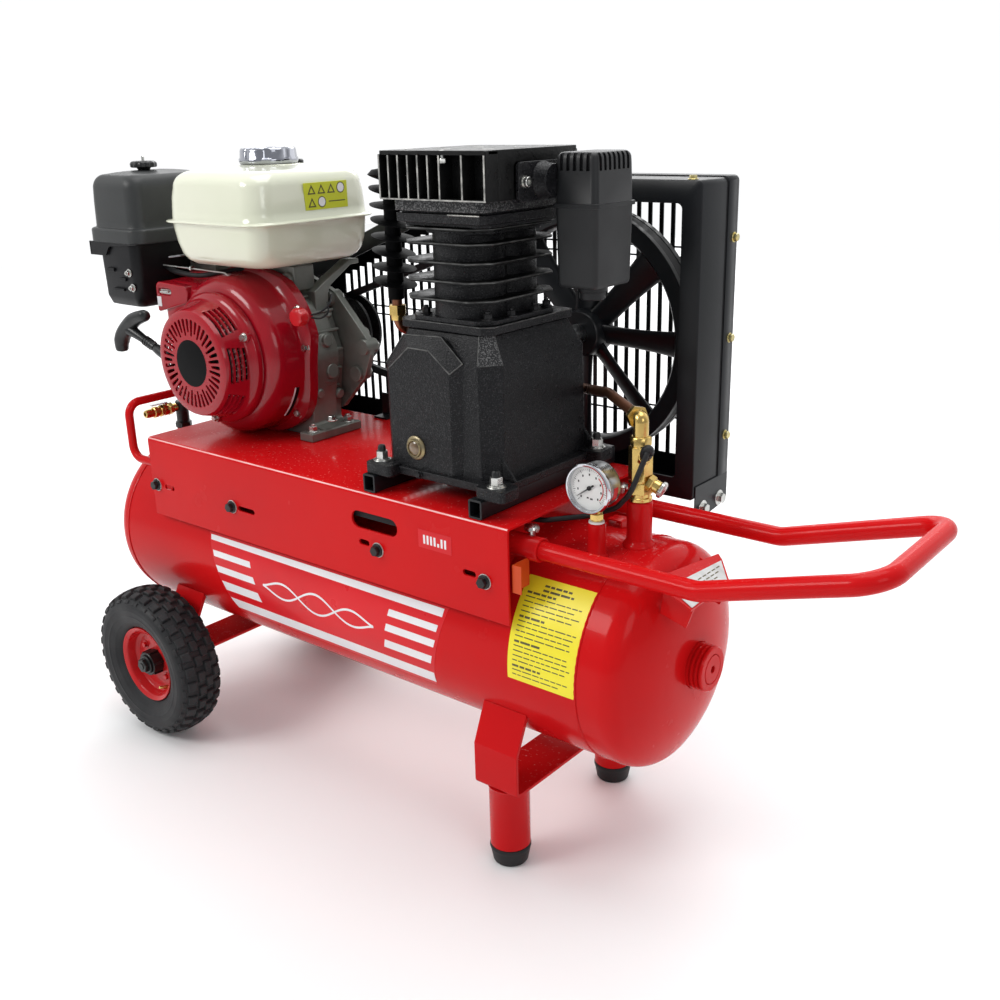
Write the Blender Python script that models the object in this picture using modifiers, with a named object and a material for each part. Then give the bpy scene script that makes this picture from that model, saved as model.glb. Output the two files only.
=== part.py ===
"""Portable petrol air compressor: engine and belt-driven pump on a wheeled air tank.

Axes: +X points to the lifting handle, -Y to the recoil starter, +Z up, floor at Z = 0.
All sizes are in metres. Shapes are laid out about the tank's axis, then SHIFT moves the
whole object so that the origin is the middle of its footprint.
"""
import math

import bmesh
import bpy
from mathutils import Matrix, Vector

GAP = 0.0003
SHIFT = Vector((-0.147, -0.0077, 0.0))

# Tank
TANK_RADIUS = 0.154
TANK_WALL = 0.003
TANK_Z = 0.315
TANK_ENDS = (-0.548, 0.575)
CROWN_RADIUS = 0.270
KNUCKLE_RADIUS = 0.035
PORT_RADIUS = 0.020
PORT_FACE_X = 0.587

# Folded deck over the tank
DECK_HALF_LENGTH = 0.378
DECK_HALF_WIDTH = 0.157
DECK_TOP = 0.511
DECK_BOTTOM = 0.378
DECK_SHEET = 0.004
DECK_BOLT_X = (-0.365, -0.1705, 0.147, 0.339)
DECK_BOLT_Z = 0.431

# Undercarriage
WHEEL_X = -0.358
WHEEL_Y = 0.2016
WHEEL_RADIUS = 0.130
AXLE_RADIUS = 0.010
STRAP_SHEET = 0.005
STRAP_WIDTH = 0.073
STRAP_HALF_SPAN = 0.160
LEG_X = 0.350
LEG_Y = 0.1306
LEG_RADIUS = 0.0285

# Handle
HANDLE_Y = 0.109
HANDLE_Z = 0.471
CROSSBAR_Z = 0.535
HANDLE_RADIUS = 0.0125
SOCKET_RADIUS = 0.0162
SOCKET_X = (0.205, 0.397)

# Engine
CRANK_X = -0.262
CRANK_Z = 0.643
ENGINE_SHAFT_RADIUS = 0.0125
FAN_COVER_RADIUS = 0.128
SHROUD_CORNER = (0.150, 0.112)
FUEL_TANK_LOW = 0.783
RECOIL_FACE_Y = -0.137

# Pump
PUMP_X = 0.247
PUMP_Z = 0.688
PUMP_SHAFT_RADIUS = 0.015
CYLINDER_BORE = 0.026
RAIL_X = (0.132, 0.322)
RAIL_TOP = 0.537

# Intake filter
FILTER_X = (0.365, 0.4215)

# Belt drive
FLYWHEEL_RADIUS = 0.185
PULLEY_RADIUS = 0.062
BELT_Y = 0.208
BELT_TOP_WIDTH = 0.017
BELT_DEPTH = 0.011
GUARD_FRONT_Y = 0.160
GUARD_SPLIT_Y = 0.238
GUARD_BACK_Y = 0.257
GUARD_SHEET = 0.002

COLOURS = {
    "red": ((0.62, 0.012, 0.014), 0.22, 0.0),
    "crimson": ((0.42, 0.008, 0.025), 0.25, 0.0),
    "cream": ((0.80, 0.80, 0.68), 0.28, 0.0),
    "black": ((0.014, 0.014, 0.015), 0.42, 0.0),
    "cast": ((0.010, 0.010, 0.011), 0.55, 0.0),
    "rubber": ((0.018, 0.018, 0.018), 0.75, 0.0),
    "aluminium": ((0.42, 0.43, 0.42), 0.45, 0.9),
    "steel": ((0.55, 0.56, 0.57), 0.30, 1.0),
    "chrome": ((0.85, 0.85, 0.86), 0.08, 1.0),
    "brass": ((0.72, 0.52, 0.20), 0.28, 1.0),
    "copper": ((0.36, 0.17, 0.10), 0.35, 1.0),
    "white": ((0.85, 0.85, 0.83), 0.40, 0.0),
}


def clear_scene():
    for item in list(bpy.data.objects):
        bpy.data.objects.remove(item, do_unlink=True)


def new_collection(name):
    group = bpy.data.collections.new(name)
    bpy.context.scene.collection.children.link(group)
    return group


clear_scene()
PARTS = new_collection("air_compressor")
CUTTERS = new_collection("cutters")


def finish(name, kind):
    colour, roughness, metallic = COLOURS[kind]
    material = bpy.data.materials.new(name)
    material.use_nodes = True
    shader = material.node_tree.nodes["Principled BSDF"]
    shader.inputs["Base Color"].default_value = (*colour, 1.0)
    shader.inputs["Roughness"].default_value = roughness
    shader.inputs["Metallic"].default_value = metallic
    return material


def place(name, mesh, kind, at=(0, 0, 0)):
    """Puts a mesh in the scene as a part, or as a hidden tool when kind is 'tool'."""
    item = bpy.data.objects.new(name, mesh)
    item.location = at
    if kind == "tool":
        CUTTERS.objects.link(item)
        item.hide_render = True
        item.display_type = "WIRE"
    else:
        PARTS.objects.link(item)
        mesh.materials.append(finish(name, kind))
    return item


def from_bmesh(name, bm, kind, at):
    mesh = bpy.data.meshes.new(name)
    bm.to_mesh(mesh)
    bm.free()
    return place(name, mesh, kind, at)


def block(name, low, high, kind, at=(0, 0, 0), bevel=0.0, segments=2):
    low, high = Vector(low), Vector(high)
    scale = Matrix.Diagonal((*(high - low), 1.0))
    bm = bmesh.new()
    bmesh.ops.create_cube(bm, size=1.0, matrix=Matrix.Translation((low + high) / 2) @ scale)
    item = from_bmesh(name, bm, kind, at)
    if bevel:
        soften(item, bevel, segments)
    return item


def soften(item, width, segments=2):
    modifier = item.modifiers.new("edges", "BEVEL")
    modifier.width = width
    modifier.segments = segments
    modifier.limit_method = "ANGLE"
    modifier.angle_limit = math.radians(40)


def rod(name, start, end, radius, kind, end_radius=None, sides=20, at=(0, 0, 0)):
    start, end = Vector(start), Vector(end)
    along = end - start
    turn = along.to_track_quat("Z", "Y").to_matrix().to_4x4()
    bm = bmesh.new()
    bmesh.ops.create_cone(
        bm, cap_ends=True, segments=sides, depth=along.length,
        radius1=radius, radius2=radius if end_radius is None else end_radius,
        matrix=Matrix.Translation((start + end) / 2) @ turn)
    item = from_bmesh(name, bm, kind, at)
    item.data.shade_smooth()
    item.data.set_sharp_from_angle(angle=math.radians(40))
    return item


def turned(name, profile, kind, at, axis, sides=32):
    """Turns (radius, height) points about an axis; they run down the outer side."""
    points = [(radius, 0.0, height) for radius, height in profile]
    edges = [(i, i + 1) for i in range(len(points) - 1)]
    if profile[0][0] > 0 or profile[-1][0] > 0:
        edges.append((len(points) - 1, 0))
    mesh = bpy.data.meshes.new(name)
    mesh.from_pydata(points, edges, [])
    item = place(name, mesh, kind, at)
    item.rotation_euler = Vector(axis).to_track_quat("Z", "Y").to_euler()
    screw = item.modifiers.new("turn", "SCREW")
    screw.steps = sides
    screw.render_steps = sides
    screw.use_merge_vertices = True
    screw.merge_threshold = 0.0001
    return item


def filleted(corners, radius, steps=3, closed=True):
    """Replaces each corner by an arc; radius is one number or one for each corner."""
    result = []
    count = len(corners)
    for index, corner in enumerate(corners):
        corner = Vector(corner)
        reach_radius = radius[index] if isinstance(radius, (list, tuple)) else radius
        if reach_radius == 0 or (not closed and index in (0, count - 1)):
            result.append(corner)
            continue
        before = Vector(corners[index - 1]) - corner
        after = Vector(corners[(index + 1) % count]) - corner
        half = before.angle(after) / 2
        reach = min(reach_radius / math.tan(half), 0.49 * before.length, 0.49 * after.length)
        bisector = (before.normalized() + after.normalized()).normalized()
        centre = corner + bisector * (reach / math.cos(half))
        start = corner + before.normalized() * reach - centre
        end = corner + after.normalized() * reach - centre
        size = start.length
        first, last = start.normalized(), end.normalized()
        result += [centre + first.slerp(last, step / steps) * size for step in range(steps + 1)]
    return result


def welded_mesh(item, name):
    """Reads a curve object as one welded mesh and removes the curve."""
    bpy.context.view_layer.update()
    graph = bpy.context.evaluated_depsgraph_get()
    mesh = bpy.data.meshes.new_from_object(item.evaluated_get(graph))
    mesh.name = name
    bm = bmesh.new()
    bm.from_mesh(mesh)
    bmesh.ops.remove_doubles(bm, verts=bm.verts, dist=0.00001)
    bmesh.ops.recalc_face_normals(bm, faces=bm.faces)
    bm.to_mesh(mesh)
    bm.free()
    mesh.materials.clear()
    curve = item.data
    bpy.data.objects.remove(item, do_unlink=True)
    bpy.data.curves.remove(curve)
    return mesh


def curve_object(name, paths, flat):
    curve = bpy.data.curves.new(name, "CURVE")
    curve.dimensions = "2D" if flat else "3D"
    for path in paths:
        spline = curve.splines.new("POLY")
        spline.points.add(len(path) - 1)
        for point, place_at in zip(spline.points, path):
            point.co = (*Vector(place_at).to_3d(), 1.0)
        spline.use_cyclic_u = flat
    item = bpy.data.objects.new(name, curve)
    CUTTERS.objects.link(item)
    return item


# Where a flat outline's (u, v) axes point: along Y it lies in X-Z, along X in Y-Z.
FACING = {
    "X": Matrix(((0, 0, 1), (1, 0, 0), (0, 1, 0))).to_4x4(),
    "Y": Matrix(((1, 0, 0), (0, 0, -1), (0, 1, 0))).to_4x4(),
    "Z": Matrix.Identity(4),
}


def plate(name, outlines, span, facing, kind, at=(0, 0, 0)):
    """Extrudes flat outlines (the first is the rim, the rest are holes) over a span."""
    item = curve_object(name, outlines, flat=True)
    item.data.fill_mode = "BOTH"
    item.data.extrude = abs(span[1] - span[0]) / 2
    mesh = welded_mesh(item, name)
    middle = (span[0] + span[1]) / 2
    mesh.transform(FACING[facing])
    offset = {"X": (middle, 0, 0), "Y": (0, middle, 0), "Z": (0, 0, middle)}[facing]
    mesh.transform(Matrix.Translation(offset))
    return place(name, mesh, kind, at)


def tube(name, path, radius, kind, resolution=3, at=(0, 0, 0)):
    item = curve_object(name, [path], flat=False)
    item.data.bevel_depth = radius
    item.data.bevel_resolution = resolution
    item.data.use_fill_caps = True
    mesh = welded_mesh(item, name)
    mesh.shade_smooth()
    mesh.set_sharp_from_angle(angle=math.radians(50))
    return place(name, mesh, kind, at)


def lofted(name, rings, kind, at=(0, 0, 0), closed=False):
    """Skins between rings with equal point counts; closed joins the last to the first."""
    bm = bmesh.new()
    rows = [[bm.verts.new(point) for point in ring] for ring in rings]
    following = rows[1:] + rows[:1] if closed else rows[1:]
    for row, above in zip(rows, following):
        for index in range(len(row)):
            beside = (index + 1) % len(row)
            bm.faces.new((row[index], row[beside], above[beside], above[index]))
    if not closed:
        bm.faces.new(reversed(rows[0]))
        bm.faces.new(rows[-1])
    bmesh.ops.recalc_face_normals(bm, faces=bm.faces)
    item = from_bmesh(name, bm, kind, at)
    item.data.shade_smooth()
    item.data.set_sharp_from_angle(angle=math.radians(35))
    return item


def combine(item, others, operation="UNION"):
    for other in others:
        modifier = item.modifiers.new(operation.lower(), "BOOLEAN")
        modifier.operation = operation
        modifier.object = other
    return item


def cut(item, others):
    return combine(item, others, "DIFFERENCE")


def rounded_box_ring(half_x, half_y, z, radius, steps=3, centre=(0, 0)):
    corners = [(-half_x, -half_y), (half_x, -half_y), (half_x, half_y), (-half_x, half_y)]
    ring = filleted(corners, radius, steps)
    return [(centre[0] + point.x, centre[1] + point.y, z) for point in ring]


def arc(centre, radius, start, end, steps):
    """Points on a circle from one angle to another, in degrees."""
    angles = [math.radians(start + (end - start) * i / steps) for i in range(steps + 1)]
    return [(centre[0] + radius * math.cos(a), centre[1] + radius * math.sin(a)) for a in angles]


# ---------------------------------------------------------------- tank

def head_profile(apex, sign, inset, inner_radius=0.0, steps=3):
    """Half of a dished tank end, from the port or axis out to the cylinder wall."""
    crown = CROWN_RADIUS - inset
    knuckle = KNUCKLE_RADIUS - inset
    knuckle_r = TANK_RADIUS - KNUCKLE_RADIUS
    turn_angle = math.asin(knuckle_r / (CROWN_RADIUS - KNUCKLE_RADIUS))
    crown_x = apex - sign * CROWN_RADIUS
    knuckle_x = crown_x + sign * (CROWN_RADIUS - KNUCKLE_RADIUS) * math.cos(turn_angle)
    first = math.asin(inner_radius / crown)
    points = []
    for step in range(steps):
        angle = first + (turn_angle - first) * step / (steps - 1)
        points.append((crown * math.sin(angle), crown_x + sign * crown * math.cos(angle)))
    for step in range(1, steps + 1):
        angle = turn_angle + (math.pi / 2 - turn_angle) * step / steps
        points.append((knuckle_r + knuckle * math.sin(angle), knuckle_x + sign * knuckle * math.cos(angle)))
    return points


def make_tank():
    left, right = TANK_ENDS
    boss = 0.031
    groove = boss - 0.003
    outer = [(PORT_RADIUS, PORT_FACE_X), (boss, PORT_FACE_X), (boss, PORT_FACE_X - 0.009),
             (groove, PORT_FACE_X - 0.009), (groove, PORT_FACE_X - 0.013)]
    outer += head_profile(right, 1, 0.0, boss + 0.001)
    outer += reversed(head_profile(left, -1, 0.0))
    inner = head_profile(left, -1, TANK_WALL, steps=2)
    inner += reversed(head_profile(right, 1, TANK_WALL, PORT_RADIUS, steps=2))
    shell = turned("tank_shell", inner + outer, "red", (0, 0, TANK_Z), (1, 0, 0), sides=28)
    stubs = [rod("gauge_stub", (0.445, -0.058, 0.445), (0.445, -0.058, 0.4925), 0.011, "tool", sides=14),
             rod("valve_stub", (0.479, -0.010, 0.455), (0.479, -0.010, 0.528), 0.0165, "tool", sides=16),
             rod("outlet_stub", (-0.455, -0.030, 0.450), (-0.455, -0.030, 0.488), 0.012, "tool", sides=14)]
    combine(shell, stubs)
    plug = turned("tank_end_plug", [(0, PORT_FACE_X - 0.004), (0.012, PORT_FACE_X - 0.004),
                                    (PORT_RADIUS - GAP, PORT_FACE_X - 0.006), (PORT_RADIUS - GAP, 0.560),
                                    (0, 0.560)], "red", (0, 0, TANK_Z), (1, 0, 0), sides=20)
    cut(plug, [rod("plug_socket", (0.575, 0, TANK_Z), (0.60, 0, TANK_Z), 0.006, "tool", sides=6)])
    drain_x = 0.05
    low = TANK_Z - TANK_RADIUS
    turned("drain_screw", [(0, -0.001), (0.007, -0.001), (0.007, -0.014), (0.013, -0.014),
                           (0.013, -0.022), (0.006, -0.024), (0, -0.024)],
           "brass", (drain_x, 0, low), (0, 0, 1), sides=12)


# ---------------------------------------------------------------- deck and brackets

def channel_outline(half_width, top, bottom, sheet, bend):
    """A folded sheet's section: across the top and down both sides."""
    outer = [(-half_width, bottom), (-half_width, top), (half_width, top), (half_width, bottom)]
    inner_half = half_width - sheet
    inner = [(inner_half, bottom), (inner_half, top - sheet), (-inner_half, top - sheet), (-inner_half, bottom)]
    bends = [0, bend, bend, 0, 0, bend - sheet * 0.8, bend - sheet * 0.8, 0]
    return filleted(outer + inner, bends, steps=3)


def slot_cutter(name, x_from, x_to, z, half_height):
    left = arc((x_from + half_height, z), half_height, 90, 270, 4)
    right = arc((x_to - half_height, z), half_height, -90, 90, 4)
    return plate(name, [left + right], (-0.2, 0.2), "Y", "tool")


def make_deck():
    section = channel_outline(DECK_HALF_WIDTH, DECK_TOP, DECK_BOTTOM, DECK_SHEET, 0.006)
    deck = plate("deck_plate", [section], (-DECK_HALF_LENGTH, DECK_HALF_LENGTH), "X", "red")
    slots = [slot_cutter("deck_window", 0.098, 0.186, 0.469, 0.0125),
             slot_cutter("deck_slot_1", -0.345, -0.320, DECK_BOLT_Z, 0.004),
             slot_cutter("deck_slot_2", -0.158, -0.118, DECK_BOLT_Z, 0.004),
             slot_cutter("deck_slot_3", 0.110, 0.130, 0.436, 0.004),
             slot_cutter("deck_slot_4", 0.302, 0.324, 0.436, 0.004)]
    cut(deck, slots)


def saddle_outline():
    """Cross plate between deck and tank: its lower edge follows the tank's round."""
    half = DECK_HALF_WIDTH - DECK_SHEET - GAP
    top = DECK_TOP - DECK_SHEET - GAP
    radius = TANK_RADIUS + GAP
    side = math.degrees(math.acos((half - 0.008) / radius))
    left = [(-half + 0.004, top), (-half, top - 0.004), (-half, 0.385), (-half + 0.008, 0.375)]
    right = [(-y, z) for y, z in reversed(left)]
    return left + arc((0, TANK_Z), radius, 180 - side, side, 20) + right


def make_saddles():
    plate("saddle_plate", [saddle_outline()], (-0.335, -0.330), "X", "red")
    mount = plate("handle_mount", [saddle_outline()], (0.330, 0.335), "X", "red")
    for side, y in (("front", -HANDLE_Y), ("rear", HANDLE_Y)):
        combine(mount, [rod("socket_" + side, (SOCKET_X[0], y, HANDLE_Z), (SOCKET_X[1], y, HANDLE_Z),
                            SOCKET_RADIUS, "tool", sides=16)])
    for side, y in (("front", -HANDLE_Y), ("rear", HANDLE_Y)):
        cut(mount, [rod("bore_" + side, (SOCKET_X[0] - 0.01, y, HANDLE_Z), (SOCKET_X[1] + 0.01, y, HANDLE_Z),
                        HANDLE_RADIUS + GAP, "tool", sides=16)])


def make_handle():
    inner_x = SOCKET_X[0] + 0.055
    corners = [(inner_x, -HANDLE_Y, HANDLE_Z), (0.620, -HANDLE_Y, HANDLE_Z), (0.836, -HANDLE_Y, CROSSBAR_Z),
               (0.836, HANDLE_Y, CROSSBAR_Z), (0.620, HANDLE_Y, HANDLE_Z), (inner_x, HANDLE_Y, HANDLE_Z)]
    path = filleted(corners, [0, 0.05, 0.038, 0.038, 0.05, 0], steps=4, closed=False)
    tube("handle", path, HANDLE_RADIUS, "red", resolution=3)
    rail_y = 0.1455
    rail = [(-0.360, -rail_y, 0.463), (-0.440, -rail_y, 0.463), (-0.440, -rail_y, 0.556),
            (-0.440, rail_y, 0.556), (-0.440, rail_y, 0.463), (-0.360, rail_y, 0.463)]
    tube("end_rail", filleted(rail, 0.022, steps=4, closed=False), 0.007, "red", resolution=2)


def strap_outline(plate_z, knee_z):
    """Folded strap under the tank: two slanted ears, two upright sides and a flat floor."""
    ear_angle = math.radians(208)
    radius = TANK_RADIUS + GAP
    ear = (radius * math.cos(ear_angle), TANK_Z + radius * math.sin(ear_angle))
    out = STRAP_HALF_SPAN
    left_outer = [ear, (-out, knee_z), (-out, plate_z)]
    right_outer = [(-y, z) for y, z in reversed(left_outer)]
    in_ear_angle = math.radians(211)
    in_ear = (radius * math.cos(in_ear_angle), TANK_Z + radius * math.sin(in_ear_angle))
    left_inner = [in_ear, (-out + STRAP_SHEET, knee_z - 0.002), (-out + STRAP_SHEET, plate_z + STRAP_SHEET)]
    right_inner = [(-y, z) for y, z in left_inner]
    return left_outer + right_outer + right_inner + list(reversed(left_inner))


def make_undercarriage():
    leg_span = (LEG_X - STRAP_WIDTH / 2, LEG_X + STRAP_WIDTH / 2)
    floor_z = 0.124
    legs = plate("leg_frame", [strap_outline(floor_z, 0.187)], leg_span, "X", "red")
    combine(legs, [rod("leg_" + side, (LEG_X, y, 0.028), (LEG_X, y, floor_z + 0.002), LEG_RADIUS, "tool", sides=24)
                   for side, y in (("front", -LEG_Y), ("rear", LEG_Y))])
    for side, y in (("front", -LEG_Y), ("rear", LEG_Y)):
        turned("foot_" + side, [(0, 0.0277), (LEG_RADIUS + 0.0008, 0.0277), (LEG_RADIUS + 0.0008, 0.022),
                                (0.0245, 0.002), (0.0225, 0.0), (0, 0.0)],
               "rubber", (LEG_X, y, 0), (0, 0, 1), sides=24)
    axle_span = (-0.375, -0.302)
    axle_z = WHEEL_RADIUS
    axle_strap = plate("axle_frame", [strap_outline(axle_z + 0.009, 0.195)], axle_span, "X", "red")
    combine(axle_strap, [rod("axle_rod", (WHEEL_X, -0.232, axle_z), (WHEEL_X, 0.232, axle_z),
                             AXLE_RADIUS, "tool", sides=16)])


def make_wheel(side, sign):
    centre = (WHEEL_X, sign * WHEEL_Y, WHEEL_RADIUS)
    axis = (0, sign, 0)
    tread = [(0.066, 0.024), (0.088, 0.036), (0.108, 0.040), (0.124, 0.030), (0.130, 0.012)]
    section = tread + [(r, -h) for r, h in reversed(tread)]
    turned("tyre_" + side, section, "rubber", centre, axis, sides=24)
    rim = [(0.0125, 0.006), (0.048, 0.006), (0.054, 0.010), (0.058, 0.024), (0.0655, 0.028),
           (0.0657, 0.0235), (0.0657, -0.0235), (0.0655, -0.028), (0.058, -0.024), (0.052, -0.010),
           (0.048, -0.002), (0.0125, -0.002)]
    turned("rim_" + side, rim, "red", centre, axis, sides=24)
    bore = AXLE_RADIUS + GAP
    hub = [(bore, 0.026), (0.0205, 0.026), (0.0205, 0.0063), (0.0122, 0.0063), (0.0122, -0.0023),
           (0.018, -0.0023), (0.018, -0.024), (bore, -0.024)]
    turned("hub_" + side, hub, "black", centre, axis, sides=14)


# ---------------------------------------------------------------- engine

def engine_point(dx, dz):
    return (CRANK_X + dx, CRANK_Z + dz)


def make_crankcase():
    base = DECK_TOP + GAP
    body = [engine_point(-0.135, 0.050), engine_point(-0.075, 0.108), engine_point(0.030, 0.115),
            engine_point(0.105, 0.080), engine_point(0.135, 0.0), engine_point(0.120, -0.080),
            (CRANK_X + 0.118, base + 0.018), (CRANK_X + 0.144, base + 0.014), (CRANK_X + 0.144, base),
            (CRANK_X - 0.100, base), (CRANK_X - 0.100, base + 0.014), engine_point(-0.085, -0.080),
            engine_point(-0.1498, -0.035)]
    rounds = [0.008, 0.03, 0.03, 0.03, 0.03, 0.02, 0.006, 0.003, 0, 0, 0.003, 0.02, 0.008]
    case = plate("engine_crankcase", [filleted(body, rounds, steps=2)], (0.0003, 0.070), "Y", "aluminium")
    bore = rod("case_bore", (CRANK_X, -0.05, CRANK_Z), (CRANK_X, 0.2, CRANK_Z),
               ENGINE_SHAFT_RADIUS + GAP, "tool", sides=20)
    feet = [block("foot_bolt_lug_" + side, (x, front, base), (x + 0.030, 0.0800, base + 0.0135), "tool")
            for side, x, front in (("left", CRANK_X - 0.099, 0.0003), ("right", CRANK_X + 0.1135, -0.028))]
    combine(case, feet)
    stay = [(0.035, 0.700), (0.055, 0.700), (0.060, 0.7435), (0.112, 0.774), (0.130, 0.774), (0.130, 0.7822),
            (0.108, 0.7822), (0.050, 0.752), (0.035, 0.740)]
    combine(case, [plate("stay_arm", [stay], (CRANK_X + 0.090, CRANK_X + 0.110), "X", "tool")])
    cut(case, [bore])
    cover = [engine_point(-0.140, 0.045), engine_point(-0.070, 0.110), engine_point(0.040, 0.120),
             engine_point(0.112, 0.092), engine_point(0.190, 0.010), engine_point(0.170, -0.040),
             engine_point(0.110, -0.100), engine_point(-0.070, -0.100), engine_point(-0.120, -0.050)]
    side = plate("engine_side_cover", [filleted(cover, 0.03, steps=2)], (0.0703, 0.100), "Y", "aluminium")
    combine(side, [rod("bearing_boss", (CRANK_X, 0.09, CRANK_Z), (CRANK_X, 0.118, CRANK_Z), 0.036, "tool",
                       end_radius=0.028, sides=24)])
    cut(side, [rod("cover_bore", (CRANK_X, 0.05, CRANK_Z), (CRANK_X, 0.2, CRANK_Z),
                   ENGINE_SHAFT_RADIUS + GAP, "tool", sides=20)])


def make_cylinder():
    """Finned cylinder and head, inclined up and away from the crank."""
    tilt = math.radians(10)
    along = Vector((-math.cos(tilt), 0, math.sin(tilt)))
    turn = along.to_track_quat("Z", "Y").to_matrix()
    start = Vector((CRANK_X - 0.1424, 0.0465, CRANK_Z + 0.0075)) + along * 0.0006
    rings = []
    height = 0.0
    for fin in range(6):
        for half, step in ((0.030, 0.0), (0.030, 0.006), (0.046, 0.0), (0.046, 0.004)):
            height += step
            rings.append((half, height))
    rings.append((0.036, height))
    rings.append((0.036, height + 0.022))
    loops = []
    for half, height in rings:
        ring = rounded_box_ring(half, half * 0.95, height, 0.010, steps=1)
        loops.append([start + turn @ Vector(point) for point in ring])
    lofted("engine_cylinder", loops, "aluminium")


def shroud_ring(y, inset, flange=0.0):
    """Outline of the fan cover at one depth: round, squared out over the cylinder.

    flange widens it to the joint face, with a lug for the engine switch; the outline
    stays clear of the deck below and the fuel tank above.
    """
    points = []
    for step in range(40):
        angle = 2 * math.pi * step / 40
        radius = FAN_COVER_RADIUS
        if math.radians(95) < angle < math.radians(167):
            radius = max(radius, min(-SHROUD_CORNER[0] / math.cos(angle), SHROUD_CORNER[1] / math.sin(angle)))
        lug = max(0.0, math.cos(angle - math.radians(32))) ** 8
        radius += flange * (0.5 + lug) - inset
        z = CRANK_Z + radius * math.sin(angle)
        points.append((CRANK_X + radius * math.cos(angle), y, min(max(z, DECK_TOP + 0.0015), FUEL_TANK_LOW - 0.002)))
    return points


def circle_ring(y, radius, count=40):
    return [(CRANK_X + radius * math.cos(2 * math.pi * i / count), y,
             CRANK_Z + radius * math.sin(2 * math.pi * i / count)) for i in range(count)]


def make_fan_cover():
    mouth = 0.098
    flange = 0.022
    rings = [shroud_ring(0.0, 0.0, flange), shroud_ring(-0.016, 0.0, flange), shroud_ring(-0.022, 0.0, 0.003),
             shroud_ring(-0.060, 0.002), shroud_ring(-0.073, 0.008), shroud_ring(-0.080, 0.018),
             circle_ring(-0.082, mouth), circle_ring(-0.0795, mouth), shroud_ring(-0.0775, 0.020),
             shroud_ring(-0.066, 0.0090), shroud_ring(0.0, 0.0040)]
    lofted("fan_cover", rings, "crimson", closed=True)
    face = -RECOIL_FACE_Y
    rear = 0.0823
    recoil = [(0, face), (0.078, face), (0.084, face - 0.004), (0.093, 0.100), (0.104, rear + 0.002), (0.104, rear),
              (0.0985, rear), (0.089, 0.0995), (0.080, face - 0.006), (0.076, face - 0.003), (0, face - 0.003)]
    turned("recoil_cover", recoil, "crimson", (CRANK_X, 0, CRANK_Z), (0, -1, 0), sides=28)


def make_recoil_grip():
    mouth = Vector((-0.372, -0.1215, 0.652))
    pull = Vector((-0.94, 0.0, 0.342)).normalized()
    across = Vector((0.80, 0.0, 0.60)).normalized()
    centre = mouth + pull * 0.075
    bar = filleted([centre - across * 0.062 - pull * 0.024, centre - across * 0.024 + pull * 0.008,
                    centre + across * 0.028 + pull * 0.006, centre + across * 0.058 - pull * 0.028],
                   0.03, steps=3, closed=False)
    at = mouth
    grip = tube("recoil_grip", [point - at for point in bar], 0.0105, "black", resolution=3, at=at)
    stem = rod("grip_stem", pull * 0.004, pull * 0.078, 0.0075, "tool", end_radius=0.0105, sides=12, at=at)
    combine(grip, [stem])
    return grip


def make_engine_shaft():
    along = (0, 1, 0)
    r = ENGINE_SHAFT_RADIUS
    turned("engine_crankshaft", [(0, 0.236), (r - 0.001, 0.236), (r, 0.235), (r, -0.052), (0, -0.052)],
           "steel", (CRANK_X, 0, CRANK_Z), along, sides=20)
    bore = r + GAP
    fan = [(bore, -0.006), (0.060, -0.006), (0.108, -0.016), (0.112, -0.024), (0.112, -0.036), (0.100, -0.040),
           (0.030, -0.046), (bore, -0.046)]
    turned("engine_flywheel", fan, "aluminium", (CRANK_X, 0, CRANK_Z), along, sides=24)
    turned("drive_pulley", grooved_wheel(PULLEY_RADIUS, bore, 0.022), "cast",
           (CRANK_X, BELT_Y, CRANK_Z), along, sides=20)


def grooved_wheel(radius, bore, hub_half):
    """Solid V-belt pulley section, groove centred on height 0."""
    top = BELT_TOP_WIDTH / 2 + 0.0006
    depth = BELT_DEPTH + 0.003
    floor = top - depth * math.tan(math.radians(19)) - 0.0002
    half = 0.0145
    return [(bore, hub_half), (0.024, hub_half), (0.024, half), (radius, half), (radius, top),
            (radius - depth, floor), (radius - depth, -floor), (radius, -top), (radius, -half),
            (0.024, -half), (0.024, -hub_half), (bore, -hub_half)]


def make_fuel_tank():
    centre = (-0.2375, 0.025)
    half_x, half_y = 0.1175, 0.125
    levels = [(FUEL_TANK_LOW, 0.034, 0.026), (0.788, 0.022, 0.028), (0.812, 0.008, 0.030), (0.842, 0.004, 0.030),
              (0.8515, 0.004, 0.030), (0.8515, -0.004, 0.034), (0.8545, -0.004, 0.034), (0.8545, 0.004, 0.030),
              (0.888, 0.005, 0.030), (0.906, 0.009, 0.028), (0.917, 0.018, 0.026), (0.9235, 0.034, 0.022),
              (0.926, 0.060, 0.018)]
    rings = [rounded_box_ring(half_x - inset, half_y - inset, z, radius, 3, centre) for z, inset, radius in levels]
    lofted("fuel_tank", rings, "cream")
    cap_at = (-0.233, 0.028, 0.9263)
    turned("fuel_cap", [(0, 0.024), (0.040, 0.024), (0.044, 0.021), (0.046, 0.004), (0.044, 0.0), (0, 0.0)],
           "chrome", cap_at, (0, 0, 1), sides=24)


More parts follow.
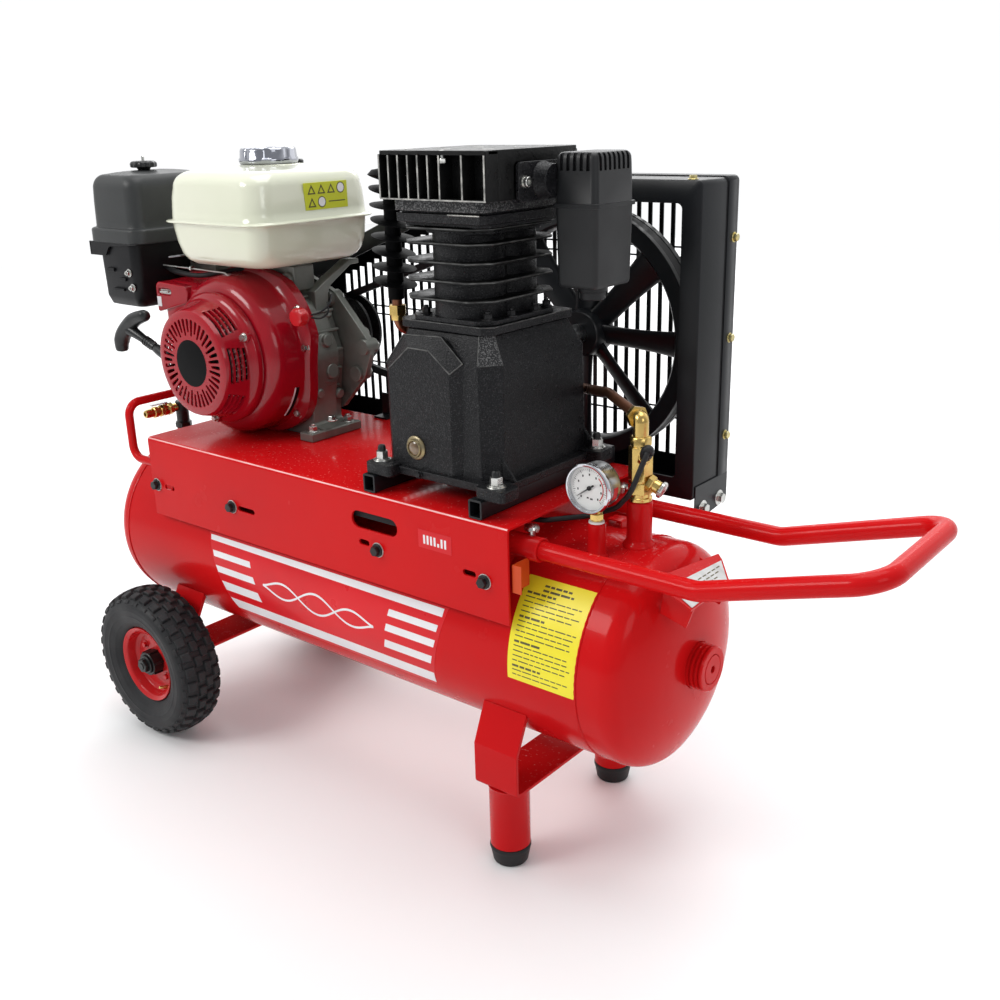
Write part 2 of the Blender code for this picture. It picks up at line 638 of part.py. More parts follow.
def make_air_cleaner():
    centre = (-0.484, -0.018)
    half_x, half_y = 0.070, 0.090
    cover_levels = [(0.803, 0.0, 0.018), (0.826, 0.0, 0.018), (0.828, 0.005, 0.018), (0.890, 0.006, 0.018),
                    (0.914, 0.009, 0.018), (0.922, 0.018, 0.014), (0.925, 0.034, 0.010)]
    rings = [rounded_box_ring(half_x - inset, half_y - inset, z, radius, 3, centre)
             for z, inset, radius in cover_levels]
    lofted("air_cleaner_cover", rings, "black")
    base_levels = [(0.713, 0.022, 0.010), (0.722, 0.010, 0.014), (0.8027, 0.006, 0.014)]
    rings = [rounded_box_ring(half_x - 0.012 - inset, half_y - inset, z, radius, 3, centre)
             for z, inset, radius in base_levels]
    lofted("air_cleaner_base", rings, "black")
    nut = [(0, 0.022), (0.0025, 0.022), (0.0025, 0.0145), (0.017, 0.0145), (0.022, 0.011), (0.022, 0.004),
           (0.010, 0.0), (0, 0.0)]
    turned("air_cleaner_nut", nut, "black", (centre[0] + 0.002, centre[1] - 0.012, 0.9253), (0, 0, 1), sides=20)
    carb = block("carburettor", (-0.4315, 0.003, 0.742), (-0.362, 0.050, 0.786), "aluminium", bevel=0.004)
    combine(carb, [rod("float_bowl", (-0.392, 0.027, 0.722), (-0.392, 0.027, 0.750), 0.020, "tool", sides=18)])
    pivot = (-0.392, 0.0503, 0.765)
    lever = plate("throttle_lever", [filleted([(-0.006, -0.006), (0.006, -0.006), (0.038, 0.012), (0.034, 0.019),
                                               (-0.006, 0.006)], 0.003, steps=2)],
                  (0.0005, 0.0030), "Y", "steel", at=pivot)
    combine(lever, [rod("throttle_boss", (0, 0, 0), (0, 0.006, 0), 0.006, "tool", sides=12, at=pivot)])
    pivot = (-0.4145, 0.010, 0.7863)
    choke = block("choke_lever", (-0.0045, -0.062, 0.001), (0.0045, 0.004, 0.004), "chrome", at=pivot)
    combine(choke, [rod("choke_boss", (0, 0, 0), (0, 0, 0.006), 0.006, "tool", sides=12, at=pivot)])
    muffler = block("muffler", (-0.475, 0.101, 0.650), (-0.358, 0.156, 0.775), "steel", bevel=0.012, segments=2)
    combine(muffler, [rod("exhaust_pipe", (-0.410, 0.125, 0.700), (-0.482, 0.128, 0.690), 0.011, "tool", sides=12)])
    knob_at = (-0.1205, -0.0225, 0.7125)
    turned("switch_knob", [(0, 0.020), (0.012, 0.020), (0.0145, 0.017), (0.0145, 0.006), (0.011, 0.0), (0, 0.0)],
           "red", knob_at, (0, -1, 0), sides=16)


# ---------------------------------------------------------------- pump

def make_pump_base():
    for side, x in zip(("left", "right"), RAIL_X):
        rail = block("pump_rail_" + side, (x - 0.011, -0.152, DECK_TOP + GAP), (x + 0.011, 0.1545, RAIL_TOP), "cast")
        hollow = block("rail_bore_" + side, (x - 0.008, -0.2, DECK_TOP + 0.0035), (x + 0.008, 0.2, RAIL_TOP - 0.003),
                       "tool")
        cut(rail, [hollow])


def pump_ring(half_x, front, back, z, chamfer):
    corners = [(PUMP_X - half_x, front), (PUMP_X + half_x, front), (PUMP_X + half_x, back), (PUMP_X - half_x, back)]
    ring = filleted(corners, [chamfer, chamfer, 0.008, 0.008], steps=2)
    return [(point.x, point.y, z) for point in ring]


def make_pump_crankcase():
    base = RAIL_TOP + GAP
    body = [pump_ring(0.092, -0.106, 0.094, base + 0.006, 0.012), pump_ring(0.090, -0.102, 0.090, base + 0.018, 0.012),
            pump_ring(0.088, -0.100, 0.088, 0.706, 0.012), pump_ring(0.076, -0.094, 0.072, 0.736, 0.012),
            pump_ring(0.078, -0.098, 0.076, 0.738, 0.012), pump_ring(0.078, -0.098, 0.076, 0.748, 0.012)]
    case = lofted("pump_crankcase", body, "cast")
    foot_low, foot_high = base, base + 0.016
    feet = [block("pump_foot_" + name, (x - 0.024, y - 0.018, foot_low), (x + 0.024, y + 0.018, foot_high), "tool",
                  bevel=0.004, segments=1)
            for name, x, y in (("fl", 0.146, -0.130), ("fr", 0.342, -0.130), ("bl", 0.146, 0.084),
                               ("br", 0.342, 0.084))]
    sole = block("pump_sole", (PUMP_X - 0.098, -0.124, foot_low + 0.0021), (PUMP_X + 0.098, 0.099, foot_high - 0.003), "tool")
    bulge = arc((PUMP_X - 0.022, PUMP_Z - 0.022), 0.070, 22.5, 157.5, 3)
    bulge = [(bulge[0][0], 0.560)] + bulge + [(bulge[-1][0], 0.560)]
    face = plate("bearing_bulge", [bulge], (-0.114, -0.095), "Y", "tool")
    combine(case, [sole, *feet, face])
    cavity = block("case_cavity", (PUMP_X - 0.064, -0.084, base + 0.020), (PUMP_X + 0.064, 0.062, 0.800), "tool")
    throat = rod("pump_bore", (PUMP_X, 0.05, PUMP_Z), (PUMP_X, 0.2, PUMP_Z),
                 PUMP_SHAFT_RADIUS + GAP, "tool", sides=24)
    cut(case, [cavity, throat])


def make_pump_top():
    """Finned cylinder block, valve plate and finned head, both for two cylinders in line."""
    half_x = 0.052
    front, back = -0.088, 0.036
    z = 0.7483
    levels = [(z, 0.010, 0.014), (z + 0.006, 0.010, 0.014), (z + 0.006, 0.0, 0.030)]
    top = 0.7585
    for fin in range(5):
        levels += [(top, 0.0, 0.030), (top, 0.026, 0.040), (top + 0.0035, 0.026, 0.040), (top + 0.0035, 0.0, 0.030)]
        top += 0.0233
    levels += [(0.860, 0.0, 0.030), (0.860, 0.020, 0.012), (0.8735, 0.020, 0.012)]
    rings = []
    for z, grow, radius in levels:
        corners = [(PUMP_X - half_x - grow, front - grow), (PUMP_X + half_x + grow, front - grow),
                   (PUMP_X + half_x + grow, back + grow), (PUMP_X - half_x - grow, back + grow)]
        rings.append([(p.x, p.y, z) for p in filleted(corners, radius, steps=2)])
    block_item = lofted("pump_cylinder", rings, "cast")
    bores = [rod("cylinder_bore_" + str(i), (PUMP_X, y, 0.70), (PUMP_X, y, 0.90), CYLINDER_BORE, "tool", sides=20)
             for i, y in enumerate((-0.058, 0.006))]
    cut(block_item, bores)
    head_low = 0.8738
    plate_top = 0.898
    head = block("pump_head", (PUMP_X - 0.076, -0.118, head_low), (PUMP_X + 0.076, 0.050, plate_top), "cast",
                 bevel=0.004)
    parts = [block("head_core", (PUMP_X - 0.088, -0.112, 0.894), (PUMP_X + 0.088, 0.046, 0.955), "tool")]
    count = 9
    for index in range(count):
        x = PUMP_X - 0.087 + 0.174 * index / (count - 1)
        parts.append(block("head_fin_" + str(index), (x - 0.0015, -0.134, 0.8985), (x + 0.0015, 0.052, 0.961), "tool"))
    combine(head, parts)


def make_filter():
    y = -0.030
    z = 0.918
    start = PUMP_X + 0.0885 + GAP
    reach = FILTER_X[0] - GAP - start
    turned("intake_pipe", [(0, reach), (0.014, reach), (0.014, 0.009), (0.022, 0.008), (0.022, 0.0), (0, 0.0)],
           "black", (start, y, z), (1, 0, 0), sides=18)
    centre = ((FILTER_X[0] + FILTER_X[1]) / 2, 0.014)
    half_x = (FILTER_X[1] - FILTER_X[0]) / 2
    levels = [(0.797, 0.006, 0.008), (0.800, 0.003, 0.010), (0.889, 0.0, 0.010), (0.889, -0.0022, 0.010),
              (0.893, -0.0022, 0.010), (0.893, 0.0, 0.010), (0.936, 0.002, 0.010), (0.947, 0.007, 0.008)]
    rings = [rounded_box_ring(half_x - inset, 0.044 - inset, level, radius, 2, centre)
             for level, inset, radius in levels]
    box = lofted("filter_housing", rings, "black")
    at = (centre[0] + 0.004, centre[1] - 0.010)
    combine(box, [rod("filter_spigot", (*at, 0.783), (*at, 0.800), 0.016, "tool", sides=16)])


def make_aftercooler():
    """Finned copper-cored cooler beside the cylinders, and the delivery pipe to the tank."""
    x, y = PUMP_X - 0.123, -0.070
    profile = [(0, 0.937), (0.024, 0.935), (0.030, 0.925), (0.011, 0.918)]
    top = 0.911
    for fin in range(7):
        profile += [(0.011, top), (0.031, top), (0.031, top - 0.006), (0.011, top - 0.006)]
        top -= 0.0200
    profile += [(0.011, 0.765), (0, 0.765)]
    turned("aftercooler", profile, "cast", (x, y, 0), (0, 0, 1), sides=12)
    route = [(x, y + 0.001, 0.7647), (x, y + 0.001, 0.722), (x + 0.002, 0.106, 0.700), (0.200, 0.122, 0.640),
             (0.345, 0.122, 0.655), (0.405, 0.060, 0.672), (0.479, -0.010, 0.668), (0.479, -0.010, 0.640)]
    tube("delivery_pipe", filleted(route, 0.030, steps=3, closed=False), 0.0075, "copper", resolution=2)


def make_pump_shaft():
    at = (PUMP_X, 0, PUMP_Z)
    r = PUMP_SHAFT_RADIUS
    turned_profile = [(0, 0.232), (r - 0.001, 0.232), (r, 0.231), (r, 0.058), (0.040, 0.058), (0.040, 0.044),
                      (0.012, 0.044), (0.012, -0.060), (0.040, -0.060), (0.040, -0.074), (0, -0.074)]
    turned("pump_crankshaft", turned_profile, "steel", at, (0, 1, 0), sides=24)


def make_flywheel():
    at = (PUMP_X, BELT_Y, PUMP_Z)
    top = BELT_TOP_WIDTH / 2 + 0.0006
    depth = BELT_DEPTH + 0.003
    floor = top - depth * math.tan(math.radians(19)) - 0.0002
    half = 0.019
    outer = FLYWHEEL_RADIUS
    rim = [(outer, half), (outer, top), (outer - depth, floor), (outer - depth, -floor), (outer, -top),
           (outer, -half), (outer - 0.024, -half), (outer - 0.024, half)]
    wheel = turned("pump_flywheel", rim, "cast", at, (0, 1, 0), sides=32)
    tools = [rod("flywheel_hub", (0, -0.024, 0), (0, 0.022, 0), 0.034, "tool", sides=24, at=at)]
    for spoke in range(5):
        angle = math.radians(20 + 72 * spoke)
        bm = bmesh.new()
        length = outer - 0.022
        middle = length / 2 + 0.004
        place_matrix = (Matrix.Rotation(-angle, 4, "Y") @ Matrix.Translation((middle, 0, 0))
                        @ Matrix.Rotation(math.radians(28), 4, "X"))
        bmesh.ops.create_cube(bm, size=1.0, matrix=place_matrix @ Matrix.Diagonal((length, 0.010, 0.036, 1)))
        tools.append(from_bmesh("spoke_" + str(spoke), bm, "tool", at))
    combine(wheel, tools)
    cut(wheel, [rod("flywheel_bore", (0, -0.1, 0), (0, 0.1, 0), PUMP_SHAFT_RADIUS + GAP, "tool", sides=24, at=at)])


def belt_ring(radius_small, radius_big, y):
    """Points round both pulleys at one depth in the groove."""
    big = Vector((PUMP_X, PUMP_Z))
    small = Vector((CRANK_X, CRANK_Z))
    between = big - small
    lean = math.asin((radius_big - radius_small) / between.length)
    heading = math.atan2(between.y, between.x)
    top_angle = math.degrees(heading + math.pi / 2 + lean)
    low_angle = math.degrees(heading - math.pi / 2 - lean)
    points = arc(big, radius_big, low_angle, top_angle, 24)
    points += arc(small, radius_small, top_angle, low_angle + 360, 12)
    return [(px, y, pz) for px, pz in points]


def make_belt():
    top = BELT_TOP_WIDTH / 2
    low = top - BELT_DEPTH * math.tan(math.radians(19))
    inset = 0.0005
    small, big = PULLEY_RADIUS - inset, FLYWHEEL_RADIUS - inset
    rings = [belt_ring(small, big, BELT_Y - top), belt_ring(small, big, BELT_Y + top),
             belt_ring(small - BELT_DEPTH, big - BELT_DEPTH, BELT_Y + low),
             belt_ring(small - BELT_DEPTH, big - BELT_DEPTH, BELT_Y - low)]
    lofted("v_belt", rings, "rubber", closed=True)


def guard_ring(y, inset):
    corners = [(-0.350 + inset, 0.474 + inset), (0.4605 - inset, 0.474 + inset), (0.4605 - inset, 0.9125 - inset),
               (0.060 + inset * 0.4, 0.9125 - inset), (-0.350 + inset, 0.745 - inset * 0.6)]
    ring = filleted(corners, [0.02, 0.006, 0.008, 0.05, 0.03], steps=3)
    return [(p.x, y, p.y) for p in ring]


def make_guard():
    lip = 0.030
    tray = [guard_ring(GUARD_FRONT_Y, lip), guard_ring(GUARD_FRONT_Y, 0.0), guard_ring(GUARD_SPLIT_Y, 0.0),
            guard_ring(GUARD_SPLIT_Y, GUARD_SHEET), guard_ring(GUARD_FRONT_Y + GUARD_SHEET, GUARD_SHEET),
            guard_ring(GUARD_FRONT_Y + GUARD_SHEET, lip)]
    lofted("guard_tray", tray, "black", closed=True)
    cover = [guard_ring(GUARD_BACK_Y - GUARD_SHEET, GUARD_SHEET), guard_ring(GUARD_SPLIT_Y + GAP, GUARD_SHEET),
             guard_ring(GUARD_SPLIT_Y + GAP, 0.0), guard_ring(GUARD_BACK_Y, 0.0)]
    panel = lofted("guard_cover", cover, "black")
    bm = bmesh.new()
    count = 22
    for index in range(count):
        x = -0.300 + 0.720 * index / (count - 1)
        top = min(0.880, 0.745 + (x + 0.350) * 0.408 - 0.030)
        size = Matrix.Diagonal((0.012, 0.02, top - 0.515, 1))
        bmesh.ops.create_cube(bm, size=1.0, matrix=Matrix.Translation((x, GUARD_BACK_Y, (top + 0.515) / 2)) @ size)
    cut(panel, [from_bmesh("grille_slots", bm, "tool", (0, 0, 0))])


# ---------------------------------------------------------------- fittings

def make_fittings():
    gauge = Vector((0.445, -0.064, 0.555))
    facing = (0, -1, 0)
    case = [(0, 0.010), (0.029, 0.010), (0.029, 0.017), (0.0325, 0.017), (0.0335, 0.012), (0.0300, 0.008),
            (0.0295, -0.018), (0.026, -0.020), (0, -0.020)]
    body = turned("pressure_gauge", case, "chrome", gauge, facing, sides=24)
    stem_y = 0.006
    combine(body, [rod("gauge_nipple", (0, stem_y, -0.0622), (0, stem_y, -0.025), 0.0065, "tool", sides=12, at=gauge),
                   rod("gauge_nut", (0, stem_y, -0.056), (0, stem_y, -0.036), 0.009, "tool", sides=6, at=gauge)])
    needle_at = gauge + Vector((0, -0.0113, 0))
    needle = rod("gauge_needle", (0, -0.002, 0), (0, 0.001, 0), 0.003, "black", sides=12, at=needle_at)
    pointer = [(-0.008, -0.0012), (0.022, -0.0004), (0.022, 0.0004), (-0.008, 0.0012)]
    pointer_item = plate("needle_pointer", [pointer], (-0.0012, 0.0002), "Y", "tool", at=needle_at)
    pointer_item.rotation_euler = (0, math.radians(145), 0)
    combine(needle, [pointer_item])

    stub = Vector((0.479, -0.010, 0.5283))
    check = [(0, 0.112), (0.0072, 0.112), (0.0072, 0.096), (0.013, 0.094), (0.013, 0.078), (0.0095, 0.075),
             (0.0095, 0.066), (0.0130, 0.064), (0.0130, 0.012), (0.0155, 0.010), (0.0155, 0.0), (0, 0.0)]
    valve = turned("check_valve", [(r, h - 0.0007) if h > 0.1 else (r, h) for r, h in check], "brass", stub,
                   (0, 0, 1), sides=16)
    lean = Vector((0.55, -0.45, 0.70)).normalized()
    combine(valve, [rod("hose_port", (0, 0, 0.046), Vector((0, 0, 0.046)) + lean * 0.026, 0.006, "tool", sides=10,
                        at=stub)])
    drop = Vector((0.72, 0.10, -0.35)).normalized()
    start = Vector((0, 0, 0.032)) + drop * 0.0185
    rod("safety_valve", start, start + drop * 0.026, 0.0085, "brass", sides=12, at=stub)
    ring_at = stub + start + drop * 0.0263
    rod("safety_valve_cap", (0, 0, 0), drop * 0.006, 0.011, "chrome", sides=14, at=ring_at)

    outlet = Vector((-0.455, -0.030, 0.4883))
    turned("outlet_regulator", [(0, 0.048), (0.009, 0.048), (0.011, 0.046), (0.011, 0.012), (0.0135, 0.010),
                                (0.0135, 0.0), (0, 0.0)], "black", outlet, (0, 0, 1), sides=16)
    valve_start = Vector((-0.455, -0.0413 - 0.0003, 0.526))
    ball = [(0, 0.064), (0.0055, 0.064), (0.0075, 0.060), (0.0075, 0.050), (0.0095, 0.048), (0.0095, 0.040),
            (0.0075, 0.038), (0.010, 0.030), (0.010, 0.014), (0.0075, 0.010), (0.0075, 0.0), (0, 0.0)]
    turned("ball_valve", ball, "brass", valve_start, (0, -1, 0), sides=14)
    pivot = valve_start + Vector((0, -0.022, 0.0103))
    lever = rod("ball_valve_lever", (0, 0, 0), (0, 0, 0.0035), 0.0045, "chrome", sides=12, at=pivot)
    arm = block("lever_arm", (-0.0045, -0.030, 0.0015), (0.0045, 0.002, 0.0035), "tool", at=pivot)
    combine(lever, [arm])

    port = stub + Vector((0, 0, 0.046)) + lean * 0.0263
    route = [port, port + lean * 0.020, (0.498, -0.060, 0.560), (0.480, -0.088, 0.520), (0.430, -0.0835, 0.497),
             (0.375, -0.0795, 0.4945), (0.3355, -0.0795, 0.4945)]
    tube("unloader_hose", filleted(route, 0.05, steps=3, closed=False), 0.0035, "rubber", resolution=2)


def shift_everything():
    for group in (PARTS, CUTTERS):
        for item in group.objects:
            item.location += SHIFT


make_tank()
make_deck()
make_saddles()
make_handle()
make_undercarriage()
make_wheel("front", -1)
make_wheel("rear", 1)
make_crankcase()
make_cylinder()
make_fan_cover()
make_recoil_grip()
make_engine_shaft()
make_fuel_tank()
make_air_cleaner()
make_pump_base()
make_pump_crankcase()
make_pump_top()
make_filter()
make_aftercooler()
make_pump_shaft()
make_flywheel()
make_belt()
make_guard()
make_fittings()
shift_everything()
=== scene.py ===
"""Looks of the portable air compressor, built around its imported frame.

Shapes are laid out about the tank's axis, as the frame is: X along the tank with the
handle at +X, the starter side at -Y, the floor at Z = 0. ORIGIN moves them to the frame.
"""

import math
import random

import bmesh
import bpy
from mathutils import Matrix, Vector


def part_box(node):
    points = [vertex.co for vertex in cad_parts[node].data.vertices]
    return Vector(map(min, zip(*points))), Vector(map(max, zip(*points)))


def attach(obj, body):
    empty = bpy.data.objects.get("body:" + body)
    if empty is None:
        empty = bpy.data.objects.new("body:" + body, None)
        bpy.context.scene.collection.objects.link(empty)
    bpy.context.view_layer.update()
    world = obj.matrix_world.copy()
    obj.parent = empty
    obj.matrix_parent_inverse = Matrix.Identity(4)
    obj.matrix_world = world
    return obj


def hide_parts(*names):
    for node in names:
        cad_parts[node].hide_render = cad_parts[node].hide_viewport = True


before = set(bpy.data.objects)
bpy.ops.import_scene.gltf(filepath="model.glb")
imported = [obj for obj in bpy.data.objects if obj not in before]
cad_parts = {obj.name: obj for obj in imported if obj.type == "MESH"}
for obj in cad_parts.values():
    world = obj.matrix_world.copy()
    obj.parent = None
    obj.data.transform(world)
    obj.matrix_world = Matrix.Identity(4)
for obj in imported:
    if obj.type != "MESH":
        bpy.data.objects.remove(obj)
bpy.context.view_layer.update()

ROOT = "compressor"
deck_low, deck_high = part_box("deck_plate")
ORIGIN = Vector(((deck_low.x + deck_high.x) / 2, (deck_low.y + deck_high.y) / 2, 0.0))
GAP = 0.0003
UP = (0, 0, 1)
FRONT = (0, -1, 0)
BACK = (0, 1, 0)
RIGHT = (1, 0, 0)


# ---------------------------------------------------------------- materials

def noise_node(nodes, links, coordinates, scale, detail=4.0, stretch=None):
    """A noise value about 0.5, stretched along an axis when asked."""
    texture = nodes.new("ShaderNodeTexNoise")
    texture.inputs["Scale"].default_value = scale
    texture.inputs["Detail"].default_value = detail
    source = coordinates.outputs["Object"]
    if stretch:
        mapping = nodes.new("ShaderNodeMapping")
        mapping.inputs["Scale"].default_value = stretch
        links.new(source, mapping.inputs["Vector"])
        source = mapping.outputs["Vector"]
    links.new(source, texture.inputs["Vector"])
    return texture.outputs["Fac"]


def ranged(nodes, links, value, low, high, new_low, new_high):
    """A value from one range to another, clamped."""
    node = nodes.new("ShaderNodeMapRange")
    for name, number in zip(("From Min", "From Max", "To Min", "To Max"), (low, high, new_low, new_high)):
        node.inputs[name].default_value = number
    links.new(value, node.inputs["Value"])
    return node.outputs["Result"]


def mixed(nodes, links, factor, first, second):
    """Two colours mixed; each is a colour or an output."""
    node = nodes.new("ShaderNodeMix")
    node.data_type = "RGBA"
    links.new(factor, node.inputs["Factor"])
    for socket, colour in (("A", first), ("B", second)):
        target = [s for s in node.inputs if s.name == socket and s.type == "RGBA"][0]
        if isinstance(colour, bpy.types.NodeSocket):
            links.new(colour, target)
        else:
            target.default_value = (*colour, 1.0)
    return [s for s in node.outputs if s.type == "RGBA"][0]


def finish(name, colour, rough, metal=0.0, coat=0.0, tone=None, tone_scale=5.0, specks=None,
           speck_scale=300.0, speck_cut=(0.62, 0.70), rough_spread=0.05, rough_scale=20.0, bumps=(),
           dust=None, stretch=None, specular=0.5):
    """A Principled material: toned colour, specks, dust on top faces, uneven roughness, layers of bump."""
    material = bpy.data.materials.new(name)
    material.use_nodes = True
    nodes, links = material.node_tree.nodes, material.node_tree.links
    shader = nodes["Principled BSDF"]
    shader.inputs["Metallic"].default_value = metal
    shader.inputs["Coat Weight"].default_value = coat
    shader.inputs["Coat Roughness"].default_value = 0.04
    shader.inputs["Specular IOR Level"].default_value = specular
    coordinates = nodes.new("ShaderNodeTexCoord")
    tone = tone or tuple(c * 0.82 for c in colour)
    broad = ranged(nodes, links, noise_node(nodes, links, coordinates, tone_scale, 5.0, stretch), 0.35,
                   0.65, 0.0, 1.0)
    base = mixed(nodes, links, broad, colour, tone)
    if specks:
        fine = noise_node(nodes, links, coordinates, speck_scale, 2.0)
        base = mixed(nodes, links, ranged(nodes, links, fine, *speck_cut, 0.0, 1.0), base, specks)
    if dust:
        geometry = nodes.new("ShaderNodeNewGeometry")
        split = nodes.new("ShaderNodeSeparateXYZ")
        links.new(geometry.outputs["Normal"], split.inputs["Vector"])
        upward = ranged(nodes, links, split.outputs["Z"], 0.75, 1.0, 0.0, 1.0)
        grains = ranged(nodes, links, noise_node(nodes, links, coordinates, 260.0, 8.0), 0.63, 0.74, 0.0,
                        dust[1])
        both = nodes.new("ShaderNodeMath")
        both.operation = "MULTIPLY"
        links.new(upward, both.inputs[0])
        links.new(grains, both.inputs[1])
        base = mixed(nodes, links, both.outputs["Value"], base, dust[0])
    links.new(base, shader.inputs["Base Color"])
    patches = noise_node(nodes, links, coordinates, rough_scale, 4.0, stretch)
    links.new(ranged(nodes, links, patches, 0.3, 0.7, max(0.02, rough - rough_spread),
                     rough + rough_spread),
              shader.inputs["Roughness"])
    normal = None
    for scale, strength, distance in bumps:
        bump = nodes.new("ShaderNodeBump")
        bump.inputs["Strength"].default_value = strength
        bump.inputs["Distance"].default_value = distance
        links.new(noise_node(nodes, links, coordinates, scale, 3.0, stretch), bump.inputs["Height"])
        if normal:
            links.new(normal, bump.inputs["Normal"])
        normal = bump.outputs["Normal"]
    if normal:
        links.new(normal, shader.inputs["Normal"])
    return material


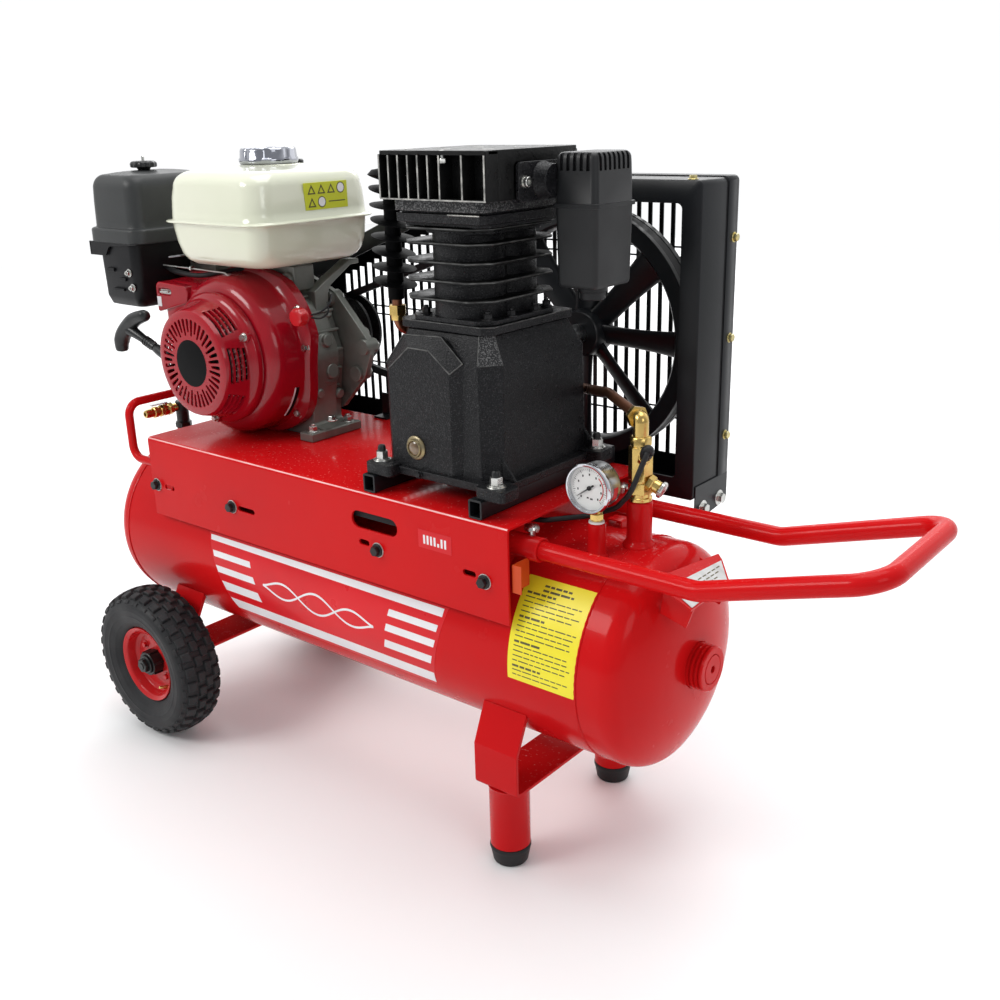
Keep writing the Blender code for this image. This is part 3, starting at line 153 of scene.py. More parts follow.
RED = (0.57, 0.006, 0.007)
MATERIALS = {
    "red": finish("red_gloss_paint", RED, 0.24, coat=0.11, specular=0.06, tone=(0.50, 0.006, 0.008),
                  tone_scale=3.0, rough_spread=0.04, bumps=((420.0, 0.05, 0.0004), (9.0, 0.02, 0.004)),
                  dust=((0.75, 0.55, 0.5), 0.35)),
    "wheel_red": finish("red_wheel_paint", (0.52, 0.008, 0.010), 0.30, coat=0.2, specular=0.2,
                        tone=(0.45, 0.010, 0.012), tone_scale=14.0, bumps=((300.0, 0.08, 0.0005),)),
    "panel": finish("bright_red_vinyl", (0.66, 0.008, 0.014), 0.32, coat=0.1, specular=0.2,
                    tone_scale=4.0),
    "white": finish("white_vinyl", (0.80, 0.79, 0.80), 0.35, tone=(0.74, 0.73, 0.75), tone_scale=12.0),
    "yellow": finish("yellow_vinyl", (0.86, 0.76, 0.02), 0.40, tone=(0.82, 0.70, 0.02), tone_scale=10.0),
    "lime": finish("lime_vinyl", (0.60, 0.62, 0.03), 0.40, tone=(0.55, 0.58, 0.03), tone_scale=10.0),
    "print": finish("grey_print", (0.10, 0.09, 0.03), 0.5, tone_scale=40.0),
    "pale_print": finish("pale_print", (0.80, 0.72, 0.65), 0.5, tone_scale=40.0),
    # pale pink for the strip on the deck's front edge: a painted highlight
    "highlight_edge": finish("painted_edge_highlight", (0.86, 0.52, 0.50), 0.35, tone=(0.78, 0.34, 0.33),
                        tone_scale=24.0),
    "orange": finish("orange_paint", (0.62, 0.07, 0.012), 0.35, coat=0.1, specular=0.2),
    "crimson": finish("crimson_gloss_paint", (0.34, 0.004, 0.012), 0.22, coat=0.40, specular=0.20,
                      tone=(0.27, 0.003, 0.010), tone_scale=6.0, rough_spread=0.03,
                      bumps=((300.0, 0.04, 0.0004), (18.0, 0.03, 0.002))),
    "cream": finish("cream_gloss_paint", (0.72, 0.73, 0.59), 0.18, coat=0.6, tone=(0.68, 0.70, 0.55),
                    tone_scale=5.0, rough_spread=0.03, bumps=((260.0, 0.03, 0.0004),)),
    "satin": finish("satin_black_plastic", (0.010, 0.011, 0.011), 0.34, specular=0.40,
                    tone=(0.007, 0.008, 0.008), tone_scale=8.0, bumps=((900.0, 0.10, 0.0003),)),
    "filter": finish("grained_black_plastic", (0.012, 0.013, 0.014), 0.42, specular=0.35,
                     tone=(0.009, 0.009, 0.010), bumps=((1400.0, 0.22, 0.0003),)),
    "lid": finish("grained_grey_plastic", (0.030, 0.032, 0.032), 0.44, specular=0.40,
                  tone=(0.024, 0.026, 0.026), tone_scale=16.0, bumps=((520.0, 0.25, 0.0005),)),
    "housing": finish("grained_dark_plastic", (0.006, 0.006, 0.007), 0.40, specular=0.22,
                      tone=(0.004, 0.004, 0.005), tone_scale=16.0, bumps=((520.0, 0.25, 0.0005),)),
    "guard": finish("black_powder_coat", (0.009, 0.010, 0.012), 0.34, specular=0.30,
                    tone=(0.006, 0.007, 0.008), tone_scale=4.0, bumps=((700.0, 0.12, 0.0004),)),
    "cast": finish("painted_casting", (0.006, 0.006, 0.007), 0.34, specular=0.22,
                   tone=(0.004, 0.004, 0.005), tone_scale=9.0, specks=(0.035, 0.035, 0.037),
                   speck_scale=640.0, speck_cut=(0.56, 0.66), rough_spread=0.10, rough_scale=160.0,
                   bumps=((520.0, 0.85, 0.0011), (60.0, 0.12, 0.002))),
    # speckled grey: the head's gasket plate, and a painted highlight on the case's front chamfer
    "sanded_and_highlight": finish("sanded_casting_and_painted_highlight", (0.020, 0.020, 0.021), 0.38, specular=0.3,
                     tone=(0.010, 0.010, 0.011), tone_scale=30.0, specks=(0.13, 0.13, 0.13),
                     speck_scale=560.0, speck_cut=(0.50, 0.60), bumps=((420.0, 0.8, 0.0010),)),
    "fins": finish("black_fin_casting", (0.006, 0.006, 0.006), 0.34, specular=0.20,
                   tone=(0.003, 0.003, 0.003), tone_scale=14.0, rough_spread=0.10, rough_scale=90.0,
                   bumps=((260.0, 0.30, 0.0008),)),
    "cooler": finish("black_cooler_fins", (0.004, 0.004, 0.0045), 0.55, specular=0.05,
                     tone=(0.002, 0.002, 0.002), tone_scale=14.0, bumps=((260.0, 0.30, 0.0008),)),
    # mid grey on fin rims and case edges: partly worn bare edge, partly painted highlight
    "rim_rub_highlight": finish("rubbed_fin_rim_and_highlight", (0.12, 0.12, 0.115), 0.40, metal=0.4, tone=(0.03, 0.03, 0.03),
                      tone_scale=70.0, rough_spread=0.12, bumps=((500.0, 0.3, 0.0005),)),
    # pale grey on the head's fin edges, ledge and bolt seats: partly worn bare metal, partly painted
    # highlight
    "bare_edge_highlight": finish("rubbed_fin_edge_and_highlight", (0.50, 0.49, 0.46), 0.42, metal=0.5, tone=(0.20, 0.20, 0.19),
                        tone_scale=90.0, rough_spread=0.15, bumps=((500.0, 0.3, 0.0005),)),
    "aluminium": finish("cast_aluminium", (0.25, 0.26, 0.235), 0.40, metal=0.60,
                        tone=(0.16, 0.168, 0.150), tone_scale=14.0, rough_spread=0.10, rough_scale=60.0,
                        bumps=((700.0, 0.25, 0.0006), (45.0, 0.10, 0.002))),
    "steel": finish("ground_steel", (0.52, 0.53, 0.54), 0.28, metal=1.0, tone=(0.42, 0.43, 0.44),
                    tone_scale=50.0, bumps=((900.0, 0.06, 0.0003),)),
    "zinc": finish("zinc_plate", (0.62, 0.62, 0.60), 0.27, metal=1.0, tone=(0.50, 0.50, 0.47),
                   tone_scale=80.0, rough_spread=0.08, bumps=((600.0, 0.10, 0.0003),)),
    "gold_zinc": finish("yellow_zinc_plate", (0.66, 0.54, 0.20), 0.28, metal=1.0, tone=(0.55, 0.50, 0.30),
                        tone_scale=160.0, bumps=((600.0, 0.10, 0.0003),)),
    "dark_bolt": finish("blackened_bolt", (0.035, 0.034, 0.035), 0.38, metal=0.7,
                        tone=(0.020, 0.020, 0.020), tone_scale=120.0, bumps=((500.0, 0.2, 0.0004),)),
    "chrome": finish("chrome_plate", (0.66, 0.67, 0.70), 0.08, metal=1.0, tone=(0.60, 0.61, 0.64),
                     rough_spread=0.03),
    "cap_chrome": finish("dark_chrome_plate", (0.44, 0.45, 0.49), 0.12, metal=1.0,
                         tone=(0.34, 0.35, 0.39), rough_spread=0.04),
    "brass": finish("machined_brass", (0.70, 0.50, 0.17), 0.24, metal=1.0, tone=(0.58, 0.40, 0.13),
                    tone_scale=60.0, rough_spread=0.08, bumps=((700.0, 0.10, 0.0003),)),
    "brass_dull": finish("aged_brass", (0.34, 0.27, 0.14), 0.34, metal=0.9, tone=(0.20, 0.17, 0.11),
                         tone_scale=90.0, rough_spread=0.08, bumps=((500.0, 0.12, 0.0003),)),
    "copper": finish("brown_copper", (0.26, 0.105, 0.055), 0.36, metal=0.85, tone=(0.14, 0.060, 0.035),
                     tone_scale=35.0, rough_spread=0.10, bumps=((300.0, 0.10, 0.0004),)),
    "rubber": finish("black_rubber", (0.011, 0.011, 0.012), 0.55, specular=0.35,
                     tone=(0.007, 0.007, 0.008), tone_scale=20.0, bumps=((800.0, 0.15, 0.0004),)),
    "rope": finish("braided_rope", (0.10, 0.10, 0.095), 0.75, tone=(0.05, 0.05, 0.048), tone_scale=300.0,
                   bumps=((700.0, 0.6, 0.0006),)),
    "tyre": finish("dusty_tyre_rubber", (0.010, 0.0105, 0.012), 0.56, specular=0.30,
                   tone=(0.020, 0.020, 0.021), tone_scale=22.0, rough_spread=0.08,
                   bumps=((650.0, 0.25, 0.0006), (90.0, 0.15, 0.001))),
    "dial": finish("dial_enamel", (0.80, 0.80, 0.78), 0.40, tone=(0.76, 0.76, 0.74)),
    "dial_print": finish("dial_print", (0.02, 0.02, 0.02), 0.5),
    "dial_red": finish("dial_red_arc", (0.60, 0.02, 0.02), 0.5),
    "badge": finish("black_badge", (0.0035, 0.0035, 0.004), 0.42, specular=0.06, tone_scale=30.0),
    "plate": finish("brushed_plate", (0.58, 0.58, 0.57), 0.34, metal=0.75, tone=(0.46, 0.46, 0.45),
                    tone_scale=60.0, stretch=(0.15, 1.0, 1.0), bumps=((400.0, 0.08, 0.0003),)),
    "sight": finish("amber_sight_glass", (0.17, 0.10, 0.045), 0.10, coat=0.8, tone=(0.10, 0.06, 0.03),
                    tone_scale=70.0),
    "dark": finish("dark_inside", (0.006, 0.006, 0.007), 0.8, tone_scale=30.0),
    "knob_red": finish("red_plastic", (0.55, 0.010, 0.015), 0.30, coat=0.3, tone=(0.48, 0.008, 0.012),
                       tone_scale=40.0),
}
glass = bpy.data.materials.new("gauge_glass")
glass.use_nodes = True
glass_shader = glass.node_tree.nodes["Principled BSDF"]
glass_shader.inputs["Base Color"].default_value = (1.0, 1.0, 1.0, 1.0)
glass_shader.inputs["Roughness"].default_value = 0.02
glass_shader.inputs["Transmission Weight"].default_value = 1.0
glass_shader.inputs["IOR"].default_value = 1.05
MATERIALS["glass"] = glass


# ---------------------------------------------------------------- shapes

def filleted(corners, radius, steps=4, closed=True):
    """Replaces each corner by an arc; radius is one number or one for each corner."""
    result = []
    count = len(corners)
    for index, corner in enumerate(corners):
        corner = Vector(corner)
        size = radius[index] if isinstance(radius, (list, tuple)) else radius
        if size == 0 or (not closed and index in (0, count - 1)):
            result.append(corner)
            continue
        before = Vector(corners[index - 1]) - corner
        after = Vector(corners[(index + 1) % count]) - corner
        half = before.angle(after) / 2
        if half > math.pi / 2 - 0.02:
            result.append(corner)
            continue
        reach = min(size / math.tan(half), 0.49 * before.length, 0.49 * after.length)
        bisector = (before.normalized() + after.normalized()).normalized()
        centre = corner + bisector * (reach / math.cos(half))
        start = corner + before.normalized() * reach - centre
        end = corner + after.normalized() * reach - centre
        first, last = start.normalized(), end.normalized()
        result += [centre + first.slerp(last, step / steps) * start.length for step in range(steps + 1)]
    return result


def arc(centre, radius, start, end, steps):
    """Points on a circle from one angle to another, in degrees."""
    angles = [math.radians(start + (end - start) * i / steps) for i in range(steps + 1)]
    return [(centre[0] + radius * math.cos(a), centre[1] + radius * math.sin(a)) for a in angles]


def circle(radius, height, count):
    """A ring of points around Z at a height."""
    turns = [2 * math.pi * i / count for i in range(count)]
    return [(radius * math.cos(turn), radius * math.sin(turn), height) for turn in turns]


def fluted(radius, depth, flutes, count):
    """Points around a knob, drawn in by depth at each flute."""
    points = []
    for i in range(count):
        turn = 2 * math.pi * i / count
        reach = radius * (1 - depth * (1 + math.cos(flutes * 2 * math.pi * i / count)) / 2)
        points.append((reach * math.cos(turn), reach * math.sin(turn)))
    return points


def box_ring(half_x, half_y, z, radius, centre=(0, 0), steps=6):
    """A rounded rectangle at height z, as a ring of points."""
    corners = [(-half_x, -half_y), (half_x, -half_y), (half_x, half_y), (-half_x, half_y)]
    return [(centre[0] + p.x, centre[1] + p.y, z) for p in filleted(corners, radius, steps)]


def aimed(axis):
    """A turn that takes +Z to an axis."""
    return Vector(axis).to_track_quat("Z", "Y").to_matrix().to_4x4()


FACING = {
    "X": Matrix(((0, 0, 1), (1, 0, 0), (0, 1, 0))).to_4x4(),
    "Y": Matrix((RIGHT, (0, 0, -1), BACK)).to_4x4(),
    "Z": Matrix.Identity(4),
}


class Shape:
    """Closed shapes gathered in one mesh."""

    def __init__(self):
        self.bm = bmesh.new()

    def skin(self, rings, turn=None, loop=False):
        """Skins between rings of equal length; a ring of one point closes to it."""
        rows = [[self.bm.verts.new(turn @ Vector(p) if turn else Vector(p)) for p in ring]
                for ring in rings]
        pairs = list(zip(rows, rows[1:] + rows[:1] if loop else rows[1:]))
        for row, above in pairs:
            count = max(len(row), len(above))
            for i in range(count):
                j = (i + 1) % count
                if len(row) == 1:
                    self.bm.faces.new((row[0], above[j], above[i]))
                elif len(above) == 1:
                    self.bm.faces.new((row[i], row[j], above[0]))
                else:
                    self.bm.faces.new((row[i], row[j], above[j], above[i]))
        if not loop:
            for row in (rows[0], rows[-1]):
                if len(row) > 2:
                    self.bm.faces.new(row)
        return self

    def lathe(self, profile, at=(0, 0, 0), axis=UP, sides=48):
        """Turns (radius, height) points about an axis; a profile clear of the axis is a closed ring."""
        turn = Matrix.Translation(at) @ aimed(axis)
        rings = []
        for radius, height in profile:
            if radius < 1e-6:
                rings.append([(0, 0, height)])
            else:
                rings.append(circle(radius, height, sides))
        ring = profile[0][0] > 0 and profile[-1][0] > 0
        return self.skin(rings, turn, loop=ring)

    def rod(self, start, end, radius, end_radius=None, sides=20, bevel=0.0):
        """A round bar between two points, tapered or with bevelled ends when asked."""
        start, end = Vector(start), Vector(end)
        length = (end - start).length
        last = radius if end_radius is None else end_radius
        profile = [(0, 0), (radius, 0), (last, length), (0, length)]
        if bevel:
            profile = [(0, 0), (radius - bevel, 0), (radius, bevel), (last, length - bevel),
                       (last - bevel, length), (0, length)]
        return self.lathe(profile, start, end - start, sides)

    def box(self, low, high):
        """A box between its lowest and highest corners."""
        (x0, y0, z0), (x1, y1, z1) = low, high
        return self.skin([[(x0, y0, z0), (x1, y0, z0), (x1, y1, z0), (x0, y1, z0)],
                          [(x0, y0, z1), (x1, y0, z1), (x1, y1, z1), (x0, y1, z1)]])

    def slab(self, outline, span, facing="Y"):
        """A flat outline without holes, made as thick as span."""
        matrix = FACING[facing]
        offset = {"X": (1, 0, 0), "Y": (0, 1, 0), "Z": (0, 0, 1)}[facing]
        rings = []
        for value in span:
            place = Matrix.Translation(Vector(offset) * value) @ matrix
            rings.append([place @ Vector(p).to_3d() for p in outline])
        return self.skin(rings)

    def pierced(self, outlines, span, facing="Y"):
        """A flat outline with holes (the outlines after the first), as thick as span."""
        curve = bpy.data.curves.new("pierced", "CURVE")
        curve.dimensions = "2D"
        curve.fill_mode = "BOTH"
        curve.extrude = abs(span[1] - span[0]) / 2
        for path in outlines:
            spline = curve.splines.new("POLY")
            spline.points.add(len(path) - 1)
            for point, spot in zip(spline.points, path):
                point.co = (*Vector(spot).to_3d(), 1.0)
            spline.use_cyclic_u = True
        item = bpy.data.objects.new("pierced", curve)
        bpy.context.scene.collection.objects.link(item)
        bpy.context.view_layer.update()
        mesh = bpy.data.meshes.new_from_object(item.evaluated_get(bpy.context.evaluated_depsgraph_get()))
        bpy.data.objects.remove(item)
        bpy.data.curves.remove(curve)
        middle = (span[0] + span[1]) / 2
        offset = {"X": (middle, 0, 0), "Y": (0, middle, 0), "Z": (0, 0, middle)}[facing]
        mesh.transform(Matrix.Translation(offset) @ FACING[facing])
        self.bm.from_mesh(mesh)
        bpy.data.meshes.remove(mesh)
        bmesh.ops.remove_doubles(self.bm, verts=self.bm.verts, dist=0.000005)
        return self

    def sweep(self, path, radius, sides=14, loop=False, flat=1.0):
        """A tube along a path; radius is one number or one for each point."""
        path = [Vector(p) for p in path]
        count = len(path)
        tangents = []
        for i in range(count):
            before = path[i - 1] if i or loop else path[0]
            after = path[(i + 1) % count] if i < count - 1 or loop else path[-1]
            tangents.append((after - before).normalized())
        side = tangents[0].orthogonal().normalized()
        rings = []
        for i, (point, tangent) in enumerate(zip(path, tangents)):
            side = (side - tangent * side.dot(tangent)).normalized()
            up = tangent.cross(side)
            size = radius[i] if isinstance(radius, (list, tuple)) else radius
            rings.append([point + (side * math.cos(a) + up * math.sin(a) * flat) * size
                          for a in (2 * math.pi * k / sides for k in range(sides))])
        return self.skin(rings, loop=loop)

    def hexagon(self, at, axis, flats, height, turn=0.0, dome=0.0008):
        """A hexagon head or nut standing on a point, its top edge rounded off."""
        matrix = Matrix.Translation(at) @ aimed(axis) @ Matrix.Rotation(turn, 4, "Z")
        reach = flats / math.sqrt(3)
        rings = []
        for scale, level in ((1.0, 0.0), (1.0, height - dome), (0.90, height)):
            rings.append([(reach * scale * math.cos(math.radians(60 * k)),
                           reach * scale * math.sin(math.radians(60 * k)), level) for k in range(6)])
        return self.skin(rings, matrix)

    def washer(self, at, axis, radius, height=0.0015):
        """A flat ring of metal under a bolt, its upper edge eased."""
        return self.lathe([(0, 0), (radius, 0), (radius, height * 0.7), (radius - 0.0004, height),
                           (0, height)], at, axis, 24)

    def bolt(self, at, axis, flats, height, washer=0.0, turn=0.3, stud=0.0):
        """A bolt head or nut with its washer, and the stud's end when it has one."""
        axis = Vector(axis).normalized()
        spot = Vector(at)
        if washer:
            self.washer(spot, axis, washer)
            spot = spot + axis * 0.0014
        self.hexagon(spot, axis, flats, height, turn)
        if stud:
            top = spot + axis * (height - 0.0005)
            self.rod(top, top + axis * stud, flats * 0.29, sides=14, bevel=0.0006)
        return self


def piece(name, shape, material, body, replaces=(), bevel=0.0, segments=2, angle=35.0, smooth=True):
    """Makes a shape into one object of the model."""
    bm = shape.bm
    bmesh.ops.recalc_face_normals(bm, faces=bm.faces)
    mesh = bpy.data.meshes.new(name)
    bm.to_mesh(mesh)
    bm.free()
    mesh.transform(Matrix.Translation(ORIGIN))
    if smooth:
        mesh.shade_smooth()
        mesh.set_sharp_from_angle(angle=math.radians(angle))
    item = bpy.data.objects.new(name, mesh)
    bpy.context.scene.collection.objects.link(item)
    mesh.materials.append(MATERIALS[material])
    if bevel:
        modifier = item.modifiers.new("edges", "BEVEL")
        modifier.width = bevel
        modifier.segments = segments
        modifier.limit_method = "ANGLE"
        modifier.angle_limit = math.radians(angle)
        modifier.harden_normals = smooth
    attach(item, body)
    if replaces:
        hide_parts(*replaces)
    return item


def cut(item, shape):
    """Takes a shape away from a piece, before its bevel."""
    bm = shape.bm
    bmesh.ops.recalc_face_normals(bm, faces=bm.faces)
    mesh = bpy.data.meshes.new(item.name + "_cut")
    bm.to_mesh(mesh)
    bm.free()
    mesh.transform(Matrix.Translation(ORIGIN))
    tool = bpy.data.objects.new(item.name + "_cut", mesh)
    bpy.context.scene.collection.objects.link(tool)
    modifier = item.modifiers.new("cut", "BOOLEAN")
    modifier.operation = "DIFFERENCE"
    modifier.object = tool
    while item.modifiers[0] != modifier:
        item.modifiers.move(len(item.modifiers) - 1, 0)
    bpy.context.view_layer.update()
    graph = bpy.context.evaluated_depsgraph_get()
    kept = [m for m in item.modifiers if m != modifier]
    shown = [(m, m.show_viewport) for m in kept]
    for m in kept:
        m.show_viewport = False
    graph.update()
    done = bpy.data.meshes.new_from_object(item.evaluated_get(graph))
    item.modifiers.remove(modifier)
    for m, state in shown:
        m.show_viewport = state
    done.name = item.data.name
    item.data = done
    bpy.data.objects.remove(tool)
    done.shade_smooth()
    done.set_sharp_from_angle(angle=math.radians(35))
    return item


def span(node):
    """A frame node's lowest and highest corners, about the tank's axis."""
    low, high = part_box(node)
    return low - ORIGIN, high - ORIGIN


# ---------------------------------------------------------------- tank

tank_low, tank_high = span("tank_shell")
TANK_RADIUS = (tank_high.y - tank_low.y) / 2
TANK_Z = tank_low.z + TANK_RADIUS
TANK_LEFT = tank_low.x
PORT_FACE_X = tank_high.x
TANK_RIGHT = PORT_FACE_X - 0.012
CROWN_RADIUS = 0.270
KNUCKLE_RADIUS = 0.035
PORT_RADIUS = 0.020
SEAM_X = (-0.476, 0.478)


DISH_STEPS = 14


def head_profile(apex, sign, inner_radius=0.0):
    """Half of a dished end, from the axis or the port out to the cylinder wall."""
    knuckle_r = TANK_RADIUS - KNUCKLE_RADIUS
    turn = math.asin(knuckle_r / (CROWN_RADIUS - KNUCKLE_RADIUS))
    crown_x = apex - sign * CROWN_RADIUS
    knuckle_x = crown_x + sign * (CROWN_RADIUS - KNUCKLE_RADIUS) * math.cos(turn)
    first = math.asin(inner_radius / CROWN_RADIUS)
    points = []
    for step in range(DISH_STEPS):
        angle = first + (turn - first) * step / DISH_STEPS
        points.append((CROWN_RADIUS * math.sin(angle), crown_x + sign * CROWN_RADIUS * math.cos(angle)))
    for step in range(DISH_STEPS + 1):
        angle = turn + (math.pi / 2 - turn) * step / DISH_STEPS
        points.append((knuckle_r + KNUCKLE_RADIUS * math.sin(angle),
                       knuckle_x + sign * KNUCKLE_RADIUS * math.cos(angle)))
    return points


def weld_ring(shape, centre, axis, radius, size, count):
    """A rippled bead round a joint."""
    turn = Matrix.Translation(centre) @ aimed(axis)
    path, sizes = [], []
    for i in range(count):
        angle = 2 * math.pi * i / count
        path.append(turn @ Vector((radius * math.cos(angle), radius * math.sin(angle), 0)))
        sizes.append(size * (0.86 + 0.14 * math.cos(i * math.pi * 0.66)))
    return shape.sweep(path, sizes, sides=8, loop=True)


def on_tank(x, angle, lift=0.0):
    """A point on the tank's side: angle in degrees above the -Y direction."""
    a = math.radians(angle)
    radius = TANK_RADIUS + lift
    return Vector((x, -radius * math.cos(a), TANK_Z + radius * math.sin(a)))


def tank_patch(shape, corners, low=0.0002, high=0.0005):
    """A thin sheet on the tank between four (x, angle) corners: down one side and up the other."""
    first, second, third, fourth = [Vector(c) for c in corners]
    down = max(2, int(abs(first.y - second.y) / 1.6))

    def grid(lift):
        rows = []
        for j in range(down + 1):
            left, right = first.lerp(second, j / down), fourth.lerp(third, j / down)
            rows.append([on_tank(*left.lerp(right, i / 4), lift) for i in range(5)])
        return rows

    rings = []
    for under, over in zip(grid(low), grid(high)):
        rings.append(under + list(reversed(over)))
    return shape.skin(rings)


DISH_FLAT = 0.010


def make_tank():
    """The tank with its domes, welds and bosses, and the plugs in its end and underside."""
    boss = 0.031
    left = head_profile(TANK_LEFT, -1)
    right = []
    for radius, x in reversed(head_profile(TANK_RIGHT, 1, boss + 0.001)):
        flatter = DISH_FLAT * max(0.0, 1 - (radius / TANK_RADIUS) ** 2) ** 3.2
        right.append((radius, x - flatter))
    profile = left + [(TANK_RADIUS, SEAM_X[0] + 0.001), (TANK_RADIUS, SEAM_X[1] - 0.001)] + right
    for back, depth in ((0.0240, 0.0), (0.0198, 0.0), (0.0190, 0.0032), (0.0166, 0.0032), (0.0158, 0.0),
                        (0.0132, 0.0), (0.0124, 0.0032), (0.0100, 0.0032), (0.0092, 0.0), (0.0070, 0.0),
                        (0.0062, 0.0032), (0.0044, 0.0032), (0.0036, 0.0004), (0.0016, 0.0004)):
        profile.append((boss - depth, PORT_FACE_X - back))
    profile += [(boss - 0.0018, PORT_FACE_X), (PORT_RADIUS + 0.001, PORT_FACE_X),
                (PORT_RADIUS, PORT_FACE_X - 0.001), (PORT_RADIUS, PORT_FACE_X - 0.026),
                (0, PORT_FACE_X - 0.026)]
    shell = Shape().lathe(profile, (0, 0, TANK_Z), RIGHT, sides=144)
    piece("tank_body", shell, "red", ROOT, ["tank_shell"], angle=40)
    seams = Shape()
    for x in SEAM_X:
        weld_ring(seams, (x, 0, TANK_Z), RIGHT, TANK_RADIUS - 0.0002, 0.0020, 260)
    weld_ring(seams, (PORT_FACE_X - 0.0165 - DISH_FLAT, 0, TANK_Z), RIGHT, boss + 0.0005, 0.0022, 70)
    piece("tank_welds", seams, "red", ROOT)
    stubs = Shape()
    for x, y, top, radius in ((0.445, -0.058, 0.5045, 0.0118), (0.479, -0.010, 0.528, 0.0165),
                              (-0.455, -0.030, 0.488, 0.012)):
        skin_z = TANK_Z + math.sqrt(TANK_RADIUS ** 2 - y ** 2)
        stubs.lathe([(0, skin_z - 0.014), (radius + 0.005, skin_z - 0.014),
                     (radius + 0.005, skin_z - 0.001), (radius + 0.0035, skin_z + 0.0025),
                     (radius + 0.0008, skin_z + 0.005), (radius, skin_z + 0.008), (radius, top - 0.0015),
                     (radius - 0.0015, top), (0, top)], (x, y, 0), UP, 36)
    piece("tank_bosses", stubs, "red", ROOT)
    plug = Shape()
    corners = 48
    rings = [[(0, 0, 0)]]
    for radius, height in ((PORT_RADIUS - 0.0004, 0.0), (PORT_RADIUS - 0.0004, 0.0250),
                           (PORT_RADIUS - 0.0014, 0.0260), (0.0075, 0.0262)):
        rings.append(circle(radius, height, corners))
    for height in (0.0261, 0.0170):
        ring = []
        for i in range(corners):
            angle = 2 * math.pi * i / corners
            reach = 0.0048 / math.cos((angle % (math.pi / 3)) - math.pi / 6)
            ring.append((reach * math.cos(angle), reach * math.sin(angle), height))
        rings.append(ring)
    rings.append([(0, 0, 0.0170)])
    plug.skin(rings, Matrix.Translation((PORT_FACE_X - 0.0258, 0, TANK_Z)) @ aimed(RIGHT))
    piece("end_plug", plug, "red", ROOT, ["tank_end_plug"], bevel=0.0004)
    drain_low, drain_high = span("drain_screw")
    drain = Shape()
    middle = (drain_low + drain_high) / 2
    drain.lathe([(0, 0), (0.005, 0), (0.0065, 0.0015), (0.0065, 0.0095), (0.0115, 0.0095), (0.013, 0.0105),
                 (0.013, 0.0155), (0.0118, 0.0165), (0.007, 0.0170), (0.007, 0.023), (0, 0.023)],
                (middle.x, middle.y, drain_low.z), UP, 32)
    for k in range(12):
        a = math.radians(30 * k)
        drain.rod((middle.x + 0.0128 * math.cos(a), middle.y + 0.0128 * math.sin(a),
                   drain_low.z + 0.0102),
                  (middle.x + 0.0128 * math.cos(a), middle.y + 0.0128 * math.sin(a),
                   drain_low.z + 0.0158), 0.0011, sides=8)
    piece("drain_plug", drain, "brass", "drain", ["drain_screw"])


def label_piece(name, quads, material, low, high):
    """One label piece from quads laid on the tank."""
    shape = Shape()
    for quad in quads:
        tank_patch(shape, quad, low, high)
    piece(name, shape, material, ROOT)


def make_tank_labels():
    """The stripes and waves printed on the tank's side, and the plain yellow notice."""
    label_piece("label_ground", [((-0.2530, 20.4), (-0.2080, -31.0), (0.2235, -31.0), (0.2640, 20.4))],
                     "panel", 0.0001, 0.0003)
    stripes = [((-0.2484, 19.1), (-0.2465, 15.9), (0.2545, 14.9), (0.2566, 19.4)),
               ((-0.2165, -20.4), (-0.2095, -28.4), (0.2265, -28.4), (0.2303, -20.6))]
    for (x0, x1), (top, low), slant in (((-0.2403, -0.1485), (10.0, 6.3), 0.003),
                                        ((-0.2338, -0.1415), (0.9, -3.3), 0.004),
                                        ((-0.2245, -0.1355), (-8.8, -14.8), 0.005)):
        stripes.append(((x0, top), (x0 + slant, low), (x1 + slant, low), (x1, top)))
    for (x0, x1), (top, low), slant in (((0.1564, 0.2490), (10.1, 6.2), 0.003),
                                        ((0.1508, 0.2440), (1.4, -3.0), 0.004),
                                        ((0.1447, 0.2350), (-8.8, -14.0), 0.005)):
        stripes.append(((x0, top), (x0 - slant, low), (x1 - slant, low), (x1, top)))
    label_piece("label_stripes", stripes, "white", 0.0003, 0.0006)
    waves = []
    for line in (-1, 1):
        points = []
        for k in range(49):
            t = k / 48
            swing = math.sin(2 * math.pi * 1.5 * t + math.pi * (line + 1) / 2)
            points.append((-0.118 + 0.2420 * t,
                           -1.5 - 2.0 * t + 6.2 * swing * math.sin(math.pi * t) ** 0.4))
        for (xa, aa), (xb, ab) in zip(points, points[1:]):
            waves.append(((xa, aa + 0.65), (xa, aa - 0.65), (xb, ab - 0.65), (xb, ab + 0.65)))
    label_piece("label_waves", waves, "white", 0.0003, 0.0005)
    x0, x1, top, low = 0.371, 0.4787, 48.6, -4.5
    label_piece("notice_label", [((x0, top), (x0, low), (x1, low), (x1, top))], "yellow", 0.0001, 0.0004)
    draw = random.Random(4)
    rules = []
    angle = top - 3.2
    row = 0
    while angle > low + 3.0:
        heading = row in (0, 1) or row % 5 == 2
        left = x0 + 0.008 + (0.022 if row in (0, 1) else 0.0)
        right = left + (0.045 if heading and row > 1 else 0.048 if heading else 0.0)
        if not heading:
            right = x1 - 0.008 - draw.random() * 0.018
        tall = 1.1 if heading else 0.55
        start = left
        while start < right - 0.004:
            end = min(right, start + 0.005 + draw.random() * 0.011)
            rules.append(((start, angle), (start, angle - tall), (end, angle - tall), (end, angle)))
            start = end + 0.0018
        angle -= 2.45
        row += 1
    label_piece("notice_rules", rules, "print", 0.0004, 0.0005)


# ---------------------------------------------------------------- deck

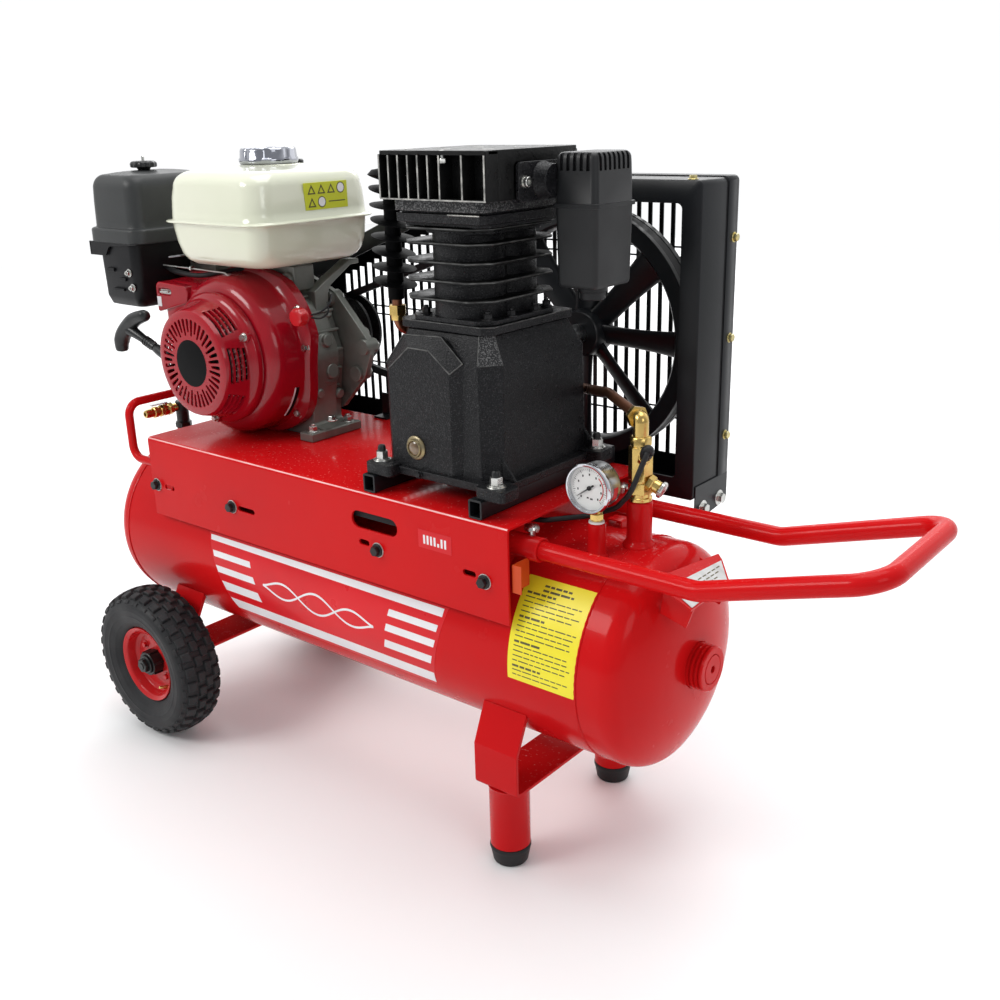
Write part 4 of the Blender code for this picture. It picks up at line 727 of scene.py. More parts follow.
deck_low, deck_high = span("deck_plate")
DECK_HALF_LENGTH = deck_high.x
DECK_HALF_WIDTH = deck_high.y
DECK_TOP = deck_high.z
DECK_SHEET = 0.004
DECK_BEND = 0.006
DECK_BOLT_X = (-0.365, -0.1705, 0.147, 0.339)
DECK_BOLT_Z = 0.431


def long_slot(x_from, x_to, z, half):
    """A slot with round ends, as an outline."""
    return (arc((x_from + half, z), half, 90, 270, 10) + arc((x_to - half, z), half, -90, 90, 10))


def make_deck():
    """The folded deck with its slots, bolts, a pale strip painted along its front top edge as a highlight,
    and its sticker.
    """
    inner = DECK_HALF_WIDTH - DECK_SHEET
    outer = [(-DECK_HALF_WIDTH, deck_low.z), (-DECK_HALF_WIDTH, DECK_TOP), (DECK_HALF_WIDTH, DECK_TOP),
             (DECK_HALF_WIDTH, deck_low.z)]
    inside = [(inner, deck_low.z), (inner, DECK_TOP - DECK_SHEET), (-inner, DECK_TOP - DECK_SHEET),
              (-inner, deck_low.z)]
    bends = [0, DECK_BEND, DECK_BEND, 0, 0, DECK_BEND - DECK_SHEET * 0.8, DECK_BEND - DECK_SHEET * 0.8, 0]
    section = [tuple(p) for p in filleted(outer + inside, bends, steps=8)]
    deck = Shape().slab(section, (-DECK_HALF_LENGTH, DECK_HALF_LENGTH), "X")
    item = piece("folded_deck", deck, "red", ROOT, ["deck_plate"], bevel=0.0007, angle=50)
    slots = Shape()
    for x_from, x_to, z, half in ((0.098, 0.186, 0.469, 0.0125), (-0.345, -0.320, DECK_BOLT_Z, 0.004),
                                  (-0.158, -0.118, DECK_BOLT_Z, 0.004), (0.110, 0.130, 0.436, 0.004),
                                  (0.302, 0.324, 0.436, 0.004)):
        slots.slab(long_slot(x_from, x_to, z, half), (-0.2, 0.2))
    cut(item, slots)
    washers, heads = Shape(), Shape()
    for index, x in enumerate(DECK_BOLT_X):
        for side in (-1, 1):
            spot = Vector((x, side * DECK_HALF_WIDTH, DECK_BOLT_Z))
            axis = Vector((0, side, 0))
            washers.washer(spot, axis, 0.0108, 0.0016)
            heads.lathe([(0, 0), (0.0098, 0), (0.0098, 0.0012), (0.0080, 0.0022), (0, 0.0022)],
                        spot + axis * 0.0016, axis, 28)
            heads.hexagon(spot + axis * 0.0034, axis, 0.0128, 0.0066, turn=0.2 + index)
    piece("deck_washers", washers, "zinc", ROOT)
    piece("deck_bolts", heads, "dark_bolt", ROOT)
    # a pale strip along the deck's front top edge: a painted highlight
    low_x, high_x = -DECK_HALF_LENGTH + 0.001, DECK_HALF_LENGTH - 0.001
    edge = Shape().sweep([(low_x, 0.00254 - DECK_HALF_WIDTH, DECK_TOP - 0.00254),
                          (high_x, 0.00254 - DECK_HALF_WIDTH, DECK_TOP - 0.00254)], 0.0015, sides=24)
    piece("deck_edge_painted_highlight", edge, "highlight_edge", ROOT, angle=60)
    shadow = Shape().box((0.085, 0.0090 - DECK_HALF_WIDTH, 0.4690),
                         (0.200, 0.0100 - DECK_HALF_WIDTH, 0.4900))
    piece("deck_slot_shade", shadow, "dark", ROOT, bevel=0.0002)
    bars = Shape()
    for k in range(7):
        x = 0.2345 + 0.0062 * k
        height = 0.0125 if k != 4 else 0.0050
        bars.slab([(x, 0.4605), (x + 0.0034, 0.4605), (x + 0.0034, 0.4605 + height), (x, 0.4605 + height)],
                  (-DECK_HALF_WIDTH - 0.0005, -DECK_HALF_WIDTH - 0.0003))
    piece("deck_sticker_bars", bars, "white", ROOT)
    sticker = Shape().box((0.2255, -DECK_HALF_WIDTH - 0.0004, 0.454),
                          (0.2844, -DECK_HALF_WIDTH - 0.0001, 0.480))
    piece("deck_sticker", sticker, "panel", ROOT, bevel=0.0001)


SADDLE_STEPS = 48


def saddle_outline():
    """The end view of a sheet that fits under the deck and over the tank."""
    half = DECK_HALF_WIDTH - DECK_SHEET - GAP
    top = DECK_TOP - DECK_SHEET - GAP
    radius = TANK_RADIUS + GAP
    side = math.degrees(math.acos((half - 0.008) / radius))
    left = [(-half + 0.004, top), (-half, top - 0.004), (-half, 0.385), (-half + 0.008, 0.375)]
    right = [(-y, z) for y, z in reversed(left)]
    return left + arc((0, TANK_Z), radius, 180 - side, side, SADDLE_STEPS) + right


handle_low, handle_high = span("handle")
HANDLE_RADIUS = 0.0125
HANDLE_Y = handle_high.y - HANDLE_RADIUS
HANDLE_Z = handle_low.z + HANDLE_RADIUS
HANDLE_END_X = handle_high.x - HANDLE_RADIUS
CROSSBAR_Z = handle_high.z - HANDLE_RADIUS
SOCKET_X = (0.205, 0.397)
SOCKET_RADIUS = 0.0162
HANDLE_PLATE_X = 0.330


def make_saddles():
    """The two plates on the tank, the handle's sockets, its clamp screws and the orange tab."""
    for name, node in (("saddle", "saddle_plate"), ("handle_mount_plate", "handle_mount")):
        x0 = span(node)[0].x if node == "saddle_plate" else HANDLE_PLATE_X
        shape = Shape().slab(saddle_outline(), (x0, x0 + 0.005), "X")
        if node == "handle_mount":
            for side in (-1, 1):
                bore = HANDLE_RADIUS + GAP
                shape.lathe([(bore, 0.0), (SOCKET_RADIUS - 0.0008, 0.0), (SOCKET_RADIUS, 0.0008),
                             (SOCKET_RADIUS, SOCKET_X[1] - SOCKET_X[0] - 0.0008),
                             (SOCKET_RADIUS - 0.0008, SOCKET_X[1] - SOCKET_X[0]),
                             (bore, SOCKET_X[1] - SOCKET_X[0])],
                            (SOCKET_X[0], side * HANDLE_Y, HANDLE_Z), RIGHT, 40)
                weld_ring(shape, (0.3355, side * HANDLE_Y, HANDLE_Z), RIGHT, SOCKET_RADIUS + 0.0006,
                          0.0022, 44)
        piece(name, shape, "red", ROOT, [node], bevel=0.0005, angle=50)
    clamp = Shape()
    for side in (-1, 1):
        spot = Vector((0.3770, side * (HANDLE_Y - 0.004), HANDLE_Z + SOCKET_RADIUS - 0.0010))
        clamp.lathe([(0, -0.002), (0.0045, -0.002), (0.0045, 0.0075), (0.0100, 0.0082), (0.0105, 0.0100),
                     (0.0092, 0.0132), (0.0040, 0.0150), (0, 0.0152)], spot, UP, 32)
        clamp.rod(spot + Vector((-0.0135, 0.004, 0.0112)), spot + Vector((0.0125, -0.004, 0.0095)),
                  0.0024, sides=14, bevel=0.0006)
    piece("handle_clamp_screws", clamp, "zinc", ROOT)
    flag = Shape()
    flag.box((0.3800, -0.1515, 0.4240), (0.3945, -0.1500, 0.4620))
    flag.box((0.3800, -0.1500, 0.4240), (0.3820, -0.1180, 0.4620))
    piece("orange_tab", flag, "orange", ROOT, bevel=0.0003)


def make_dome_plate():
    """Bracket on the right dome that carries the data plate, and the small lug on the tank's top."""
    normal = Vector((0.425, 0, 0.905)).normalized()

    def sheet(corners, low, high):
        """The two faces of a sheet on the bracket's slope."""
        return [[Vector(c) + normal * level for c in corners] for level in (low, high)]

    backing = [(0.5459, -0.0963, 0.4634), (0.5631, 0.0486, 0.4554), (0.5727, 0.0420, 0.4508),
               (0.6010, 0.0100, 0.4375), (0.6030, -0.0900, 0.4366), (0.5863, -0.0900, 0.4445)]
    bracket = Shape().skin(sheet(backing, -0.0035, -0.0005))
    for y in (-0.0700, 0.0150):
        bracket.slab([(0.5480, 0.4100), (0.5540, 0.4585), (0.5980, 0.4360), (0.5850, 0.4000)],
                     (y, y + 0.0030))
    piece("plate_bracket", bracket, "red", ROOT, bevel=0.0006)
    face = [(0.5676, -0.0475, 0.4532), (0.5727, 0.0375, 0.4508), (0.5969, 0.0092, 0.4395),
            (0.6013, -0.0860, 0.4374), (0.5863, -0.0845, 0.4445)]
    piece("data_plate", Shape().skin(sheet(face, -0.0004, 0.0003)), "plate", ROOT)
    marks = Shape()
    across, down = Vector(BACK), Vector((0.905, 0, -0.425)).normalized()
    start = Vector((0.5727, -0.0300, 0.4508))
    for row in range(4):
        for run in range(5 - row):
            spot = start + down * (0.0045 + row * 0.0055) + across * (run * 0.0115)
            marks.skin([[spot + normal * level, spot + across * 0.0080 + normal * level,
                         spot + across * 0.0080 + down * 0.0016 + normal * level,
                         spot + down * 0.0016 + normal * level] for level in (0.0003, 0.0005)])
    piece("data_plate_marks", marks, "print", ROOT)
    lug = [(0.4050 + p[0] + 0.012, 0.4690 + p[1]) for p in box_ring(0.0120, 0.0085, 0, 0.002, steps=4)]
    hole = [(0.4050 + p[0] + 0.012, 0.4700 + p[1]) for p in box_ring(0.0095, 0.0055, 0, 0.001, steps=4)]
    rings = [[(x, 0.026, z) for x, z in lug], [(x, 0.046, z) for x, z in lug],
             [(x, 0.046, z) for x, z in hole], [(x, 0.026, z) for x, z in hole]]
    piece("tank_top_lug", Shape().skin(rings, loop=True), "red", ROOT, bevel=0.0004)


def make_handle():
    """The sliding lifting handle and the fixed rail at the other end."""
    inner_x = handle_low.x
    corners = [(inner_x, -HANDLE_Y, HANDLE_Z), (0.620, -HANDLE_Y, HANDLE_Z),
               (HANDLE_END_X, -HANDLE_Y, CROSSBAR_Z), (HANDLE_END_X, HANDLE_Y, CROSSBAR_Z),
               (0.620, HANDLE_Y, HANDLE_Z), (inner_x, HANDLE_Y, HANDLE_Z)]
    path = filleted(corners, [0, 0.05, 0.038, 0.038, 0.05, 0], steps=14, closed=False)
    piece("lifting_handle_tube", Shape().sweep(path, HANDLE_RADIUS, sides=32), "red", "lifting_handle",
          ["handle"], bevel=0.0008, angle=60)
    rail_low, rail_high = span("end_rail")
    radius = 0.007
    y, x, top, low = rail_high.y - radius, rail_low.x + radius, rail_high.z - radius, rail_low.z + radius
    rail = [(rail_high.x, -y, low), (x, -y, low), (x, -y, top), (x, y, top), (x, y, low),
            (rail_high.x, y, low)]
    piece("rear_rail", Shape().sweep(filleted(rail, 0.022, steps=12, closed=False), radius, sides=24),
          "red", ROOT, ["end_rail"], bevel=0.0008, angle=60)


# ---------------------------------------------------------------- undercarriage

STRAP_SHEET = 0.005
EAR_ANGLES = (208, 211)


STRAP_BEND = 0.007


def strap_outline(half_span, floor_z, knee_z):
    """A folded strap under the tank: slanted ears, upright sides and a flat floor, with rounded folds."""
    def on_ear(angle, lift):
        """A point over the tank's skin at an angle."""
        a = math.radians(angle)
        return ((TANK_RADIUS + lift) * math.cos(a), TANK_Z + (TANK_RADIUS + lift) * math.sin(a))

    outer = [on_ear(EAR_ANGLES[0], GAP), (-half_span, knee_z), (-half_span, floor_z)]
    outer += [(-y, z) for y, z in reversed(outer)]
    inner = [on_ear(EAR_ANGLES[1], GAP), (-half_span + STRAP_SHEET, knee_z - 0.002),
             (-half_span + STRAP_SHEET, floor_z + STRAP_SHEET)]
    inner = [(-y, z) for y, z in inner] + list(reversed(inner))
    small = STRAP_BEND - STRAP_SHEET * 0.8
    bends = [0, STRAP_BEND, STRAP_BEND, STRAP_BEND, STRAP_BEND, 0, 0, small, small, small, small, 0]
    return [tuple(p) for p in filleted(outer + inner, bends, steps=6)]


def make_undercarriage():
    """The front legs with rubber feet, and the axle under its strap."""
    low, high = span("leg_frame")
    floor_z = 0.124
    foot_low, foot_high = span("foot_front")
    foot = (foot_low + foot_high) / 2
    leg_radius = (foot_high.x - foot_low.x) / 2 - 0.0008
    strap = Shape().slab(strap_outline(high.y, floor_z, 0.187), (low.x, high.x), "X")
    piece("leg_strap", strap, "red", ROOT, ["leg_frame"], bevel=0.0008, angle=40)
    legs = Shape()
    for side in (-1, 1):
        at = (foot.x, side * abs(foot.y), 0)
        legs.lathe([(0, low.z), (leg_radius - 0.001, low.z), (leg_radius, low.z + 0.001),
                    (leg_radius, floor_z - 0.004), (leg_radius + 0.0012, floor_z - 0.0022),
                    (leg_radius + 0.0022, floor_z + 0.0004), (0, floor_z + 0.0004)],
                   at, UP, 64)
    piece("leg_tubes", legs, "red", ROOT)
    for name, side in (("front", -1), ("rear", 1)):
        pad = leg_radius + 0.0008
        shape = Shape().lathe([(0, low.z - GAP), (pad - 0.001, low.z - GAP), (pad, low.z - 0.002),
                               (pad, 0.0235), (pad - 0.0006, 0.0220), (0.0278, 0.0180), (0.0250, 0.0030),
                               (0.0238, 0.0008), (0.0220, 0.0), (0.010, 0.0), (0.008, 0.003), (0, 0.003)],
                              (foot.x, side * abs(foot.y), 0), UP, 64)
        piece("rubber_foot_" + name, shape, "rubber", ROOT, ["foot_" + name])
    low, high = span("axle_frame")
    axle_x, axle_z, axle_radius = -0.358, 0.130, 0.010
    strap = Shape().slab(strap_outline(0.160, 0.139, 0.195), (low.x, high.x), "X")
    piece("axle_strap", strap, "red", ROOT, ["axle_frame"], bevel=0.0008, angle=40)
    axle = Shape().rod((axle_x, low.y, axle_z), (axle_x, high.y, axle_z), axle_radius, sides=40,
                       bevel=0.001)
    for side in (-1, 1):
        for y in (0.120, 0.150):
            weld_ring(axle, (axle_x, side * y, axle_z), BACK, axle_radius + 0.0003, 0.0018, 30)
    piece("axle", axle, "red", ROOT)
    caps = Shape()
    for side in (-1, 1):
        spot = Vector((axle_x, side * (high.y - 0.0038), axle_z))
        axis = Vector((0, side, 0))
        caps.lathe([(0, 0.0), (0.0165, 0.0), (0.0165, 0.0018), (0.0150, 0.0030), (0, 0.0030)], spot, axis,
                   32)
        caps.hexagon(spot + axis * 0.0025, axis, 0.0215, 0.0070, 0.26, dome=0.0012)
        caps.lathe([(0, 0.009), (0.0062, 0.009), (0.0056, 0.0110), (0, 0.0110)], spot, axis, 20)
    piece("axle_caps", caps, "satin", ROOT)


# ---------------------------------------------------------------- wheels

def smooth_line(points, steps=6):
    """A smooth curve through points (Catmull-Rom)."""
    points = [Vector(p) for p in points]
    result = []
    for i in range(len(points) - 1):
        p0, p1, p2 = points[max(i - 1, 0)], points[i], points[i + 1]
        p3 = points[min(i + 2, len(points) - 1)]
        for k in range(steps):
            t = k / steps
            result.append(0.5 * ((2 * p1) + (p2 - p0) * t + (2 * p0 - 5 * p1 + 4 * p2 - p3) * t * t
                                 + (3 * p1 - p0 - 3 * p2 + p3) * t ** 3))
    return result + [points[-1]]


def tread_block(shape, section, centre, sign, rows, angles, height):
    """One raised block on the tyre: section stations by angles, drawn in at the top."""
    def at(station, angle, lift):
        """A point of the section at an angle, raised by lift."""
        index = station * (len(section) - 1)
        low = int(min(index, len(section) - 2))
        point = section[low].lerp(section[low + 1], index - low)
        along = (section[low + 1] - section[low]).normalized()
        normal = Vector((along.y, -along.x))
        if normal.x < 0 and abs(normal.y) < 0.99:
            normal = -normal
        point = point + normal * lift
        return Vector((centre.x + point.x * math.cos(angle), centre.y + sign * point.y,
                       centre.z + point.x * math.sin(angle)))

    (s0, s1), (a0, a1) = rows, angles
    rings = []
    for lift, draw in ((-0.0015, -0.08), (height * 0.82, 0.05), (height, 0.13)):
        ds, da = (s1 - s0) * draw, (a1 - a0) * draw
        stations = [s0 + ds, (s0 + s1) / 2, s1 - ds]
        turns = [a0 + da, (a0 + a1) / 2, a1 - da]
        ring = [at(stations[0], t, lift) for t in turns] + [at(stations[1], turns[2], lift)]
        ring += [at(stations[2], t, lift) for t in reversed(turns)] + [at(stations[1], turns[0], lift)]
        rings.append(ring)
    return shape.skin(rings)


def make_wheel(side, sign):
    """One wheel: tyre with its tread, rim, hub, bolts and valve stem."""
    low, high = span("tyre_" + side)
    centre = (low + high) / 2
    body = side + "_wheel"
    radius = (high.x - low.x) / 2
    half = (high.y - low.y) / 2
    crown = radius - 0.0052
    key = [(0.0662, 0.0243), (0.0720, 0.0300), (0.0840, 0.0362), (0.0980, 0.0392), (0.1080, 0.0390),
           (0.1155, 0.0345), (0.1212, 0.0250), (crown - 0.0008, 0.0120), (crown, 0.0)]
    key = [(r, min(h, half)) for r, h in key]
    outer = smooth_line(key, 7)
    section = outer + [Vector((p.x, -p.y)) for p in reversed(outer[:-1])]
    ring = []
    for p in section:
        ridge = sum(0.0009 * math.exp(-((p.x - r) / 0.0010) ** 2)
                    for r in (0.0790, 0.0905, 0.1010)) if abs(p.y) > 0.03 else 0
        ring.append((p.x, p.y + math.copysign(ridge, p.y)))
    ring = [(r, max(-half, min(half, h))) for r, h in ring]
    tyre = Shape().lathe(ring, centre, (0, sign, 0), 96)
    count = 30
    step = 2 * math.pi / count
    for i in range(count):
        base = i * step
        tread_block(tyre, section, centre, sign, (0.435, 0.496), (base, base + step * 0.64), 0.0050)
        tread_block(tyre, section, centre, sign, (0.508, 0.567), (base + step * 0.5, base + step * 1.14),
                    0.0050)
        tread_block(tyre, section, centre, sign, (0.345, 0.418), (base + step * 0.5, base + step * 1.10),
                    0.0048)
        tread_block(tyre, section, centre, sign, (0.584, 0.657), (base, base + step * 0.60), 0.0048)
        tread_block(tyre, section, centre, sign, (0.292, 0.330), (base + step * 0.06, base + step * 0.58),
                    0.0024)
        tread_block(tyre, section, centre, sign, (0.672, 0.710), (base + step * 0.56, base + step * 1.08),
                    0.0024)
    piece("tyre_tread_" + side, tyre, "tyre", body, ["tyre_" + side], angle=32)
    rim = [(0.0125, 0.0060), (0.0480, 0.0060), (0.0540, 0.0100), (0.0580, 0.0240), (0.0655, 0.0280),
           (0.0657, 0.0235), (0.0657, -0.0235), (0.0655, -0.0280), (0.0580, -0.0240), (0.0520, -0.0100),
           (0.0480, -0.0020), (0.0125, -0.0020)]
    rounds = [0, 0.004, 0.004, 0.004, 0.0006, 0.0, 0.0, 0.0006, 0.003, 0.003, 0.002, 0]
    profile = [tuple(p) for p in filleted(rim, rounds, steps=5)]
    rim_shape = Shape().lathe(profile, centre, (0, sign, 0), 96)
    piece("wheel_rim_" + side, rim_shape, "wheel_red", body, ["rim_" + side], angle=40)
    out = Vector((0, sign, 0))
    hub = Shape().lathe([(0.0103, 0.0255), (0.0195, 0.0255), (0.0205, 0.0245), (0.0205, 0.0063),
                         (0.0122, 0.0063), (0.0122, -0.0023), (0.0180, -0.0023), (0.0180, -0.0240),
                         (0.0103, -0.0240)],
                        centre, out, 48)
    for k in range(6):
        a = math.radians(60 * k + 12)
        spot = centre + Vector((0.0208 * math.cos(a), sign * 0.0066, 0.0208 * math.sin(a)))
        hub.rod(spot, spot + out * 0.0160, 0.0024, 0.0018, sides=10)
    piece("wheel_hub_" + side, hub, "satin", body, ["hub_" + side])
    bolts = Shape()
    for k in range(4):
        a = math.radians(90 * k + 48)
        spot = centre + Vector((0.0345 * math.cos(a), sign * 0.0060, 0.0345 * math.sin(a)))
        bolts.bolt(spot, out, 0.0085, 0.0042, washer=0.0068, turn=a)
    piece("wheel_bolts_" + side, bolts, "wheel_red", body)
    a = math.radians(-52)
    spot = centre + Vector((0.0515 * math.cos(a), sign * 0.0085, 0.0515 * math.sin(a)))
    lean = Vector((-0.35 * math.cos(a), sign * 0.94, -0.35 * math.sin(a))).normalized()
    valve = Shape().lathe([(0, 0), (0.0042, 0), (0.0036, 0.008), (0.0026, 0.010), (0.0026, 0.017),
                           (0.0020, 0.018), (0, 0.018)], spot, lean, 18)
    piece("valve_stem_" + side, valve, "brass", body)


make_tank()
make_tank_labels()
make_deck()
make_saddles()
make_dome_plate()
make_handle()
make_undercarriage()
make_wheel("front", -1)
make_wheel("rear", 1)


# ---------------------------------------------------------------- engine

shaft_low, shaft_high = span("engine_crankshaft")
CRANK_X = (shaft_low.x + shaft_high.x) / 2
CRANK_Z = (shaft_low.z + shaft_high.z) / 2
SHAFT_RADIUS = (shaft_high.x - shaft_low.x) / 2
FAN_COVER_RADIUS = 0.128
SHROUD_CORNER = (0.150, 0.112)
fuel_low, fuel_high = span("fuel_tank")


def engine_point(dx, dz):
    """X and Z of a point given from the crankshaft."""
    return (CRANK_X + dx, CRANK_Z + dz)


def polar(radius, angle, y):
    """A point around the crankshaft's axis."""
    a = math.radians(angle)
    return Vector((CRANK_X + radius * math.cos(a), y, CRANK_Z + radius * math.sin(a)))


def make_crankcase():
    """The engine's case with its bosses, stay, feet and side cover."""
    base = DECK_TOP + GAP
    body = [engine_point(-0.135, 0.050), engine_point(-0.075, 0.108), engine_point(0.030, 0.115),
            engine_point(0.105, 0.080), engine_point(0.135, 0.0), engine_point(0.120, -0.080),
            (CRANK_X + 0.118, base + 0.018), (CRANK_X + 0.144, base + 0.014), (CRANK_X + 0.144, base),
            (CRANK_X - 0.100, base), (CRANK_X - 0.100, base + 0.014), engine_point(-0.085, -0.080),
            engine_point(-0.1498, -0.035)]
    rounds = [0.008, 0.03, 0.03, 0.03, 0.03, 0.02, 0.006, 0.003, 0, 0, 0.003, 0.02, 0.008]
    outline = [tuple(p) for p in filleted(body, rounds, steps=6)]
    case = Shape().slab(outline, (0.0003, 0.0500))
    small = [(CRANK_X + (x - CRANK_X) * 0.93, base + (z - base) * 0.97) for x, z in outline]
    case.slab(small, (0.0490, 0.0690))
    for x, front in ((CRANK_X - 0.099, 0.0003), (CRANK_X + 0.1135, -0.028)):
        case.box((x, front, base), (x + 0.030, 0.0800, base + 0.0135))
    for k in range(9):
        angle = -68 + 14 * k
        foot, tip = polar(0.100, angle, 0), polar(0.1330 if k % 2 else 0.1300, angle, 0)
        across = Vector((-math.sin(math.radians(angle)), 0, math.cos(math.radians(angle)))) * 0.0022
        case.slab([(foot - across).xz, (tip - across).xz, (tip + across).xz, (foot + across).xz],
                  (0.006, 0.0620))
    piece("engine_case", case, "aluminium", ROOT, ["engine_crankcase"], bevel=0.0016,
          segments=3, angle=30)
    details = Shape()
    x = CRANK_X
    details.lathe([(0, 0), (0.022, 0), (0.022, 0.006), (0.019, 0.008), (0.012, 0.008), (0.012, 0.016),
                   (0, 0.016)],
                  (x + 0.118, 0.036, CRANK_Z - 0.030), (0.96, 0, 0.12), 32)
    details.lathe([(0, 0), (0.016, 0), (0.016, 0.005), (0.010, 0.007), (0.010, 0.012), (0, 0.012)],
                  (x + 0.122, 0.030, CRANK_Z + 0.020), (0.98, 0, 0.2), 28)
    for dx, y, dz in ((0.098, 0.020, 0.078), (0.110, 0.052, 0.060), (0.124, 0.012, -0.062),
                      (0.122, 0.056, -0.070)):
        details.lathe([(0, -0.004), (0.009, -0.004), (0.0075, 0.004), (0, 0.004)],
                      (x + dx, y, CRANK_Z + dz), (0.8, 0, 0.6 if dz > 0 else -0.1), 20)
    details.box((x + 0.036, 0.004, CRANK_Z + 0.100), (x + 0.094, 0.046, 0.7815))
    details.lathe([(0, 0), (0.013, 0), (0.011, 0.006), (0, 0.006)], (x + 0.080, 0.004, CRANK_Z + 0.118),
                  FRONT, 24)
    piece("engine_bosses", details, "aluminium", ROOT, bevel=0.0020, segments=3,
          angle=40)
    stay = [(0.030, 0.700), (0.055, 0.700), (0.060, 0.7435), (0.112, 0.774), (0.130, 0.774),
            (0.130, 0.7822), (0.108, 0.7822), (0.050, 0.752), (0.030, 0.740)]
    arm = [tuple(p) for p in filleted(stay, [0, 0, 0.02, 0.01, 0, 0, 0.01, 0.02, 0], steps=5)]
    piece("engine_stay", Shape().slab(arm, (x + 0.090, x + 0.110), "X"), "aluminium", ROOT,
          bevel=0.0015, segments=3)
    bolts = Shape()
    for bx, front in ((x - 0.084, 0.016), (x + 0.1285, -0.012), (x + 0.1285, 0.064), (x - 0.084, 0.064)):
        bolts.bolt((bx, front, base + 0.0135), UP, 0.0125, 0.0075, washer=0.0105, stud=0.004)
    bolts.bolt((x + 0.150, 0.010, CRANK_Z - 0.1015), UP, 0.0105, 0.006, washer=0.009)
    piece("engine_foot_bolts", bolts, "zinc", ROOT)
    small_bolts = Shape()
    for angle in (-52, -25, 5, 35, 62, 100, 130, 205, 232):
        small_bolts.bolt(polar(0.1180, angle, 0.0690 + 0.0300), BACK, 0.0088, 0.0050, washer=0.0070,
                         turn=angle)
    cover = [engine_point(-0.140, 0.045), engine_point(-0.070, 0.110), engine_point(0.040, 0.120),
             engine_point(0.112, 0.092), engine_point(0.190, 0.010), engine_point(0.170, -0.040),
             engine_point(0.110, -0.100), engine_point(-0.070, -0.100), engine_point(-0.120, -0.050)]
    rim = [tuple(p) for p in filleted(cover, 0.03, steps=6)]
    side = Shape().slab(rim, (0.0703, 0.0800))
    inner = [(CRANK_X + (px - CRANK_X) * 0.90, CRANK_Z + (pz - CRANK_Z) * 0.90) for px, pz in rim]
    side.slab(inner, (0.0795, 0.0990))
    bore = SHAFT_RADIUS + GAP
    side.lathe([(bore, 0.085), (0.036, 0.085), (0.036, 0.0985), (0.034, 0.1010), (0.029, 0.1170),
                (0.0275, 0.1180), (bore, 0.1180)], (CRANK_X, 0, CRANK_Z), BACK, 56)
    side.lathe([(0.0860, 0.0960), (0.0990, 0.0960), (0.0990, 0.1040), (0.0970, 0.1060), (0.0880, 0.1060),
                (0.0860, 0.1040)],
               (CRANK_X, 0, CRANK_Z), BACK, 72)
    for dx, dz, height in ((0.120, -0.020, 0.030), (0.135, 0.022, 0.022)):
        side.lathe([(0, 0.090), (0.016, 0.090), (0.014, 0.090 + height * 0.6),
                    (0.009, 0.090 + height * 0.7), (0.009, 0.090 + height), (0, 0.090 + height)],
                   (CRANK_X + dx, 0, CRANK_Z + dz), BACK, 28)
    for corner in cover:
        spot = Vector(corner)
        to_middle = (Vector((CRANK_X, CRANK_Z)) - spot).normalized() * 0.0170
        ear = spot + to_middle
        side.lathe([(0, 0.0640), (0.0125, 0.0640), (0.0125, 0.0900), (0.0110, 0.0915), (0, 0.0915)],
                   (ear.x, 0, ear.y), BACK, 28)
        small_bolts.bolt((ear.x, 0.0915, ear.y), BACK, 0.0100, 0.0058, washer=0.0085, turn=spot.x * 90)
    for k in range(8):
        angle = 22.5 + 45 * k
        foot, tip = polar(0.032, angle, 0), polar(0.094, angle, 0)
        across = Vector((-math.sin(math.radians(angle)), 0, math.cos(math.radians(angle)))) * 0.0025
        side.slab([(foot - across).xz, (tip - across).xz, (tip + across).xz, (foot + across).xz],
                  (0.0985, 0.1060))
    item = piece("side_cover", side, "aluminium", ROOT, ["engine_side_cover"],
                 bevel=0.0015, segments=3, angle=35)
    piece("side_cover_bolts", small_bolts, "zinc", ROOT)
    return item


def make_cylinder():
    """The engine's inclined cylinder with its fins."""
    tilt = math.radians(10)
    along = Vector((-math.cos(tilt), 0, math.sin(tilt)))
    turn = along.to_track_quat("Z", "Y").to_matrix().to_4x4()
    start = Vector((CRANK_X - 0.1424, 0.0465, CRANK_Z + 0.0075)) + along * 0.0006
    place = Matrix.Translation(start) @ turn
    barrel = Shape()
    barrel.skin([box_ring(0.030, 0.0285, h, 0.010) for h in (0.0, 0.0600)], place)
    height = 0.0055
    for _ in range(7):
        rings = [box_ring(half, half * 0.95, height + dz, 0.010, steps=6)
                 for half, dz in ((0.0285, 0.0), (0.0452, 0.0003), (0.0460, 0.0010), (0.0452, 0.0017),
                                  (0.0285, 0.0022))]
        barrel.skin(rings, place)
        height += 0.0083
    barrel.skin([box_ring(half, half * 0.95, h, 0.008) for half, h in
                 ((0.0360, 0.0598), (0.0360, 0.0790), (0.0345, 0.0817))], place)
    for sx in (-1, 1):
        for sy in (-1, 1):
            barrel.bolt(place @ Vector((sx * 0.027, sy * 0.025, 0.0790)), along, 0.0088, 0.0025)
    piece("finned_cylinder", barrel, "aluminium", ROOT, ["engine_cylinder"], angle=40)


SHROUD_POINTS = 120


